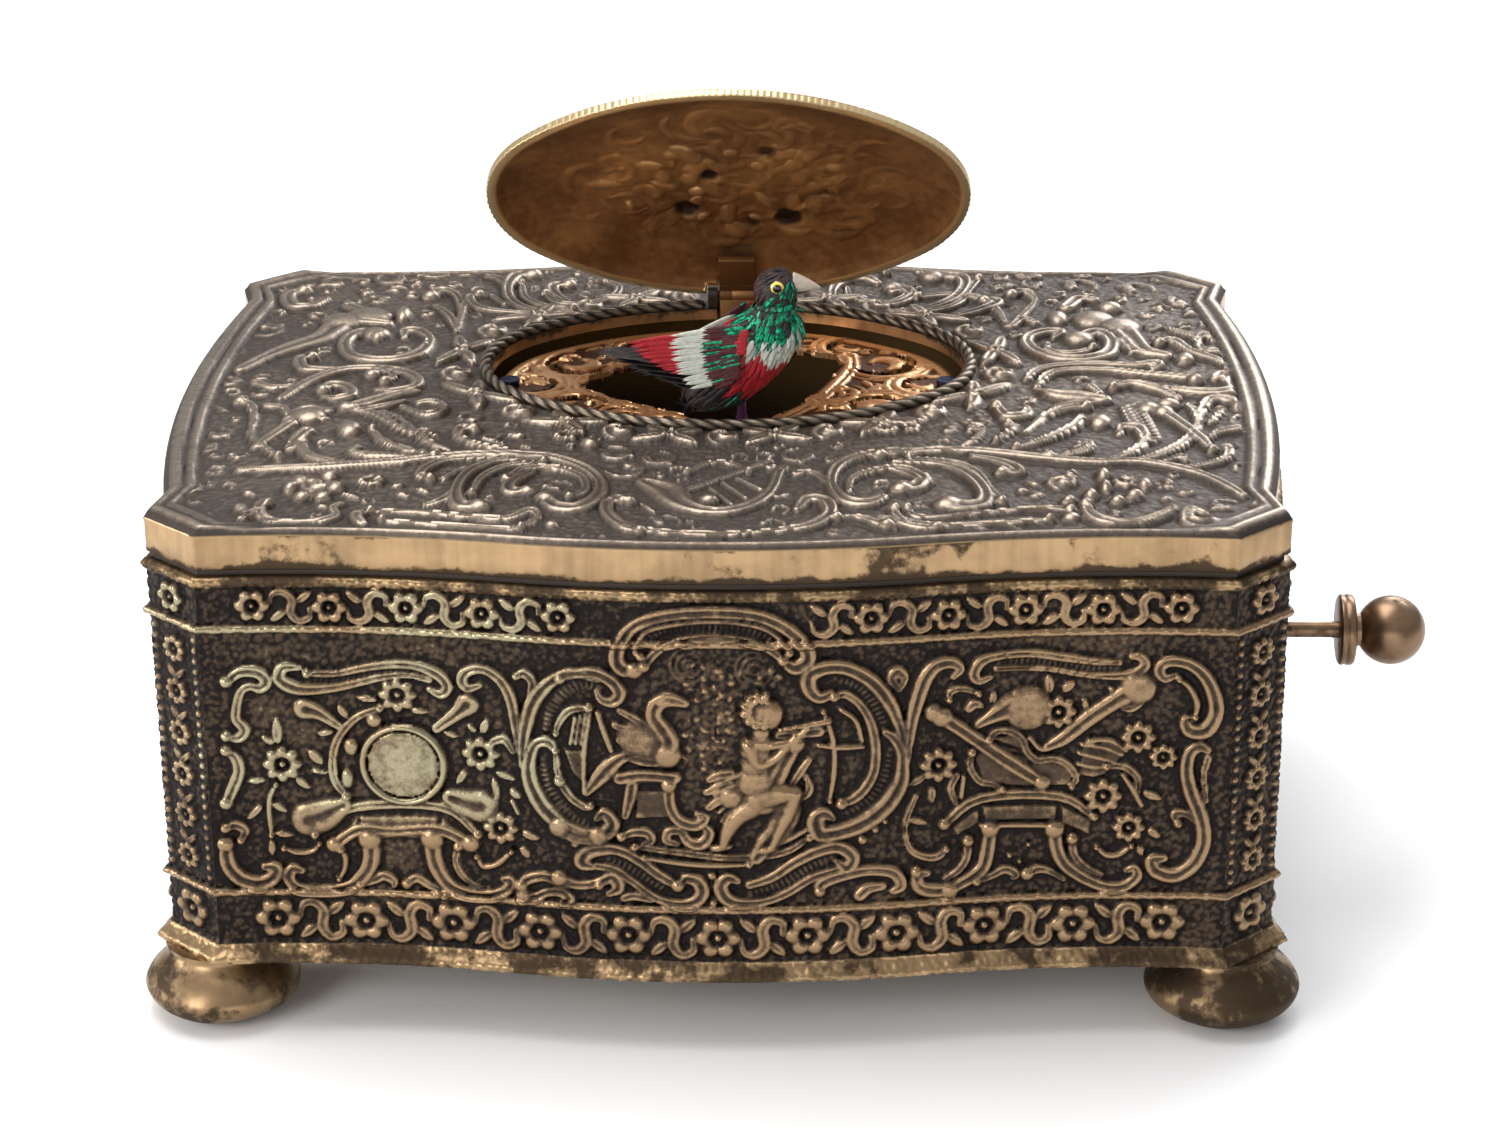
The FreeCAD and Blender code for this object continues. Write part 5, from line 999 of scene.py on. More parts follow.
FRONT_COMBS = (
    ((-37.9, 36.7, 0.39), (-35, 36.7, 0.39), (-32.3, 37.4, 0.36), (-29.5, 37.9, 0.37),
     (-26.9, 37.6, 0.32)),
    ((-15.8, 32.8, 0.31), (-15.1, 35.1, 0.48), (-13.7, 36.9, 0.55), (-11.9, 37.7, 0.58),
     (-10.8, 37.4, 0.49)),
    ((-16.2, 29.6, 0.23), (-16, 27.6, 0.43), (-14.9, 25.4, 0.54), (-13.4, 23.7, 0.56),
     (-11.6, 22.9, 0.46)),
    ((-7.1, 41.1, 0.28), (-6.3, 42.5, 0.47), (-4.1, 43.6, 0.54), (-0.5, 43.7, 0.55),
     (3.4, 43.4, 0.54), (5.6, 42.1, 0.48), (6.4, 40.7, 0.28)),
    ((11.1, 38.3, 0.25), (13.4, 37.3, 0.47), (15.1, 34.6, 0.5), (15.7, 31.8, 0.27)),
    ((16.2, 30.7, 0.28), (15.7, 28.2, 0.53), (14.4, 26, 0.56), (12.3, 24.4, 0.31)),
    ((-10.1, 19.7, 0.42), (-7.5, 18.5, 0.53), (-5, 16.6, 0.42)),
    ((3.2, 16.2, 0.37), (6.2, 17.4, 0.52), (8.6, 18.9, 0.52), (10.7, 19.8, 0.37)),
    ((-14.4, 36.1, 0.47), (-12.9, 37.6, 0.48), (-11.3, 37.8, 0.35)),
    ((-14.7, 24.8, 0.42), (-13, 23.6, 0.42), (-11.7, 23, 0.32)),
    ((26.3, 39.1, 0.26), (28.9, 39.1, 0.37), (32.2, 38.8, 0.37), (35, 38.2, 0.37),
     (37.2, 38.1, 0.22)),
)
FRONT_FLOWERS = (
    (-29.8, 35.4, 1.91), (-41, 28, 1.98), (-22.1, 29.8, 1.93), (-20.4, 22.2, 1.83),
    (31.9, 33.8, 1.81), (20.7, 28.9, 1.92), (39.4, 31.1, 1.77), (41.8, 29.1, 1.45),
    (36.3, 25, 1.93), (38.8, 21.7, 1.67),
)
FRONT_LEAVES = (
    (-41.3, 30.1, -41.3, 32.9, 0.61), (-41.6, 30.1, -42.8, 30.9, 0.39),
    (-42.7, 26.4, -44.4, 26.2, 0.39), (-39.8, 26.6, -38.5, 25.4, 0.47),
    (-38.4, 27.4, -36.6, 27.1, 0.29), (-38.4, 29.4, -37.1, 28, 0.61),
    (-31.7, 34.8, -33.7, 35, 0.43), (-28.6, 33.9, -26.9, 33.7, 0.36),
    (-35.4, 34.1, -34.6, 32.8, 0.47), (-36, 31.5, -37.5, 31.1, 0.4),
    (-25.6, 31.9, -24.1, 31.3, 0.36), (-22.4, 32, -23.3, 32.8, 0.36),
    (-21.9, 31.9, -21.3, 33.5, 0.51), (-23.6, 28, -24.5, 26.4, 0.47),
    (-20.7, 28, -18.7, 27.4, 0.44), (-20.9, 27.4, -20.6, 24.8, 0.44),
    (-19.4, 26.3, -18.3, 25.4, 0.47), (-42.1, 23.9, -40.8, 23, 0.43),
    (-43.1, 23.8, -44.6, 22.2, 0.43), (-42.1, 20.8, -40.2, 20.5, 0.4),
    (-42.4, 20.1, -42.5, 18.3, 0.43), (-18.4, 21.9, -16.6, 21.3, 0.51),
    (-18.5, 20.4, -17.7, 19.2, 0.51), (31, 35.8, 30.9, 37.7, 0.58), (32.2, 35.9, 33.4, 37, 0.55),
    (34.2, 35.2, 34.5, 33.8, 0.39), (40, 25.4, 41.8, 24.7, 0.55), (40.6, 21.6, 41.8, 20.6, 0.52),
    (39.8, 19.8, 40.2, 18.7, 0.46), (19.5, 28, 17.9, 26.9, 0.49), (20.1, 26.8, 20.1, 24.9, 0.52),
    (17.9, 23.5, 19.8, 22.9, 0.46), (37, 36.1, 36.4, 36, 0.26), (25.6, 34.9, 25.9, 36.2, 0.45),
)
FRONT_BALLS = (
    (-15.4, 22.8, 0.41), (-14.6, 21.9, 0.41), (-13.3, 21.2, 0.59), (-29.4, 28.3, 0.18),
    (-0.5, 18.2, 0.51), (-0.4, 15.3, 0.47), (-13.3, 21.1, 0.52), (-14.5, 21.9, 0.47),
    (13.6, 21.6, 0.56), (14.8, 22.6, 0.42), (15.7, 23.4, 0.33), (27.6, 19, 0.29),
    (29.4, 20.1, 0.25), (28.6, 18.3, 0.25),
)
FRONT_EGGS = (
    (-32.1, 32.7, 0.86, 0.84, 0), (-34.4, 29.9, 0.81, 1.04, 0), (-34.9, 26.6, 0.68, 1.15, 0),
    (-4.7, 36.1, 1.05, 0.61, 5), (-7, 32.1, 2.42, 1.99, -25), (7.8, 32.8, 0.83, 0.56, 0),
    (20.2, 34.3, 1.05, 1.06, 0), (39.3, 35.9, 0.8, 0.97, 0),
)
FRONT_PLATEAUS = (
    ((-34.1, 22.7), (-26.3, 23), (-26.5, 20.5), (-33.9, 20.2)),
    ((-36.7, 20.1), (-34.1, 22.6), (-34, 20.5), (-36.5, 19.1)),
    ((-26.2, 23), (-23.2, 20.8), (-23.4, 19.7), (-26.2, 20.8)),
    ((-14.3, 31), (-12.2, 30.9), (-12.4, 27.3), (-13.5, 28.5)),
    ((-9, 28.7), (-3.4, 28.9), (-3.7, 27.7), (-8.5, 27.5)),
    ((-7.4, 27), (-4.6, 27.1), (-4.4, 24.2), (-7.7, 23.9)),
    ((25.7, 31.6), (28.1, 31.5), (29, 29.4), (31.2, 28.8), (33.1, 28), (33.5, 26.1), (30.1, 26),
     (27.2, 26.3), (24.8, 27.1), (24, 29.4)),
    ((24.8, 24.5), (32.1, 24.3), (32, 22.5), (25.1, 22.7)),
    ((22, 22.3), (24.6, 24.2), (24.8, 22.6), (22.5, 21.2)),
    ((32.3, 24.3), (35.3, 22.6), (35.2, 20.8), (32.4, 22.2)),
    ((34.2, 30.6), (37.2, 30.8), (38.3, 29.4), (36.5, 27.2), (35.3, 26.8), (33.9, 27.2)),
)
COVER_STROKES = (
    ((-45.5, -22.2, 0.46), (-40.7, -21.7, 0.54), (-35.9, -21.1, 0.61), (-30.7, -20, 0.62),
     (-26.4, -18.7, 0.62), (-21.6, -18, 0.66), (-16.7, -18.6, 0.69), (-13.1, -21.3, 0.7),
     (-11.1, -25.1, 0.57), (-11.2, -28.9, 0.74), (-12.9, -31.5, 0.94), (-14.9, -31.2, 1.04),
     (-16, -29.3, 0.75)),
    ((-20.1, -24.7, 0.37), (-18.4, -21.7, 0.49), (-15.5, -21.6, 0.49), (-12.9, -23.9, 0.49),
     (-12.4, -27.1, 0.44), (-13.8, -29.1, 0.36)),
    ((-17.1, -19.3, 0.35), (-21, -19.6, 0.46), (-23.6, -22.6, 0.59), (-24.4, -27.1, 0.62),
     (-23.8, -30.8, 0.94), (-22, -31.2, 0.79)),
    ((-16.8, -20.1, 0.35), (-20.1, -21, 0.46), (-22.3, -23.9, 0.44), (-22.9, -28.1, 0.32)),
    ((-21.5, -18.7, 0.35), (-25.1, -19.3, 0.46), (-27.2, -20.7, 0.54), (-28.2, -23.3, 0.59),
     (-27.2, -24.4, 0.44)),
    ((-17.6, -22.3, 0.37), (-19.3, -25.2, 0.68), (-19.4, -27.4, 0.86), (-17.8, -27.7, 0.66)),
    ((-25.9, -24.2, 0.3), (-24.2, -21.6, 0.34)),
    ((-26.9, -30.9, 0.36), (-25.6, -29.8, 0.51), (-24.7, -27.6, 0.43)),
    ((-20.5, -16.8, 0.35), (-23.8, -15.3, 0.47), (-25.5, -13.3, 0.54), (-25.3, -11.2, 0.72),
     (-24.2, -11.4, 0.48)),
    ((-26.1, -17.1, 0.34), (-28, -15.3, 0.53), (-29.2, -13.3, 0.55), (-29, -11.9, 0.6),
     (-27.9, -12.8, 0.31)),
    ((-27, -18, 0.35), (-30.5, -16.7, 0.5), (-33.1, -14, 0.53), (-34.1, -11.6, 0.35)),
    ((-27.4, -18.7, 0.35), (-31.3, -18.4, 0.47), (-34.3, -18.2, 0.54), (-35.5, -17.1, 0.42),
     (-35, -16, 0.31)),
    ((-30.2, -20.4, 0.39), (-35, -20.7, 0.54), (-38.6, -19.4, 0.68), (-40.4, -16.7, 0.61),
     (-40.4, -14.4, 0.41)),
    ((-34.8, -30.5, 0.33), (-35.5, -31.6, 0.39), (-35, -33.7, 0.53), (-37, -35.3, 0.57),
     (-40, -35.3, 0.6), (-41.9, -33.5, 0.6), (-42.3, -31, 0.58), (-41.6, -30.7, 0.37)),
    ((-31.9, -32.5, 0.33), (-33.1, -33.4, 0.61), (-32.3, -35.4, 0.47)),
    ((-31.9, -32.5, 0.36), (-27.4, -32.5, 0.39), (-22.6, -33.7, 0.43), (-19.1, -34.1, 0.5),
     (-17.1, -32.1, 0.57), (-16.4, -33.8, 0.37), (-17.3, -35.6, 0.42), (-18.3, -35.9, 0.28)),
    ((-30.6, -34.6, 0.32), (-24.8, -35.6, 0.35), (-18.9, -36.5, 0.35), (-17.7, -36.3, 0.28)),
    ((-8.7, -30.1, 0.47), (-10.1, -30.3, 0.65), (-9.9, -33.3, 0.57), (-8.4, -36.2, 0.61),
     (-6.8, -37.2, 0.45)),
    ((-44.1, -31.6, 0.59), (-43.2, -33.2, 0.31), (-43.7, -34.4, 0.36)),
    ((-30.8, -0.8, 0.3), (-33.1, -2.1, 0.72), (-35.4, -4.2, 0.93), (-37.4, -5.7, 0.67)),
    ((-31.8, -3.5, 0.29), (-33.8, -5.3, 0.54), (-35.7, -6.4, 0.5)),
    ((-29.8, -12.8, 0.27), (-32.3, -9.9, 0.51), (-34.6, -7.2, 0.6), (-36.7, -6, 0.49)),
    ((-29.4, -12.6, 0.22), (-31.7, -8.5, 0.39), (-33.6, -6.7, 0.36)),
    ((-42.3, -9.9, 0.64), (-43.8, -13.5, 0.56), (-44.9, -16.1, 0.39)),
    ((-40.5, -12, 0.78), (-41.2, -14.2, 0.65), (-41.6, -16.6, 0.44)),
    ((-40.3, -0.8, 0.54), (-39.6, 0.8, 0.73), (-38, 0.1, 0.77), (-37.4, -2.1, 0.67),
     (-38.6, -3, 0.55), (-40.1, -2.5, 0.34)),
    ((-44.3, -3, 0.38), (-42.3, 1.5, 0.56), (-39.6, 4.7, 0.61), (-36.6, 5.6, 0.61),
     (-33.4, 4.9, 0.69), (-31.3, 2.7, 0.67), (-31.3, 0.1, 0.64), (-33.3, -0.8, 0.47),
     (-35, -0.3, 0.3)),
    ((-35.9, 3.6, 0.6), (-35, 5.3, 0.7), (-33.7, 3.4, 0.45), (-34.4, 1.8, 0.46)),
    ((-47.4, 1.4, 0.59), (-45.4, 0.1, 0.47), (-42.7, 0.9, 0.34)),
    ((-42.6, 8.9, 0.45), (-43.8, 8.3, 0.65), (-43.1, 5.6, 0.72), (-40.9, 5.1, 0.57),
     (-39.2, 5.6, 0.4)),
    ((-36.9, 15.9, 1.1), (-38.6, 16.4, 0.84), (-39.8, 14, 0.7), (-39.2, 10.2, 0.7),
     (-37.1, 8.3, 0.79), (-34.2, 8.1, 0.8), (-31.8, 10.2, 0.88), (-31.1, 14.1, 0.53),
     (-32.5, 16.8, 0.77), (-33.9, 16.8, 0.65), (-33.9, 15.1, 0.28)),
    ((-40.9, 20, 1.55), (-42.4, 15.1, 1.28), (-45.2, 11.9, 1.09), (-47.4, 8.9, 0.81),
     (-49.5, 5.1, 0.62)),
    ((-43.4, 27.3, 0.39), (-44.8, 24.9, 0.58), (-46.8, 24.8, 0.74), (-47.7, 28.2, 0.78),
     (-46.2, 29.8, 0.64)),
    ((-32.4, 28, 0.67), (-31.4, 29.9, 0.73), (-29.6, 28.2, 0.49), (-28.8, 23.3, 0.29),
     (-28.5, 17.6, 0.24)),
    ((-28.1, 28.2, 0.49), (-28.6, 23.9, 0.41), (-28.4, 18, 0.26)),
    ((-31.6, 24.9, 0.4), (-29.8, 21.6, 0.52), (-28.6, 17.2, 0.31)),
    ((-41, 24.9, 0.56), (-39.1, 23.2, 0.75), (-36.5, 21.6, 0.65)),
    ((-41.1, 21.6, 0.46), (-38.8, 20, 0.74), (-36, 19.2, 0.56)),
    ((-42.9, -8.9, 0.41), (-41.3, -7.8, 0.53), (-39.2, -8.5, 0.41)),
    ((-42.6, -7.1, 0.37), (-41.1, -5.7, 0.5), (-39, -6.4, 0.37)),
    ((-48.1, -4.3, 0.58), (-47, -5, 0.57), (-46.1, -8.5, 0.35), (-45.9, -12.7, 0.3),
     (-44.5, -15.4, 0.43), (-42.3, -18.8, 0.36)),
    ((-45.5, -5, 0.41), (-43.6, -5.7, 0.46), (-42.3, -9.9, 0.26)),
    ((-31.8, -5.3, 0.4), (-30.1, -7.1, 0.57), (-28.5, -7.4, 0.74), (-27.7, -5.3, 0.43),
     (-28.9, -3.9, 0.54), (-30.4, -4.2, 0.38)),
    ((15.2, -18.2, 0.55), (18.7, -17.1, 0.59), (23.4, -16.8, 0.59), (27.3, -17.7, 0.59),
     (31.4, -18.9, 0.55), (35.9, -19.7, 0.51), (39.4, -19.5, 0.51), (42.7, -20.8, 0.51),
     (45.5, -22.9, 0.5), (47.7, -26, 0.53), (48.9, -28, 0.35)),
    ((16.6, -19.5, 0.29), (20.7, -20.3, 0.47), (23.4, -23, 0.69), (24.8, -27.3, 0.7),
     (24.5, -30.3, 0.96), (22.6, -31, 1.24), (21.4, -30.4, 0.97)),
    ((18, -18.8, 0.29), (22.1, -19.9, 0.43), (24.3, -22.4, 0.42), (25.3, -26.1, 0.38),
     (26.4, -29.8, 0.43)),
    ((15.2, -21.2, 0.32), (17.3, -22.4, 0.5), (18.6, -24.3, 0.56), (18.4, -26.4, 0.78),
     (17.1, -26.7, 0.77)),
    ((19.5, -23, 0.25), (20, -25, 0.28)),
    ((24, -18.2, 0.33), (25.8, -19.3, 0.51), (27.6, -21, 0.75), (28, -22.4, 0.82),
     (26.7, -22.5, 0.5)),
    ((22.9, -16.3, 0.32), (24.6, -13.6, 0.41), (25.2, -11, 0.39), (24.5, -10.3, 0.57),
     (23.9, -11.8, 0.27)),
    ((28.3, -16.2, 0.4), (31.6, -13.5, 0.59), (34.2, -10.3, 0.65), (35.1, -7.6, 0.36)),
    ((26.5, -14.3, 0.31), (27.8, -11.7, 0.49), (28.6, -10.3, 0.35), (27.8, -9.9, 0.34)),
    ((29.4, -11.7, 0.32), (31.5, -7.6, 0.52), (33.5, -5.6, 0.62), (35.7, -5, 0.47)),
    ((31.4, -18.4, 0.33), (33.8, -17.5, 0.51), (35.3, -16.1, 0.53), (35.1, -14.5, 0.49),
     (34.1, -15.6, 0.29)),
    ((37.1, -19, 0.36), (39.3, -17.3, 0.63), (40.7, -14.1, 0.51), (40.3, -10.9, 0.75),
     (38.9, -10.6, 0.6), (38.5, -12.1, 0.22)),
    ((39.1, -19.7, 0.36), (41.8, -18, 0.61), (44.4, -14.8, 0.62), (46.2, -10.2, 0.47),
     (46.3, -6.3, 0.45), (45.7, -4.2, 0.29)),
    ((42.4, -19.3, 0.32), (43.9, -18.3, 0.47), (44.3, -19.1, 0.29)),
    ((42.9, -21.2, 0.32), (46, -20.4, 0.43), (48.2, -18.6, 0.54), (48.5, -16, 0.56),
     (47, -16.8, 0.37)),
    ((16.4, -31.6, 0.41), (16.6, -33.5, 0.54), (17.9, -35, 0.5), (21.7, -35.5, 0.4),
     (26.1, -34.9, 0.4), (30.6, -34, 0.37)),
    ((17.6, -31.6, 0.36), (18.6, -33.5, 0.4), (22.9, -32.9, 0.34), (27.4, -31.7, 0.37),
     (30.7, -31.4, 0.44), (32.6, -32, 0.44)),
    ((34.1, -30.5, 0.49), (34.4, -33.1, 0.76), (36.3, -34.9, 0.74), (39, -34.6, 0.67),
     (41.3, -32.6, 0.62), (42.2, -30.8, 0.31), (41.4, -31.1, 0.27)),
    ((44.9, -32.6, 0.34), (43.6, -31.9, 0.64), (43.2, -34, 0.68), (44.7, -34.8, 0.7),
     (46.7, -33.9, 0.67), (48.9, -32.5, 0.59), (50.2, -30.1, 0.44)),
    ((15.1, -33.8, 0.5), (16.2, -34.4, 0.49), (16.4, -36.2, 0.2)),
    ((31.1, -0.2, 0.28), (32.8, -1.6, 0.87), (35.1, -2.2, 1.19), (37.6, -3.1, 0.71)),
    ((32.5, -5, 0.31), (34.5, -4.3, 0.59), (37.1, -3.6, 0.43)),
    ((43.2, -6.6, 0.79), (44.8, -10.2, 0.7), (46.3, -14.1, 0.61), (47, -16.8, 0.42)),
    ((38.7, 0.4, 0.4), (40.7, 1.6, 0.61), (43, 0.2, 0.56), (45, -2.3, 0.36)),
    ((36.5, 0.5, 0.55), (37.2, -1, 0.43)),
    ((30.2, 3.1, 0.38), (31.4, 5.4, 0.53), (34.2, 6.8, 0.5), (37.6, 7.2, 0.5), (41.3, 6.9, 0.5),
     (43.6, 7.2, 0.75), (43.1, 5.7, 0.3)),
    ((47.1, 2.5, 0.61), (46.2, 3.3, 0.57), (42.3, 4.4, 0.49), (38.8, 5.4, 0.5),
     (34.6, 5.4, 0.49), (32.3, 4, 0.52), (31.1, 1, 0.29)),
    ((44, 0.4, 0.4), (46.8, -0.8, 0.76), (49.9, -0.8, 0.87), (51.8, 2, 0.66), (52.1, 6.9, 0.69),
     (51, 10.5, 0.72), (48.8, 11.2, 0.59), (48.3, 14.1, 0.37), (49.3, 15.8, 0.73),
     (50.6, 14.4, 0.52)),
    ((49.3, 3.2, 0.71), (50.1, 4, 0.69), (50.4, 1.1, 0.29)),
    ((36.1, 14.8, 1.1), (38.2, 16.7, 0.87), (39.4, 14.1, 0.72), (38.8, 10.4, 0.87),
     (36.5, 8.6, 0.92), (33.6, 9, 0.84), (31.2, 11.5, 0.74), (30.8, 14.8, 0.64),
     (32.7, 16.7, 0.73), (34.3, 16.7, 0.64), (33.6, 15.4, 0.32)),
    ((32.8, 13.7, 0.26), (32.9, 11.1, 0.46), (35.4, 10.4, 0.46), (37.4, 11.9, 0.38)),
    ((40.6, 18.6, 1.53), (41.6, 14.8, 1.27), (42.6, 11.2, 1), (44.8, 9.6, 0.59)),
    ((40.8, 14, 0.83), (41.4, 11, 0.45)),
    ((35.4, 24.5, 0.77), (36.8, 27, 0.85), (38.5, 26.9, 0.55)),
    ((46.6, -7.7, 0.31), (47.7, -3.6, 0.62), (49.5, -2.9, 0.71), (51.2, -4.4, 0.94)),
    ((47.6, -9, 0.39), (48.7, -6.2, 0.36)),
    ((46.5, -14.2, 0.28), (48.2, -11.7, 0.48), (50.6, -11, 0.68)),
    ((40, -4.9, 0.4), (40.6, -8.9, 0.4), (41.6, -14.3, 0.26)),
    ((40.7, -4.3, 0.42), (41.4, -7.6, 0.39), (42.2, -13.5, 0.25)),
    ((39.3, -4.9, 0.32), (39.9, -9.6, 0.41), (41, -12.9, 0.29)),
    ((29.3, 18.6, 0.38), (30.6, 20.8, 0.57), (31.9, 19.9, 0.4)),
    ((29.7, 28.6, 0.55), (31.3, 29.4, 0.69), (32.2, 27, 0.36), (31, 23.1, 0.4), (29, 18.6, 0.32)),
    ((28.8, 18.6, 0.27), (28.2, 23.1, 0.44), (26.5, 27, 0.63), (23.5, 28.6, 0.55),
     (19.6, 27.8, 0.41)),
    ((44.3, 13.4, 0.51), (45.8, 14.1, 0.69), (47.3, 11.2, 0.55), (50, 8.3, 0.5), (51.4, 4.8, 0.4)),
    ((45.9, 17.8, 0.39), (47.9, 15.6, 0.51), (48.5, 13.4, 0.32)),
    ((26.8, -5, 0.5), (27.7, -7.7, 0.73), (29.6, -7.3, 0.68), (29.9, -5, 0.31)),
    ((-6.8, -25.4, 0.92), (-4.8, -27.3, 1.7), (-3.6, -30.1, 1.32), (-1.3, -32.2, 0.9),
     (1.4, -32.2, 0.78), (3.8, -30, 0.65), (5.1, -26.4, 0.51), (5.6, -22.7, 0.46),
     (6.2, -21.1, 0.31)),
    ((4.7, -21.2, 0.39), (6.3, -21.6, 0.39)),
    ((-3.1, -27.3, 0.42), (0.6, -23.8, 0.34), (4.7, -19.7, 0.39)),
    ((-3, -22.7, 0.3), (-1.2, -20.3, 0.35), (1.1, -20.2, 0.35), (2.8, -22.7, 0.29)),
    ((-0.7, -26.8, 0.24), (1.4, -30.8, 0.23)),
    ((0.4, -25.3, 0.24), (2.7, -29.3, 0.24)),
    ((1.7, -24.2, 0.25), (4, -27.1, 0.25)),
    ((-8.1, -30.2, 0.45), (-9.3, -29.4, 0.72), (-10.2, -31.2, 0.49), (-9.3, -34.4, 0.68),
     (-7.3, -36.5, 0.56), (-3.8, -37.5, 0.48), (1, -37.8, 0.48), (3.7, -37.2, 0.36)),
    ((7.5, -31.6, 0.42), (8.4, -29.3, 0.75), (10, -29.8, 0.8), (10.4, -32.9, 0.68),
     (8.7, -35.7, 0.72), (6.3, -36.7, 0.48), (3.7, -37.2, 0.36)),
    ((15.5, -28.7, 0.41), (13.8, -30.3, 0.92), (11.7, -29.3, 0.82), (10.6, -25.6, 0.5),
     (11.1, -21.2, 0.64), (13.4, -18.3, 0.61), (17.3, -16.7, 0.49)),
    ((12.2, -27.2, 0.23), (12.5, -24.2, 0.4), (14.4, -22.3, 0.52), (17.2, -21.5, 0.61),
     (19.1, -24.1, 0.64), (18.2, -26.3, 1.06), (17.1, -25.6, 0.6)),
    ((7.2, -22.8, 0.43), (8.9, -22.7, 0.43), (10.6, -25.8, 0.37)),
    ((16.5, -31.8, 0.33), (16.4, -33.7, 0.52), (17.8, -35.6, 0.52), (20.2, -36.3, 0.4)),
    ((11.1, -33.9, 0.41), (13.3, -33.7, 0.49), (14.6, -34.9, 0.56), (15.7, -35.6, 0.52)),
)
COVER_COMBS = (
    ((-30.6, -33.5, 0.36), (-24.9, -34.5, 0.43), (-19.2, -35.2, 0.35)),
    ((20.6, -34.4, 0.34), (25.1, -33.8, 0.44), (28.9, -32.9, 0.34)),
)
COVER_FLOWERS = (
    (-32.7, -24.9, 1.49), (-15.1, -13, 1.39), (38.1, -24.8, 1.32), (16, -11.1, 1.22),
    (18.4, -10.7, 0.99),
)
COVER_ROSES = (
    (-37.8, -25.9, 1.8), (32.2, -24.9, 1.77),
)
COVER_LEAVES = (
    (-35.1, -27.8, -33.3, -29.1, 0.38), (-30.1, -27.9, -28.5, -28.5, 0.38),
    (-28.3, -26.6, -27, -27.4, 0.31), (-30.7, -26.2, -29.4, -25.4, 0.29),
    (-37.1, -31, -35.6, -31.3, 0.34), (-42.8, -29.1, -41, -29.9, 0.42),
    (-44.7, -27.4, -43.2, -28, 0.38), (-20.8, -12.6, -19, -13, 0.3),
    (-22.2, -14.3, -20.8, -15.3, 0.3), (-19.4, -15.3, -18.3, -16.1, 0.26),
    (27.8, -26.8, 29.1, -27, 0.4), (28.8, -24.5, 30.1, -25.6, 0.29),
    (29.1, -28, 30.5, -27.8, 0.4), (40.9, -26.1, 42.6, -25.7, 0.36),
    (41, -28.7, 42.4, -28.7, 0.36), (42.9, -27.3, 44.7, -27.2, 0.32),
    (-7.2, -30, -5.6, -32.4, 0.39), (-2.9, -34.3, -1.8, -34.7, 0.22),
    (5.1, -28.6, 7, -27.9, 0.31),
)
COVER_BALLS = (
    (-15.1, -35.5, 0.65), (32.6, -33.3, 0.98), (-15, -35.5, 0.75),
)
COVER_EGGS = (
    (-39.4, -25.3, 1.01, 1.36, 0), (-36.8, -23.8, 1.01, 1.09, 0), (-35.9, -26.7, 1.05, 1.26, 0),
    (-36.8, -29.1, 1, 1.06, 0), (-38.7, -29.1, 1, 0.97, 0), (-40.1, -26.7, 0.77, 1.08, 0),
    (-36.4, -11.3, 1.35, 1.85, 0), (-40.9, -7.8, 1.91, 1.78, 0), (-38.4, 21.6, 2.7, 2.51, -5),
    (-34.7, 22.3, 0.97, 1.94, 0), (-36.6, 15.2, 0.8, 1.33, 0), (-12.7, -15.3, 1.03, 1.14, 0),
    (36.2, -23, 0.77, 1.38, 0), (36.2, -26.1, 0.68, 1.45, 0), (39.9, -25.5, 0.81, 1.28, 0),
    (38.8, -28.2, 0.99, 0.92, 0), (37.1, -29.7, 0.9, 0.92, 0), (34.7, -28.2, 0.81, 1.09, 0),
    (36.8, -9.1, 1.32, 1.67, 0), (43.8, -4.4, 1.38, 1.23, 0), (38, 20.9, 2.44, 2.37, -8),
    (34.3, 21.2, 1.22, 1.94, 0), (40, 24.5, 1.48, 1.31, -10), (46.6, 8.7, 1.08, 1.42, 0),
    (32.6, -29.7, 0.81, 0.83, 0), (41.8, -5.6, 1.43, 1.42, 0), (-0.8, -29.7, 1.09, 1.01, 0),
)


def marks(kind: Kind, table: Sequence, height: float = 0.6, grow: float = 1.0) -> list[Mark]:
    """Turns one table of places into Marks."""
    return [Mark(kind, spots, height, grow) for spots in table]


FRONT_MARKS = (
    marks(Kind.PLATEAU, FRONT_PLATEAUS, 0.75) + marks(Kind.EGG, FRONT_EGGS, 0.62)
    + marks(Kind.STROKE, FRONT_STROKES, 0.72, 1.5) + marks(Kind.COMB, FRONT_COMBS, 0.62, 1.3)
    + marks(Kind.FLOWER, FRONT_FLOWERS, 0.66) + marks(Kind.LEAF, FRONT_LEAVES, 0.6)
    + marks(Kind.BALL, FRONT_BALLS, 0.6))
COVER_MARKS = (
    marks(Kind.EGG, COVER_EGGS, 0.85) + marks(Kind.STROKE, COVER_STROKES, 0.85, 1.22)
    + marks(Kind.COMB, COVER_COMBS, 0.5, 1.2) + marks(Kind.FLOWER, COVER_FLOWERS, 0.7)
    + marks(Kind.ROSE, COVER_ROSES, 0.75) + marks(Kind.LEAF, COVER_LEAVES, 0.6)
    + marks(Kind.BALL, COVER_BALLS, 0.7))


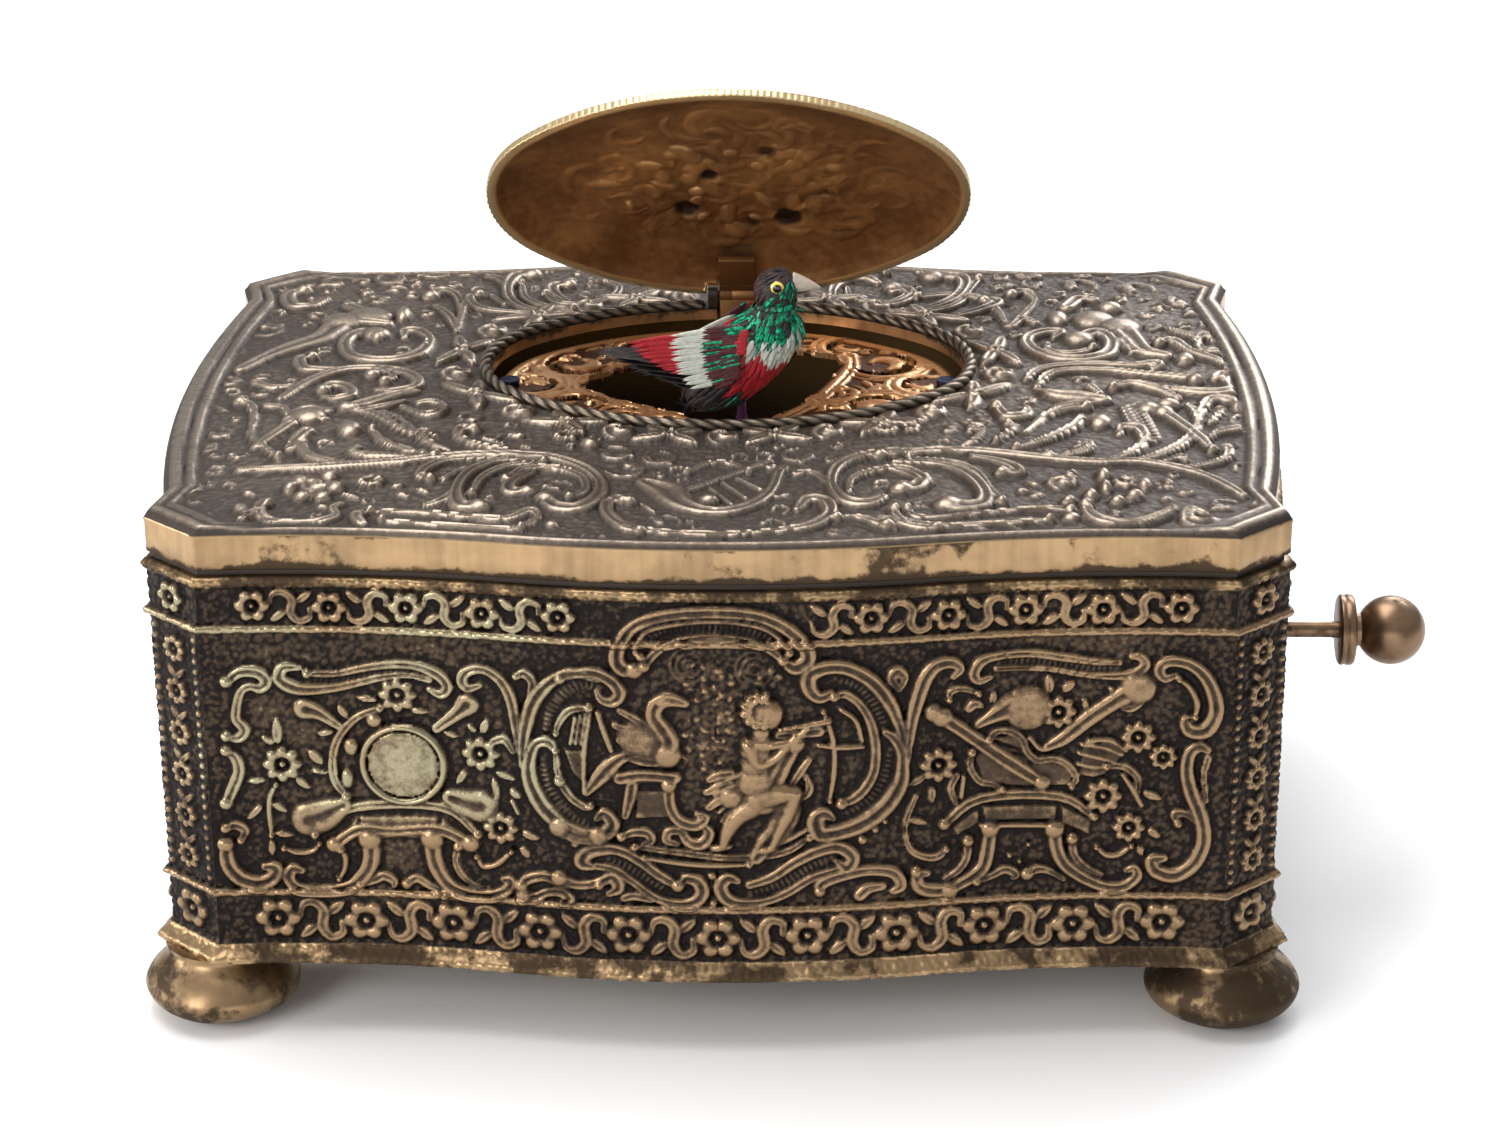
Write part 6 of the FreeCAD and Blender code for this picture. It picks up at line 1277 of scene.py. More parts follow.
# Finishes
class Wire:
    """A shader output that can be used in sums."""

    def __init__(self, finish: "Finish", socket: bpy.types.NodeSocket) -> None:
        """Keeps the socket and the material it belongs to.

        Args:
            finish: The material.
            socket: The output.
        """
        self.finish = finish
        self.socket = socket

    def _math(self, operation: str, other: "Wire | float", swap: bool = False) -> "Wire":
        """Adds a node that combines two values.

        Args:
            operation: What the node does.
            other: The other value.
            swap: Whether the other value comes first.

        Returns:
            The result.
        """
        sides = (other, self) if swap else (self, other)
        return self.finish.add("ShaderNodeMath", {0: sides[0], 1: sides[1]},
                               operation=operation)

    def __add__(self, other: "Wire | float") -> "Wire":
        """This value plus another."""
        return self._math("ADD", other)

    def __radd__(self, other: "Wire | float") -> "Wire":
        """Another value plus this one."""
        return self._math("ADD", other, True)

    def __sub__(self, other: "Wire | float") -> "Wire":
        """This value less another."""
        return self._math("SUBTRACT", other)

    def __rsub__(self, other: "Wire | float") -> "Wire":
        """Another value less this one."""
        return self._math("SUBTRACT", other, True)

    def __mul__(self, other: "Wire | float") -> "Wire":
        """This value times another."""
        return self._math("MULTIPLY", other)

    def __rmul__(self, other: "Wire | float") -> "Wire":
        """Another value times this one."""
        return self._math("MULTIPLY", other, True)

    def ramp(self, low: float, high: float) -> "Wire":
        """A smooth step from 0 to 1 between two values.

        Args:
            low: The value that gives 0.
            high: The value that gives 1.

        Returns:
            The result.
        """
        return self.finish.add("ShaderNodeMapRange", {
            "Value": self, "From Min": low, "From Max": high}, interpolation_type="SMOOTHSTEP")


class Finish:
    """A procedural material built on one principled shader."""

    def __init__(self, name: str) -> None:
        """Starts an empty material.

        Args:
            name: Name of the material.
        """
        self.material = bpy.data.materials.new(name)
        self.material.use_nodes = True
        self.nodes = self.material.node_tree.nodes
        self.links = self.material.node_tree.links
        self.shader = self.nodes["Principled BSDF"]

    def add(self, kind: str, inputs: dict | None = None, output: int | str = 0,
            **props: object) -> Wire:
        """Adds any node.

        Args:
            kind: The node's type.
            inputs: Values or Wires by socket name or number.
            output: Which output to return.
            props: Settings of the node itself.

        Returns:
            A Wire from the chosen output.
        """
        node = self.nodes.new(kind)
        for key, value in props.items():
            setattr(node, key, value)
        for key, value in (inputs or {}).items():
            self.feed(node.inputs[key], value)
        return Wire(self, node.outputs[output])

    def feed(self, socket: bpy.types.NodeSocket, value: Wire | Colour | float) -> None:
        """Links a Wire to a socket, or sets a constant on it.

        Args:
            socket: The input.
            value: What it takes.
        """
        if isinstance(value, Wire):
            self.links.new(value.socket, socket)
        elif isinstance(value, tuple) and len(value) == 3 and socket.type == "RGBA":
            socket.default_value = (*value, 1)
        else:
            socket.default_value = value

    def attribute(self, name: str) -> Wire:
        """A value kept on the mesh."""
        return self.add("ShaderNodeAttribute", output="Fac", attribute_name=name)

    def noise(self, scale: float, detail: float = 4.0, rough: float = 0.55,
              stretch: Place = (1, 1, 1)) -> Wire:
        """Noise over the object's own coordinates, from 0 to 1.

        Args:
            scale: Waves per millimetre.
            detail: Octaves of finer noise.
            rough: Share of the finer octaves.
            stretch: Factors on the three axes.

        Returns:
            A value from 0 to 1.
        """
        place = self.add("ShaderNodeTexCoord", output="Object")
        size = tuple(scale * 1000 * share for share in stretch)
        place = self.add("ShaderNodeVectorMath", {0: place, 1: size}, operation="MULTIPLY")
        return self.add("ShaderNodeTexNoise", {
            "Vector": place, "Scale": 1.0, "Detail": detail, "Roughness": rough})

    def mix(self, factor: Wire | float, low: Wire | Colour, high: Wire | Colour) -> Wire:
        """A colour between two colours.

        Args:
            factor: Share of the second colour.
            low: The value or colour at 0.
            high: The value or colour at 1.

        Returns:
            The mixed colour.
        """
        node = self.nodes.new("ShaderNodeMix")
        node.data_type = "RGBA"
        self.feed(node.inputs[0], factor)
        self.feed(node.inputs[6], low)
        self.feed(node.inputs[7], high)
        return Wire(self, node.outputs[2])

    def bump(self, height: Wire, strength: float, distance: float = 0.0001) -> None:
        """Roughens the surface.

        Args:
            height: What the bumps follow.
            strength: How strong it is.
            distance: Depth of the bumps, in metres.
        """
        normal = self.add("ShaderNodeBump", {
            "Height": height, "Strength": strength, "Distance": distance}, output="Normal")
        self.feed(self.shader.inputs["Normal"], normal)

    def split(self, axis: str) -> Wire:
        """One of the object's own coordinates.

        Args:
            axis: "X", "Y" or "Z".

        Returns:
            The coordinate, in metres.
        """
        place = self.add("ShaderNodeTexCoord", output="Object")
        return self.add("ShaderNodeSeparateXYZ", {0: place}, output=axis)

    def surface(self, **sockets: Wire | Colour | float) -> bpy.types.Material:
        """Sets sockets of the shader.

        Args:
            sockets: Values by name, with underscores for spaces.

        Returns:
            The finished material.
        """
        for key, value in sockets.items():
            self.feed(self.shader.inputs[key.replace("_", " ")], value)
        return self.material


@dataclass(frozen=True)
class Chased:
    """Oxidised metal: dark in the hollows, worn bright on the relief.

    Args:
        ground: Colour of the hollows.
        middle: Colour of the flanks.
        bright: Colour of the worn tops.
        start: How much wear shows the bright colour.
        rough: Roughness of the tops.
        green: Share of greenish tarnish on the left.
    """

    ground: Colour
    middle: Colour
    bright: Colour
    start: float = 0.42
    rough: float = 0.42
    green: float = 0.0

    def make(self, name: str) -> bpy.types.Material:
        """Builds the material.

        Args:
            name: Its name.

        Returns:
            The material.
        """
        finish = Finish(name)
        tall, wear = finish.attribute("tall"), finish.attribute("wear")
        broad, fine = finish.noise(0.05), finish.noise(1.3, 5.0, 0.65)
        level = tall * 0.36 + wear * 0.64 + (broad - 0.5) * 0.65 + (fine - 0.5) * 0.75
        colour = finish.mix(level.ramp(self.start - 0.28, self.start), self.ground, self.middle)
        top = self.bright
        if self.green:
            along, high = finish.split("X") * 1000, finish.split("Z") * 1000
            patch = along.ramp(-8.0, -16.0) * high.ramp(20.0, 26.0)
            patch = patch * finish.noise(0.1).ramp(0.3, 0.6)
            top = finish.mix(patch * self.green, self.bright, (0.38, 0.38, 0.25))
        colour = finish.mix(level.ramp(self.start, self.start + 0.36), colour, top)
        colour = finish.mix(finish.attribute("plain"), colour, (0.34, 0.24, 0.12))
        finish.bump(finish.noise(2.6, 4.0), 0.4)
        return finish.surface(Base_Color=colour, Metallic=0.9,
                              Roughness=self.rough + 0.28 - level.ramp(0.2, 0.9) * 0.28)


@dataclass(frozen=True)
class WornGilt:
    """Plain gilt, finely brushed, with dark blotches of tarnish.

    Args:
        gold: Colour of the clean metal.
        patches: Noise level above which it is tarnished.
        brushed: Whether it has fine upright brush lines.
        edges: Whether tarnish gathers at the cover band's edges.
    """

    gold: Colour
    patches: float = 0.62
    brushed: bool = True
    edges: bool = False

    def make(self, name: str) -> bpy.types.Material:
        """Builds the material.

        Args:
            name: Its name.

        Returns:
            The material.
        """
        finish = Finish(name)
        blotch = finish.noise(0.11, 6.0, 0.62)
        specks = finish.noise(0.5, 4.0, 0.6)
        amount = blotch * 0.7 + specks * 0.3
        if self.edges:
            low = (finish.split("Z") * 1000).ramp(48.9, 47.6)
            high = (finish.split("Z") * 1000).ramp(50.7, 51.5)
            amount = amount + low * 0.16 + high * 0.07
        dark = amount.ramp(self.patches - 0.05, self.patches + 0.03)
        lines = finish.noise(0.9, 2.0, 0.5, (1, 1, 0.02) if self.brushed else (1, 1, 1))
        lines = lines * 0.35 + finish.noise(0.2, 4.0, 0.6) * 0.65
        warm = finish.mix(lines.ramp(0.35, 0.65), tuple(c * 0.66 for c in self.gold), self.gold)
        colour = finish.mix(dark * 0.9, warm, (0.045, 0.03, 0.02))
        finish.bump(lines, 0.12)
        return finish.surface(Base_Color=colour, Metallic=0.95,
                              Roughness=0.34 + dark * 0.25 + (specks - 0.5) * 0.1)


@dataclass(frozen=True)
class PlainMetal:
    """Machined metal with a faint grain.

    Args:
        colour: Its colour.
        rough: Its roughness.
        metallic: How metallic it is.
    """

    colour: Colour
    rough: float = 0.35
    metallic: float = 1.0

    def make(self, name: str) -> bpy.types.Material:
        """Builds the material.

        Args:
            name: Its name.

        Returns:
            The material.
        """
        finish = Finish(name)
        grain = finish.noise(0.6, 3.0)
        shade = finish.mix(grain, tuple(c * 0.72 for c in self.colour), self.colour)
        finish.bump(finish.noise(4.0, 2.0), 0.08)
        return finish.surface(Base_Color=shade, Metallic=self.metallic,
                              Roughness=self.rough + (grain - 0.5) * 0.15)


@dataclass(frozen=True)
class SoftMatter:
    """Leather, board, horn and other dull matter.

    Args:
        colour: Its colour.
        rough: Its roughness.
        shine: Weight of a clear coat.
    """

    colour: Colour
    rough: float = 0.7
    shine: float = 0.0

    def make(self, name: str) -> bpy.types.Material:
        """Builds the material.

        Args:
            name: Its name.

        Returns:
            The material.
        """
        finish = Finish(name)
        grain = finish.noise(1.2, 4.0)
        shade = finish.mix(grain, tuple(c * 0.6 for c in self.colour), self.colour)
        finish.bump(grain, 0.3)
        return finish.surface(Base_Color=shade, Roughness=self.rough, Coat_Weight=self.shine)


@dataclass(frozen=True)
class Plumage:
    """Feathers: near black, tinted green, red or white by the mesh."""

    def make(self, name: str) -> bpy.types.Material:
        """Builds the material.

        Args:
            name: Its name.

        Returns:
            The material.
        """
        finish = Finish(name)
        green, red = finish.attribute("green"), finish.attribute("red")
        pale = finish.attribute("pale")
        fine = finish.noise(2.2, 3.0)
        streak = finish.noise(1.1, 3.0)
        brown = finish.mix(streak.ramp(0.4, 0.7), (0.006, 0.005, 0.008), (0.034, 0.019, 0.014))
        emerald = finish.mix(fine.ramp(0.35, 0.65), (0.0, 0.08, 0.045), (0.0, 0.45, 0.22))
        colour = finish.mix(green.ramp(0.1, 0.9), brown, emerald)
        ruby = finish.mix(fine, (0.2, 0.003, 0.008), (0.52, 0.007, 0.018))
        colour = finish.mix(red, colour, ruby)
        white = finish.mix(fine, (0.34, 0.36, 0.3), (0.68, 0.7, 0.62))
        colour = finish.mix(pale, colour, white)
        finish.bump(finish.noise(5.0, 2.0, 0.5, (0.5, 1, 1)), 0.5)
        return finish.surface(Base_Color=colour, Roughness=0.65 - green * 0.35,
                              Metallic=green * 0.6)


@dataclass(frozen=True)
class LidGilt:
    """The lid's inside: brown gilt with painted shade in its hollows, and a bright milled rim."""

    def make(self, name: str) -> bpy.types.Material:
        """Builds the material.

        Args:
            name: Its name.

        Returns:
            The material.
        """
        finish = Finish(name)
        tall, rim, deep = (finish.attribute(key) for key in ("tall", "rim", "deep"))
        broad, fine = finish.noise(0.12, 5.0, 0.6), finish.noise(0.9, 4.0)
        level = tall * 0.5 + (broad - 0.5) * 0.9 + (fine - 0.5) * 0.4
        colour = finish.mix(level.ramp(0.0, 0.6), (0.19, 0.095, 0.038), (0.56, 0.31, 0.125))
        # Painted shade: the hollows turn near black, following the 'deep' value kept on the mesh.
        colour = finish.mix(deep.ramp(0.15, 0.6), colour, (0.035, 0.02, 0.012))
        colour = finish.mix(rim, colour, (0.62, 0.47, 0.26))
        finish.bump(fine, 0.3)
        return finish.surface(Base_Color=colour, Metallic=0.85, Roughness=0.5 - rim * 0.15)


@dataclass(frozen=True)
class RoseGilt:
    """Rose gilt with brown hollows in its engraving."""

    def make(self, name: str) -> bpy.types.Material:
        """Builds the material.

        Args:
            name: Its name.

        Returns:
            The material.
        """
        finish = Finish(name)
        level = finish.attribute("tall") + (finish.noise(1.2, 4.0) - 0.5) * 0.6
        colour = finish.mix(level.ramp(0.0, 0.55), (0.12, 0.05, 0.022), (0.86, 0.5, 0.25))
        finish.bump(finish.noise(2.0, 3.0), 0.35)
        return finish.surface(Base_Color=colour, Metallic=0.9, Roughness=0.33)


@dataclass(frozen=True)
class EyeGlass:
    """Yellow glass with a black pupil and a dark rim."""

    def make(self, name: str) -> bpy.types.Material:
        """Builds the material.

        Args:
            name: Its name.

        Returns:
            The material.
        """
        finish = Finish(name)
        mark = finish.attribute("tall")
        pupil, rim = mark.ramp(0.7, 0.8), mark.ramp(0.2, 0.4)
        colour = finish.mix(rim, (0.8, 0.6, 0.08), (0.03, 0.025, 0.02))
        colour = finish.mix(pupil, colour, (0.002, 0.002, 0.002))
        return finish.surface(Base_Color=colour, Roughness=0.12, Coat_Weight=0.6)


FINISHES = {
    Look.WALLS: Chased((0.014, 0.011, 0.010), (0.065, 0.044, 0.029), (0.29, 0.19, 0.105),
                       0.5, 0.26, 0.6),
    Look.COVER: Chased((0.065, 0.052, 0.044), (0.12, 0.095, 0.077), (0.30, 0.24, 0.185),
                       0.5, 0.32),
    Look.ROPE: Chased((0.03, 0.025, 0.02), (0.10, 0.08, 0.06), (0.24, 0.19, 0.14), 0.5, 0.4),
    Look.BAND: WornGilt((0.47, 0.31, 0.165), 0.585, True, True),
    Look.TRIM: WornGilt((0.38, 0.255, 0.135), 0.5, False),
    Look.FEET: WornGilt((0.33, 0.22, 0.12), 0.5, False),
    Look.KNOB: WornGilt((0.26, 0.165, 0.10), 0.6, False),
    Look.LID: LidGilt(),
    Look.GRILLE: RoseGilt(),
    Look.BRASS: PlainMetal((0.72, 0.48, 0.21), 0.5, 0.6),
    Look.STEEL: PlainMetal((0.55, 0.55, 0.55), 0.3),
    Look.DARK: PlainMetal((0.07, 0.055, 0.045), 0.45),
    Look.BLUED: PlainMetal((0.03, 0.05, 0.13), 0.28),
    Look.LEATHER: SoftMatter((0.55, 0.42, 0.28)),
    Look.BOARD: SoftMatter((0.24, 0.15, 0.09), 0.6),
    Look.PLUMAGE: Plumage(),
    Look.BEAK: SoftMatter((0.5, 0.42, 0.33), 0.35, 0.4),
    Look.DARK_BEAK: SoftMatter((0.07, 0.05, 0.045), 0.4, 0.3),
    Look.EYE: EyeGlass(),
    Look.STEM: PlainMetal((0.10, 0.03, 0.10), 0.4, 0.3)}

NODE_LOOKS = {
    Look.BRASS: ("main_plate", "bridge_plate", "great_wheel", "barrel_drum", "barrel_cap",
              "cam_wheel", "bird_carriage", "carriage_bearings", "slide_guide", "plate_stands",
              "frame_pillars", "worm_wheel", "worm_cocks", "wind_chest", "whistle_tube",
              "grille_frame", "bellows_eccentric", "ratchet_wheel"),
    Look.STEEL: ("cam_arbor", "cam_stack", "crank_arbor", "worm_shaft", "winding_arbor",
              "ratchet_click", "bellows_lever", "bellows_hinge_rod", "whistle_piston",
              "fly_vanes"),
    Look.DARK: ("hinge_ears", "hinge_pin"),
    Look.BLUED: ("mainspring", "click_screw", "frame_screws", "foot_screws", "grille_screws"),
    Look.LEATHER: ("bellows_leather",),
    Look.BOARD: ("bellows_fixed_board", "bellows_moving_board"),
    Look.KNOB: ("start_rod",),
    Look.FEET: ("base_plate",),
    Look.STEM: ("bird_stem",)}


Looks = dict[Look, bpy.types.Material]


def dress(obj: bpy.types.Object, finish: bpy.types.Material | list[bpy.types.Material],
          body: str, slot: str, *nodes: str) -> bpy.types.Object:
    """Gives a piece its material and body, and hides the CAD nodes it stands for.

    Args:
        obj: The piece.
        finish: A material or a list of them.
        body: The CAD body it rides on.
        slot: A material slot's name; not used.
        nodes: The CAD nodes it stands for.

    Returns:
        The piece.
    """
    for material in finish if isinstance(finish, list) else [finish]:
        obj.data.materials.append(material)
    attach(obj, body)
    if nodes:
        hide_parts(*nodes)
    return obj


def paint_where(obj: bpy.types.Object, rule: Callable[[np.ndarray], np.ndarray],
                index: int) -> None:
    """Gives faces another of the piece's materials by the middle of the face.

    Args:
        obj: The piece.
        rule: Function of an array of face middles, in millimetres.
        index: The material's number.
    """
    data = obj.data
    middles = np.zeros(len(data.polygons) * 3, np.float32)
    data.polygons.foreach_get("center", middles)
    chosen = rule(middles.reshape(-1, 3) / MM)
    numbers = np.zeros(len(data.polygons), np.int32)
    data.polygons.foreach_get("material_index", numbers)
    numbers[chosen] = index
    data.polygons.foreach_set("material_index", numbers)
    data.update()


# Case
# Curl of a frieze leaf: shares of its room, its height and its thickness
SCROLL_SHARES = (
    (-0.95, -0.1, 0.45), (-0.8, -0.7, 0.7), (-0.3, -0.82, 0.95), (0.08, -0.4, 1.1),
    (0.0, 0.35, 1.1), (0.35, 0.82, 0.95), (0.85, 0.65, 0.8), (0.85, 0.15, 0.6))


@dataclass(frozen=True)
class Frieze:
    """A band of ring flowers with fat curled leaves between each two.

    Args:
        middle: Height of its centre line.
        half: Half its height.
        pitch: Rough distance between flowers.
        arched: Whether the arched scroll of the front breaks it.
        arch: Where that scroll starts and ends.
    """

    middle: float
    half: float
    pitch: float
    arched: bool = False
    arch: Spot = (-13.6, 8.4)

    def busy(self, x: float) -> bool:
        """Whether the arched scroll breaks the frieze here."""
        return self.arched and self.arch[0] < x < self.arch[1]

    def draw(self, relief: Relief, start: float, end: float) -> None:
        """Draws the frieze.

        Args:
            relief: The Relief to draw on.
            start: Where the row starts.
            end: Where the row ends.
        """
        count = max(1, round((end - start) / self.pitch))
        step = (end - start) / count
        middle, half = self.middle, self.half
        for index in range(count):
            x = start + step * (index + 0.5)
            way = 1 if index % 2 else -1
            if not self.busy(x):
                relief.flower(x, middle - way * half * 0.04, half * 1.02, 0.66, 6)
            between = x + step / 2
            if index == count - 1 or self.busy(between):
                continue
            room = step / 2 - half * 0.9
            thick = half * 0.3
            relief.stroke([(between + room * u, middle + way * half * v, thick * w)
                           for u, v, w in SCROLL_SHARES], 0.7, 4, 0.0, 0.35)
            for u, v, tip_u, tip_v in ((0.3, -0.25, 1.0, -0.9), (-0.25, 0.25, -1.0, 0.9)):
                relief.leaf(between + room * u, middle + way * half * v,
                            between + room * tip_u, middle + way * half * tip_v, half * 0.3, 0.55)


@dataclass(frozen=True)
class Case:
    """The chased walls of the case, with the recessed step on top of them.

    Args:
        pitch: Step of the front's net.
        pebbles: Distance and height of the pebbles on bare ground.
        ends: How far the front's friezes reach to each side.
        margins: What the end and the corner friezes leave free at their edges.
        front: Friezes of the front.
        side: Friezes of the ends.
        corner: Friezes of the canted corners.
        wide: Least length of a stretch with a string of flowers.
    """

    pitch: float = 0.165
    pebbles: Spot = (0.62, 0.11)
    ends: float = 46.5
    margins: Spot = (1.0, 0.4)
    front: tuple[Frieze, ...] = (Frieze(11.6, 2.25, 8.4), Frieze(44.2, 1.72, 7.2, True))
    side: tuple[Frieze, ...] = (Frieze(11.6, 2.25, 8.4), Frieze(44.2, 1.72, 7.2))
    corner: tuple[Frieze, ...] = (Frieze(11.6, 2.1, 8.0), Frieze(44.2, 1.6, 7.0))
    wide: float = 6.0

    def wall_rows(self, pitch: float) -> np.ndarray:
        """Heights of the rows up a wall, closer together where there is relief.

        Args:
            pitch: Step between places.

        Returns:
            The heights.
        """
        return np.concatenate([
            np.linspace(BOX.rim_z, BOX.rim_z + 0.57, 4)[:-1],
            np.linspace(BOX.rim_z + 0.57, BOX.frieze_z, 8)[:-1],
            np.linspace(BOX.frieze_z, BOX.ridge_z, int(4.9 / pitch))[:-1],
            np.linspace(BOX.ridge_z, BOX.panel_z, 8)[:-1],
            np.linspace(BOX.panel_z, BOX.upper_ridge_z, int(26.4 / pitch))[:-1],
            np.linspace(BOX.upper_ridge_z, BOX.upper_frieze_z, 8)[:-1],
            np.linspace(BOX.upper_frieze_z, BOX.bead_z, int(3.6 / pitch))[:-1],
            np.linspace(BOX.bead_z, BOX.seat_z, 9)])

    def moulding(self, z: np.ndarray) -> np.ndarray:
        """How far the plain mouldings stand out at each height.

        Args:
            z: Heights, in millimetres.

        Returns:
            How far they stand out.
        """
        out = np.zeros_like(z)
        flare = (z >= BOX.rim_z) & (z <= BOX.frieze_z)
        fall = np.clip((z - BOX.rim_z - 0.5) / (BOX.frieze_z - BOX.rim_z - 0.5), 0, 1)
        out[flare] = (1.38 - 1.15 * np.sin(fall * math.pi / 2))[flare]
        for low, high, reach in ((BOX.ridge_z, BOX.panel_z, 0.55),
                                 (BOX.upper_ridge_z, BOX.upper_frieze_z, 0.55),
                                 (BOX.bead_z, BOX.seat_z, 0.45)):
            share = np.clip((z - low) / (high - low), 0, 1)
            out += reach * np.sin(share * math.pi) ** 0.55
        return out

    def drum(self, relief: Relief) -> None:
        """The drum of the left trophy: its head, hoop and shell.

        Args:
            relief: The Relief to draw on.
        """
        x, z, head, hoop = -29.5, 28.3, 3.4, 4.1
        index, a, b = relief.near(x - 5, z - 5, x + 5, z + 5)
        out = np.hypot(a - x, b - z)
        ring = np.clip(1 - ((out - (head + hoop) / 2 - 0.12) / 0.42) ** 2, 0, 1) ** 0.5
        disc = np.where(out < head, 0.62 + 0.06 * np.cos(out), 0)
        relief.lift(index, np.maximum(ring * 0.85, disc))

    def thicket(self, relief: Relief) -> None:
        """The low stippled foliage behind the piper.

        Args:
            relief: The Relief to draw on.
        """
        rng = np.random.default_rng(SEED + 9)
        for x, z, a, b in ((-1.6, 38.6, 2.4, 1.6), (0.4, 36.4, 2.3, 2.0), (-0.6, 33.2, 2.6, 2.0),
                           (-1.0, 30.6, 2.4, 1.6), (3.6, 38.4, 2.4, 1.2)):
            for _ in range(26):
                turn, far = rng.random() * 2 * math.pi, math.sqrt(rng.random())
                relief.egg(x + a * far * math.cos(turn), z + b * far * math.sin(turn),
                           0.2 + 0.3 * rng.random(), 0.2 + 0.22 * rng.random(),
                           180 * rng.random(), 0.16 + 0.18 * rng.random())
        for x, z in ((3.6, 39.4), (-2.4, 39.8)):
            for radius in (0.55, 1.15, 1.75):
                relief.stroke(arc_points(x, z, radius, 40 * radius, 300, 0.24), 0.34, 1)

    def piper(self, relief: Relief) -> None:
        """The little seated piper with the plain round face.

        Args:
            relief: The Relief to draw on.
        """
        for x, z, a, b, turn, high in (
                (4.2, 33.0, 0.9, 0.9, 0, 0.75), (4.0, 31.8, 1.9, 1.0, 0, 0.85),
                (3.8, 29.9, 2.6, 1.6, 82, 0.85), (3.7, 27.9, 2.0, 1.9, 0, 0.98),
                (4.1, 26.0, 2.2, 1.6, 0, 0.9), (4.6, 21.0, 1.3, 0.55, 12, 0.8),
                (0.4, 21.2, 1.3, 0.5, 8, 0.7), (4.6, 34.9, 1.75, 1.85, 0, 0.95)):
            relief.egg(x, z, a, b, turn, high)
        rng = np.random.default_rng(SEED + 10)
        for index in range(17):
            turn = math.radians(60 + 250 * index / 17)
            far = 1.1 + 0.5 * (index % 2)
            relief.egg(4.2 + far * math.cos(turn), 35.4 + far * math.sin(turn), 0.56, 0.46,
                       rng.random() * 180, 1.12)
        for rows in (
                ((3.8, 26.2, 1.5), (5.4, 26.7, 1.45), (7.2, 26.8, 0.95)),
                ((7.2, 26.6, 0.95), (6.6, 24.6, 0.85), (5.7, 22.6, 0.6), (5.2, 21.4, 0.5)),
                ((3.2, 25.4, 1.3), (1.9, 24.4, 1.1), (1.0, 22.8, 0.8), (0.6, 21.4, 0.55)),
                ((3.0, 31.8, 0.85), (3.9, 29.9, 0.75), (5.6, 30.6, 0.6), (7.3, 32.7, 0.42)),
                ((5.2, 31.8, 0.6), (6.8, 32.1, 0.5), (8.4, 33.4, 0.38))):
            relief.stroke(rows, 1.0)
        relief.stroke(((5.9, 33.3, 0.24), (8.2, 33.7, 0.28), (10.4, 34.1, 0.45)), 0.95)
        for index in range(5):
            low = 28.6 - 0.9 * index
            relief.stroke(((2.6, low + 0.3, 0.5), (1.2, low - 0.2, 0.42), (-0.4 + 0.2 * index,
                                                                         low - 1.1, 0.25)), 0.7)

    def side_design(self, relief: Relief, middle: float) -> None:
        """The right-hand trophy of the front, used again on the ends.

        Args:
            relief: The Relief to draw on.
            middle: Where its middle lies along the wall.
        """
        for mark in FRONT_MARKS:
            spots = np.array(mark.spots if isinstance(mark.spots[0], tuple) else [mark.spots[:2]])
            if spots[:, 0].min() > 8.5:
                relief.draw(mark, (middle - 28.0, 0.0))

    def cant_design(self, relief: Relief, length: float) -> None:
        """A string of ring flowers between beaded edges.

        Args:
            relief: The Relief to draw on.
            length: Length of the stretch.
        """
        low, high = BOX.panel_z, BOX.upper_ridge_z
        half = length / 2
        for step in range(6):
            z = low + 2.4 + step * (high - low - 4.8) / 5
            relief.flower(half, z, min(1.5, half * 0.45), 0.6)
            if step < 5:
                up = z + (high - low - 4.8) / 10
                relief.leaf(half, up - 0.9, half - 1.1, up + 0.3, 0.4, 0.5)
                relief.leaf(half, up - 0.9, half + 1.1, up + 0.3, 0.4, 0.5)
        for edge in (0.75, length - 0.75):
            for step in range(24):
                relief.egg(edge, low + 0.8 + step * (high - low - 1.6) / 23, 0.36, 0.36, 0, 0.4)

    def wall(self, name: str, spans: list[Span], design: Callable[[Relief], None], pitch: float,
             part: Spot | None = None) -> bpy.types.Object:
        """One chased wall of the case as a closed piece.

        Args:
            name: Name of the piece.
            spans: The Spans it covers, in order.
            design: Function that draws on its Relief.
            pitch: Step up the wall where there is relief.
            part: Optional (first, last) share of a single span.

        Returns:
            The new object.
        """
        spots = np.vstack([span.spots for span in spans])
        push = np.vstack([span.push for span in spans])
        offsets = np.concatenate([[0], np.cumsum([span.length for span in spans])])
        run = np.concatenate([span.run + start for span, start in zip(spans, offsets)])
        if part:
            count = len(spots) - 1
            keep = slice(round(part[0] * count), round(part[1] * count) + 1)
            spots, push, run = spots[keep], push[keep], run[keep]
        up = self.wall_rows(pitch)
        across, height = np.meshgrid(run, up, indexing="ij")
        relief = Relief(across, height)
        design(relief)
        relief.stipple(*self.pebbles)
        mill = (height > BOX.bead_z + 0.05) & (height < BOX.bead_z + 0.5)
        plain = self.moulding(height)
        plain -= np.where(mill, 0.13 * (np.sin(across * 2 * math.pi / 0.9) > 0), 0)
        flare = (height > BOX.rim_z + 0.5) & (height < BOX.frieze_z - 0.25)
        plain -= np.where(flare, 0.07 * (0.5 + 0.5 * np.sin((across * 0.7 + height) * 9.0)), 0)
        out = plain + relief.height
        inner = np.array([[BOX.seat_z, -BOX.wall], [BOX.rim_z, -BOX.wall]])
        out = np.hstack([out, np.repeat(inner[None, :, 1], len(run), 0)])
        level = np.hstack([height, np.repeat(inner[None, :, 0], len(run), 0)])
        net = np.concatenate([
            spots[:, None, :] + push[:, None, :] * out[:, :, None], level[:, :, None]], -1)
        wear = relief.wear(4)
        band = (height > BOX.ridge_z) & (height < BOX.panel_z)
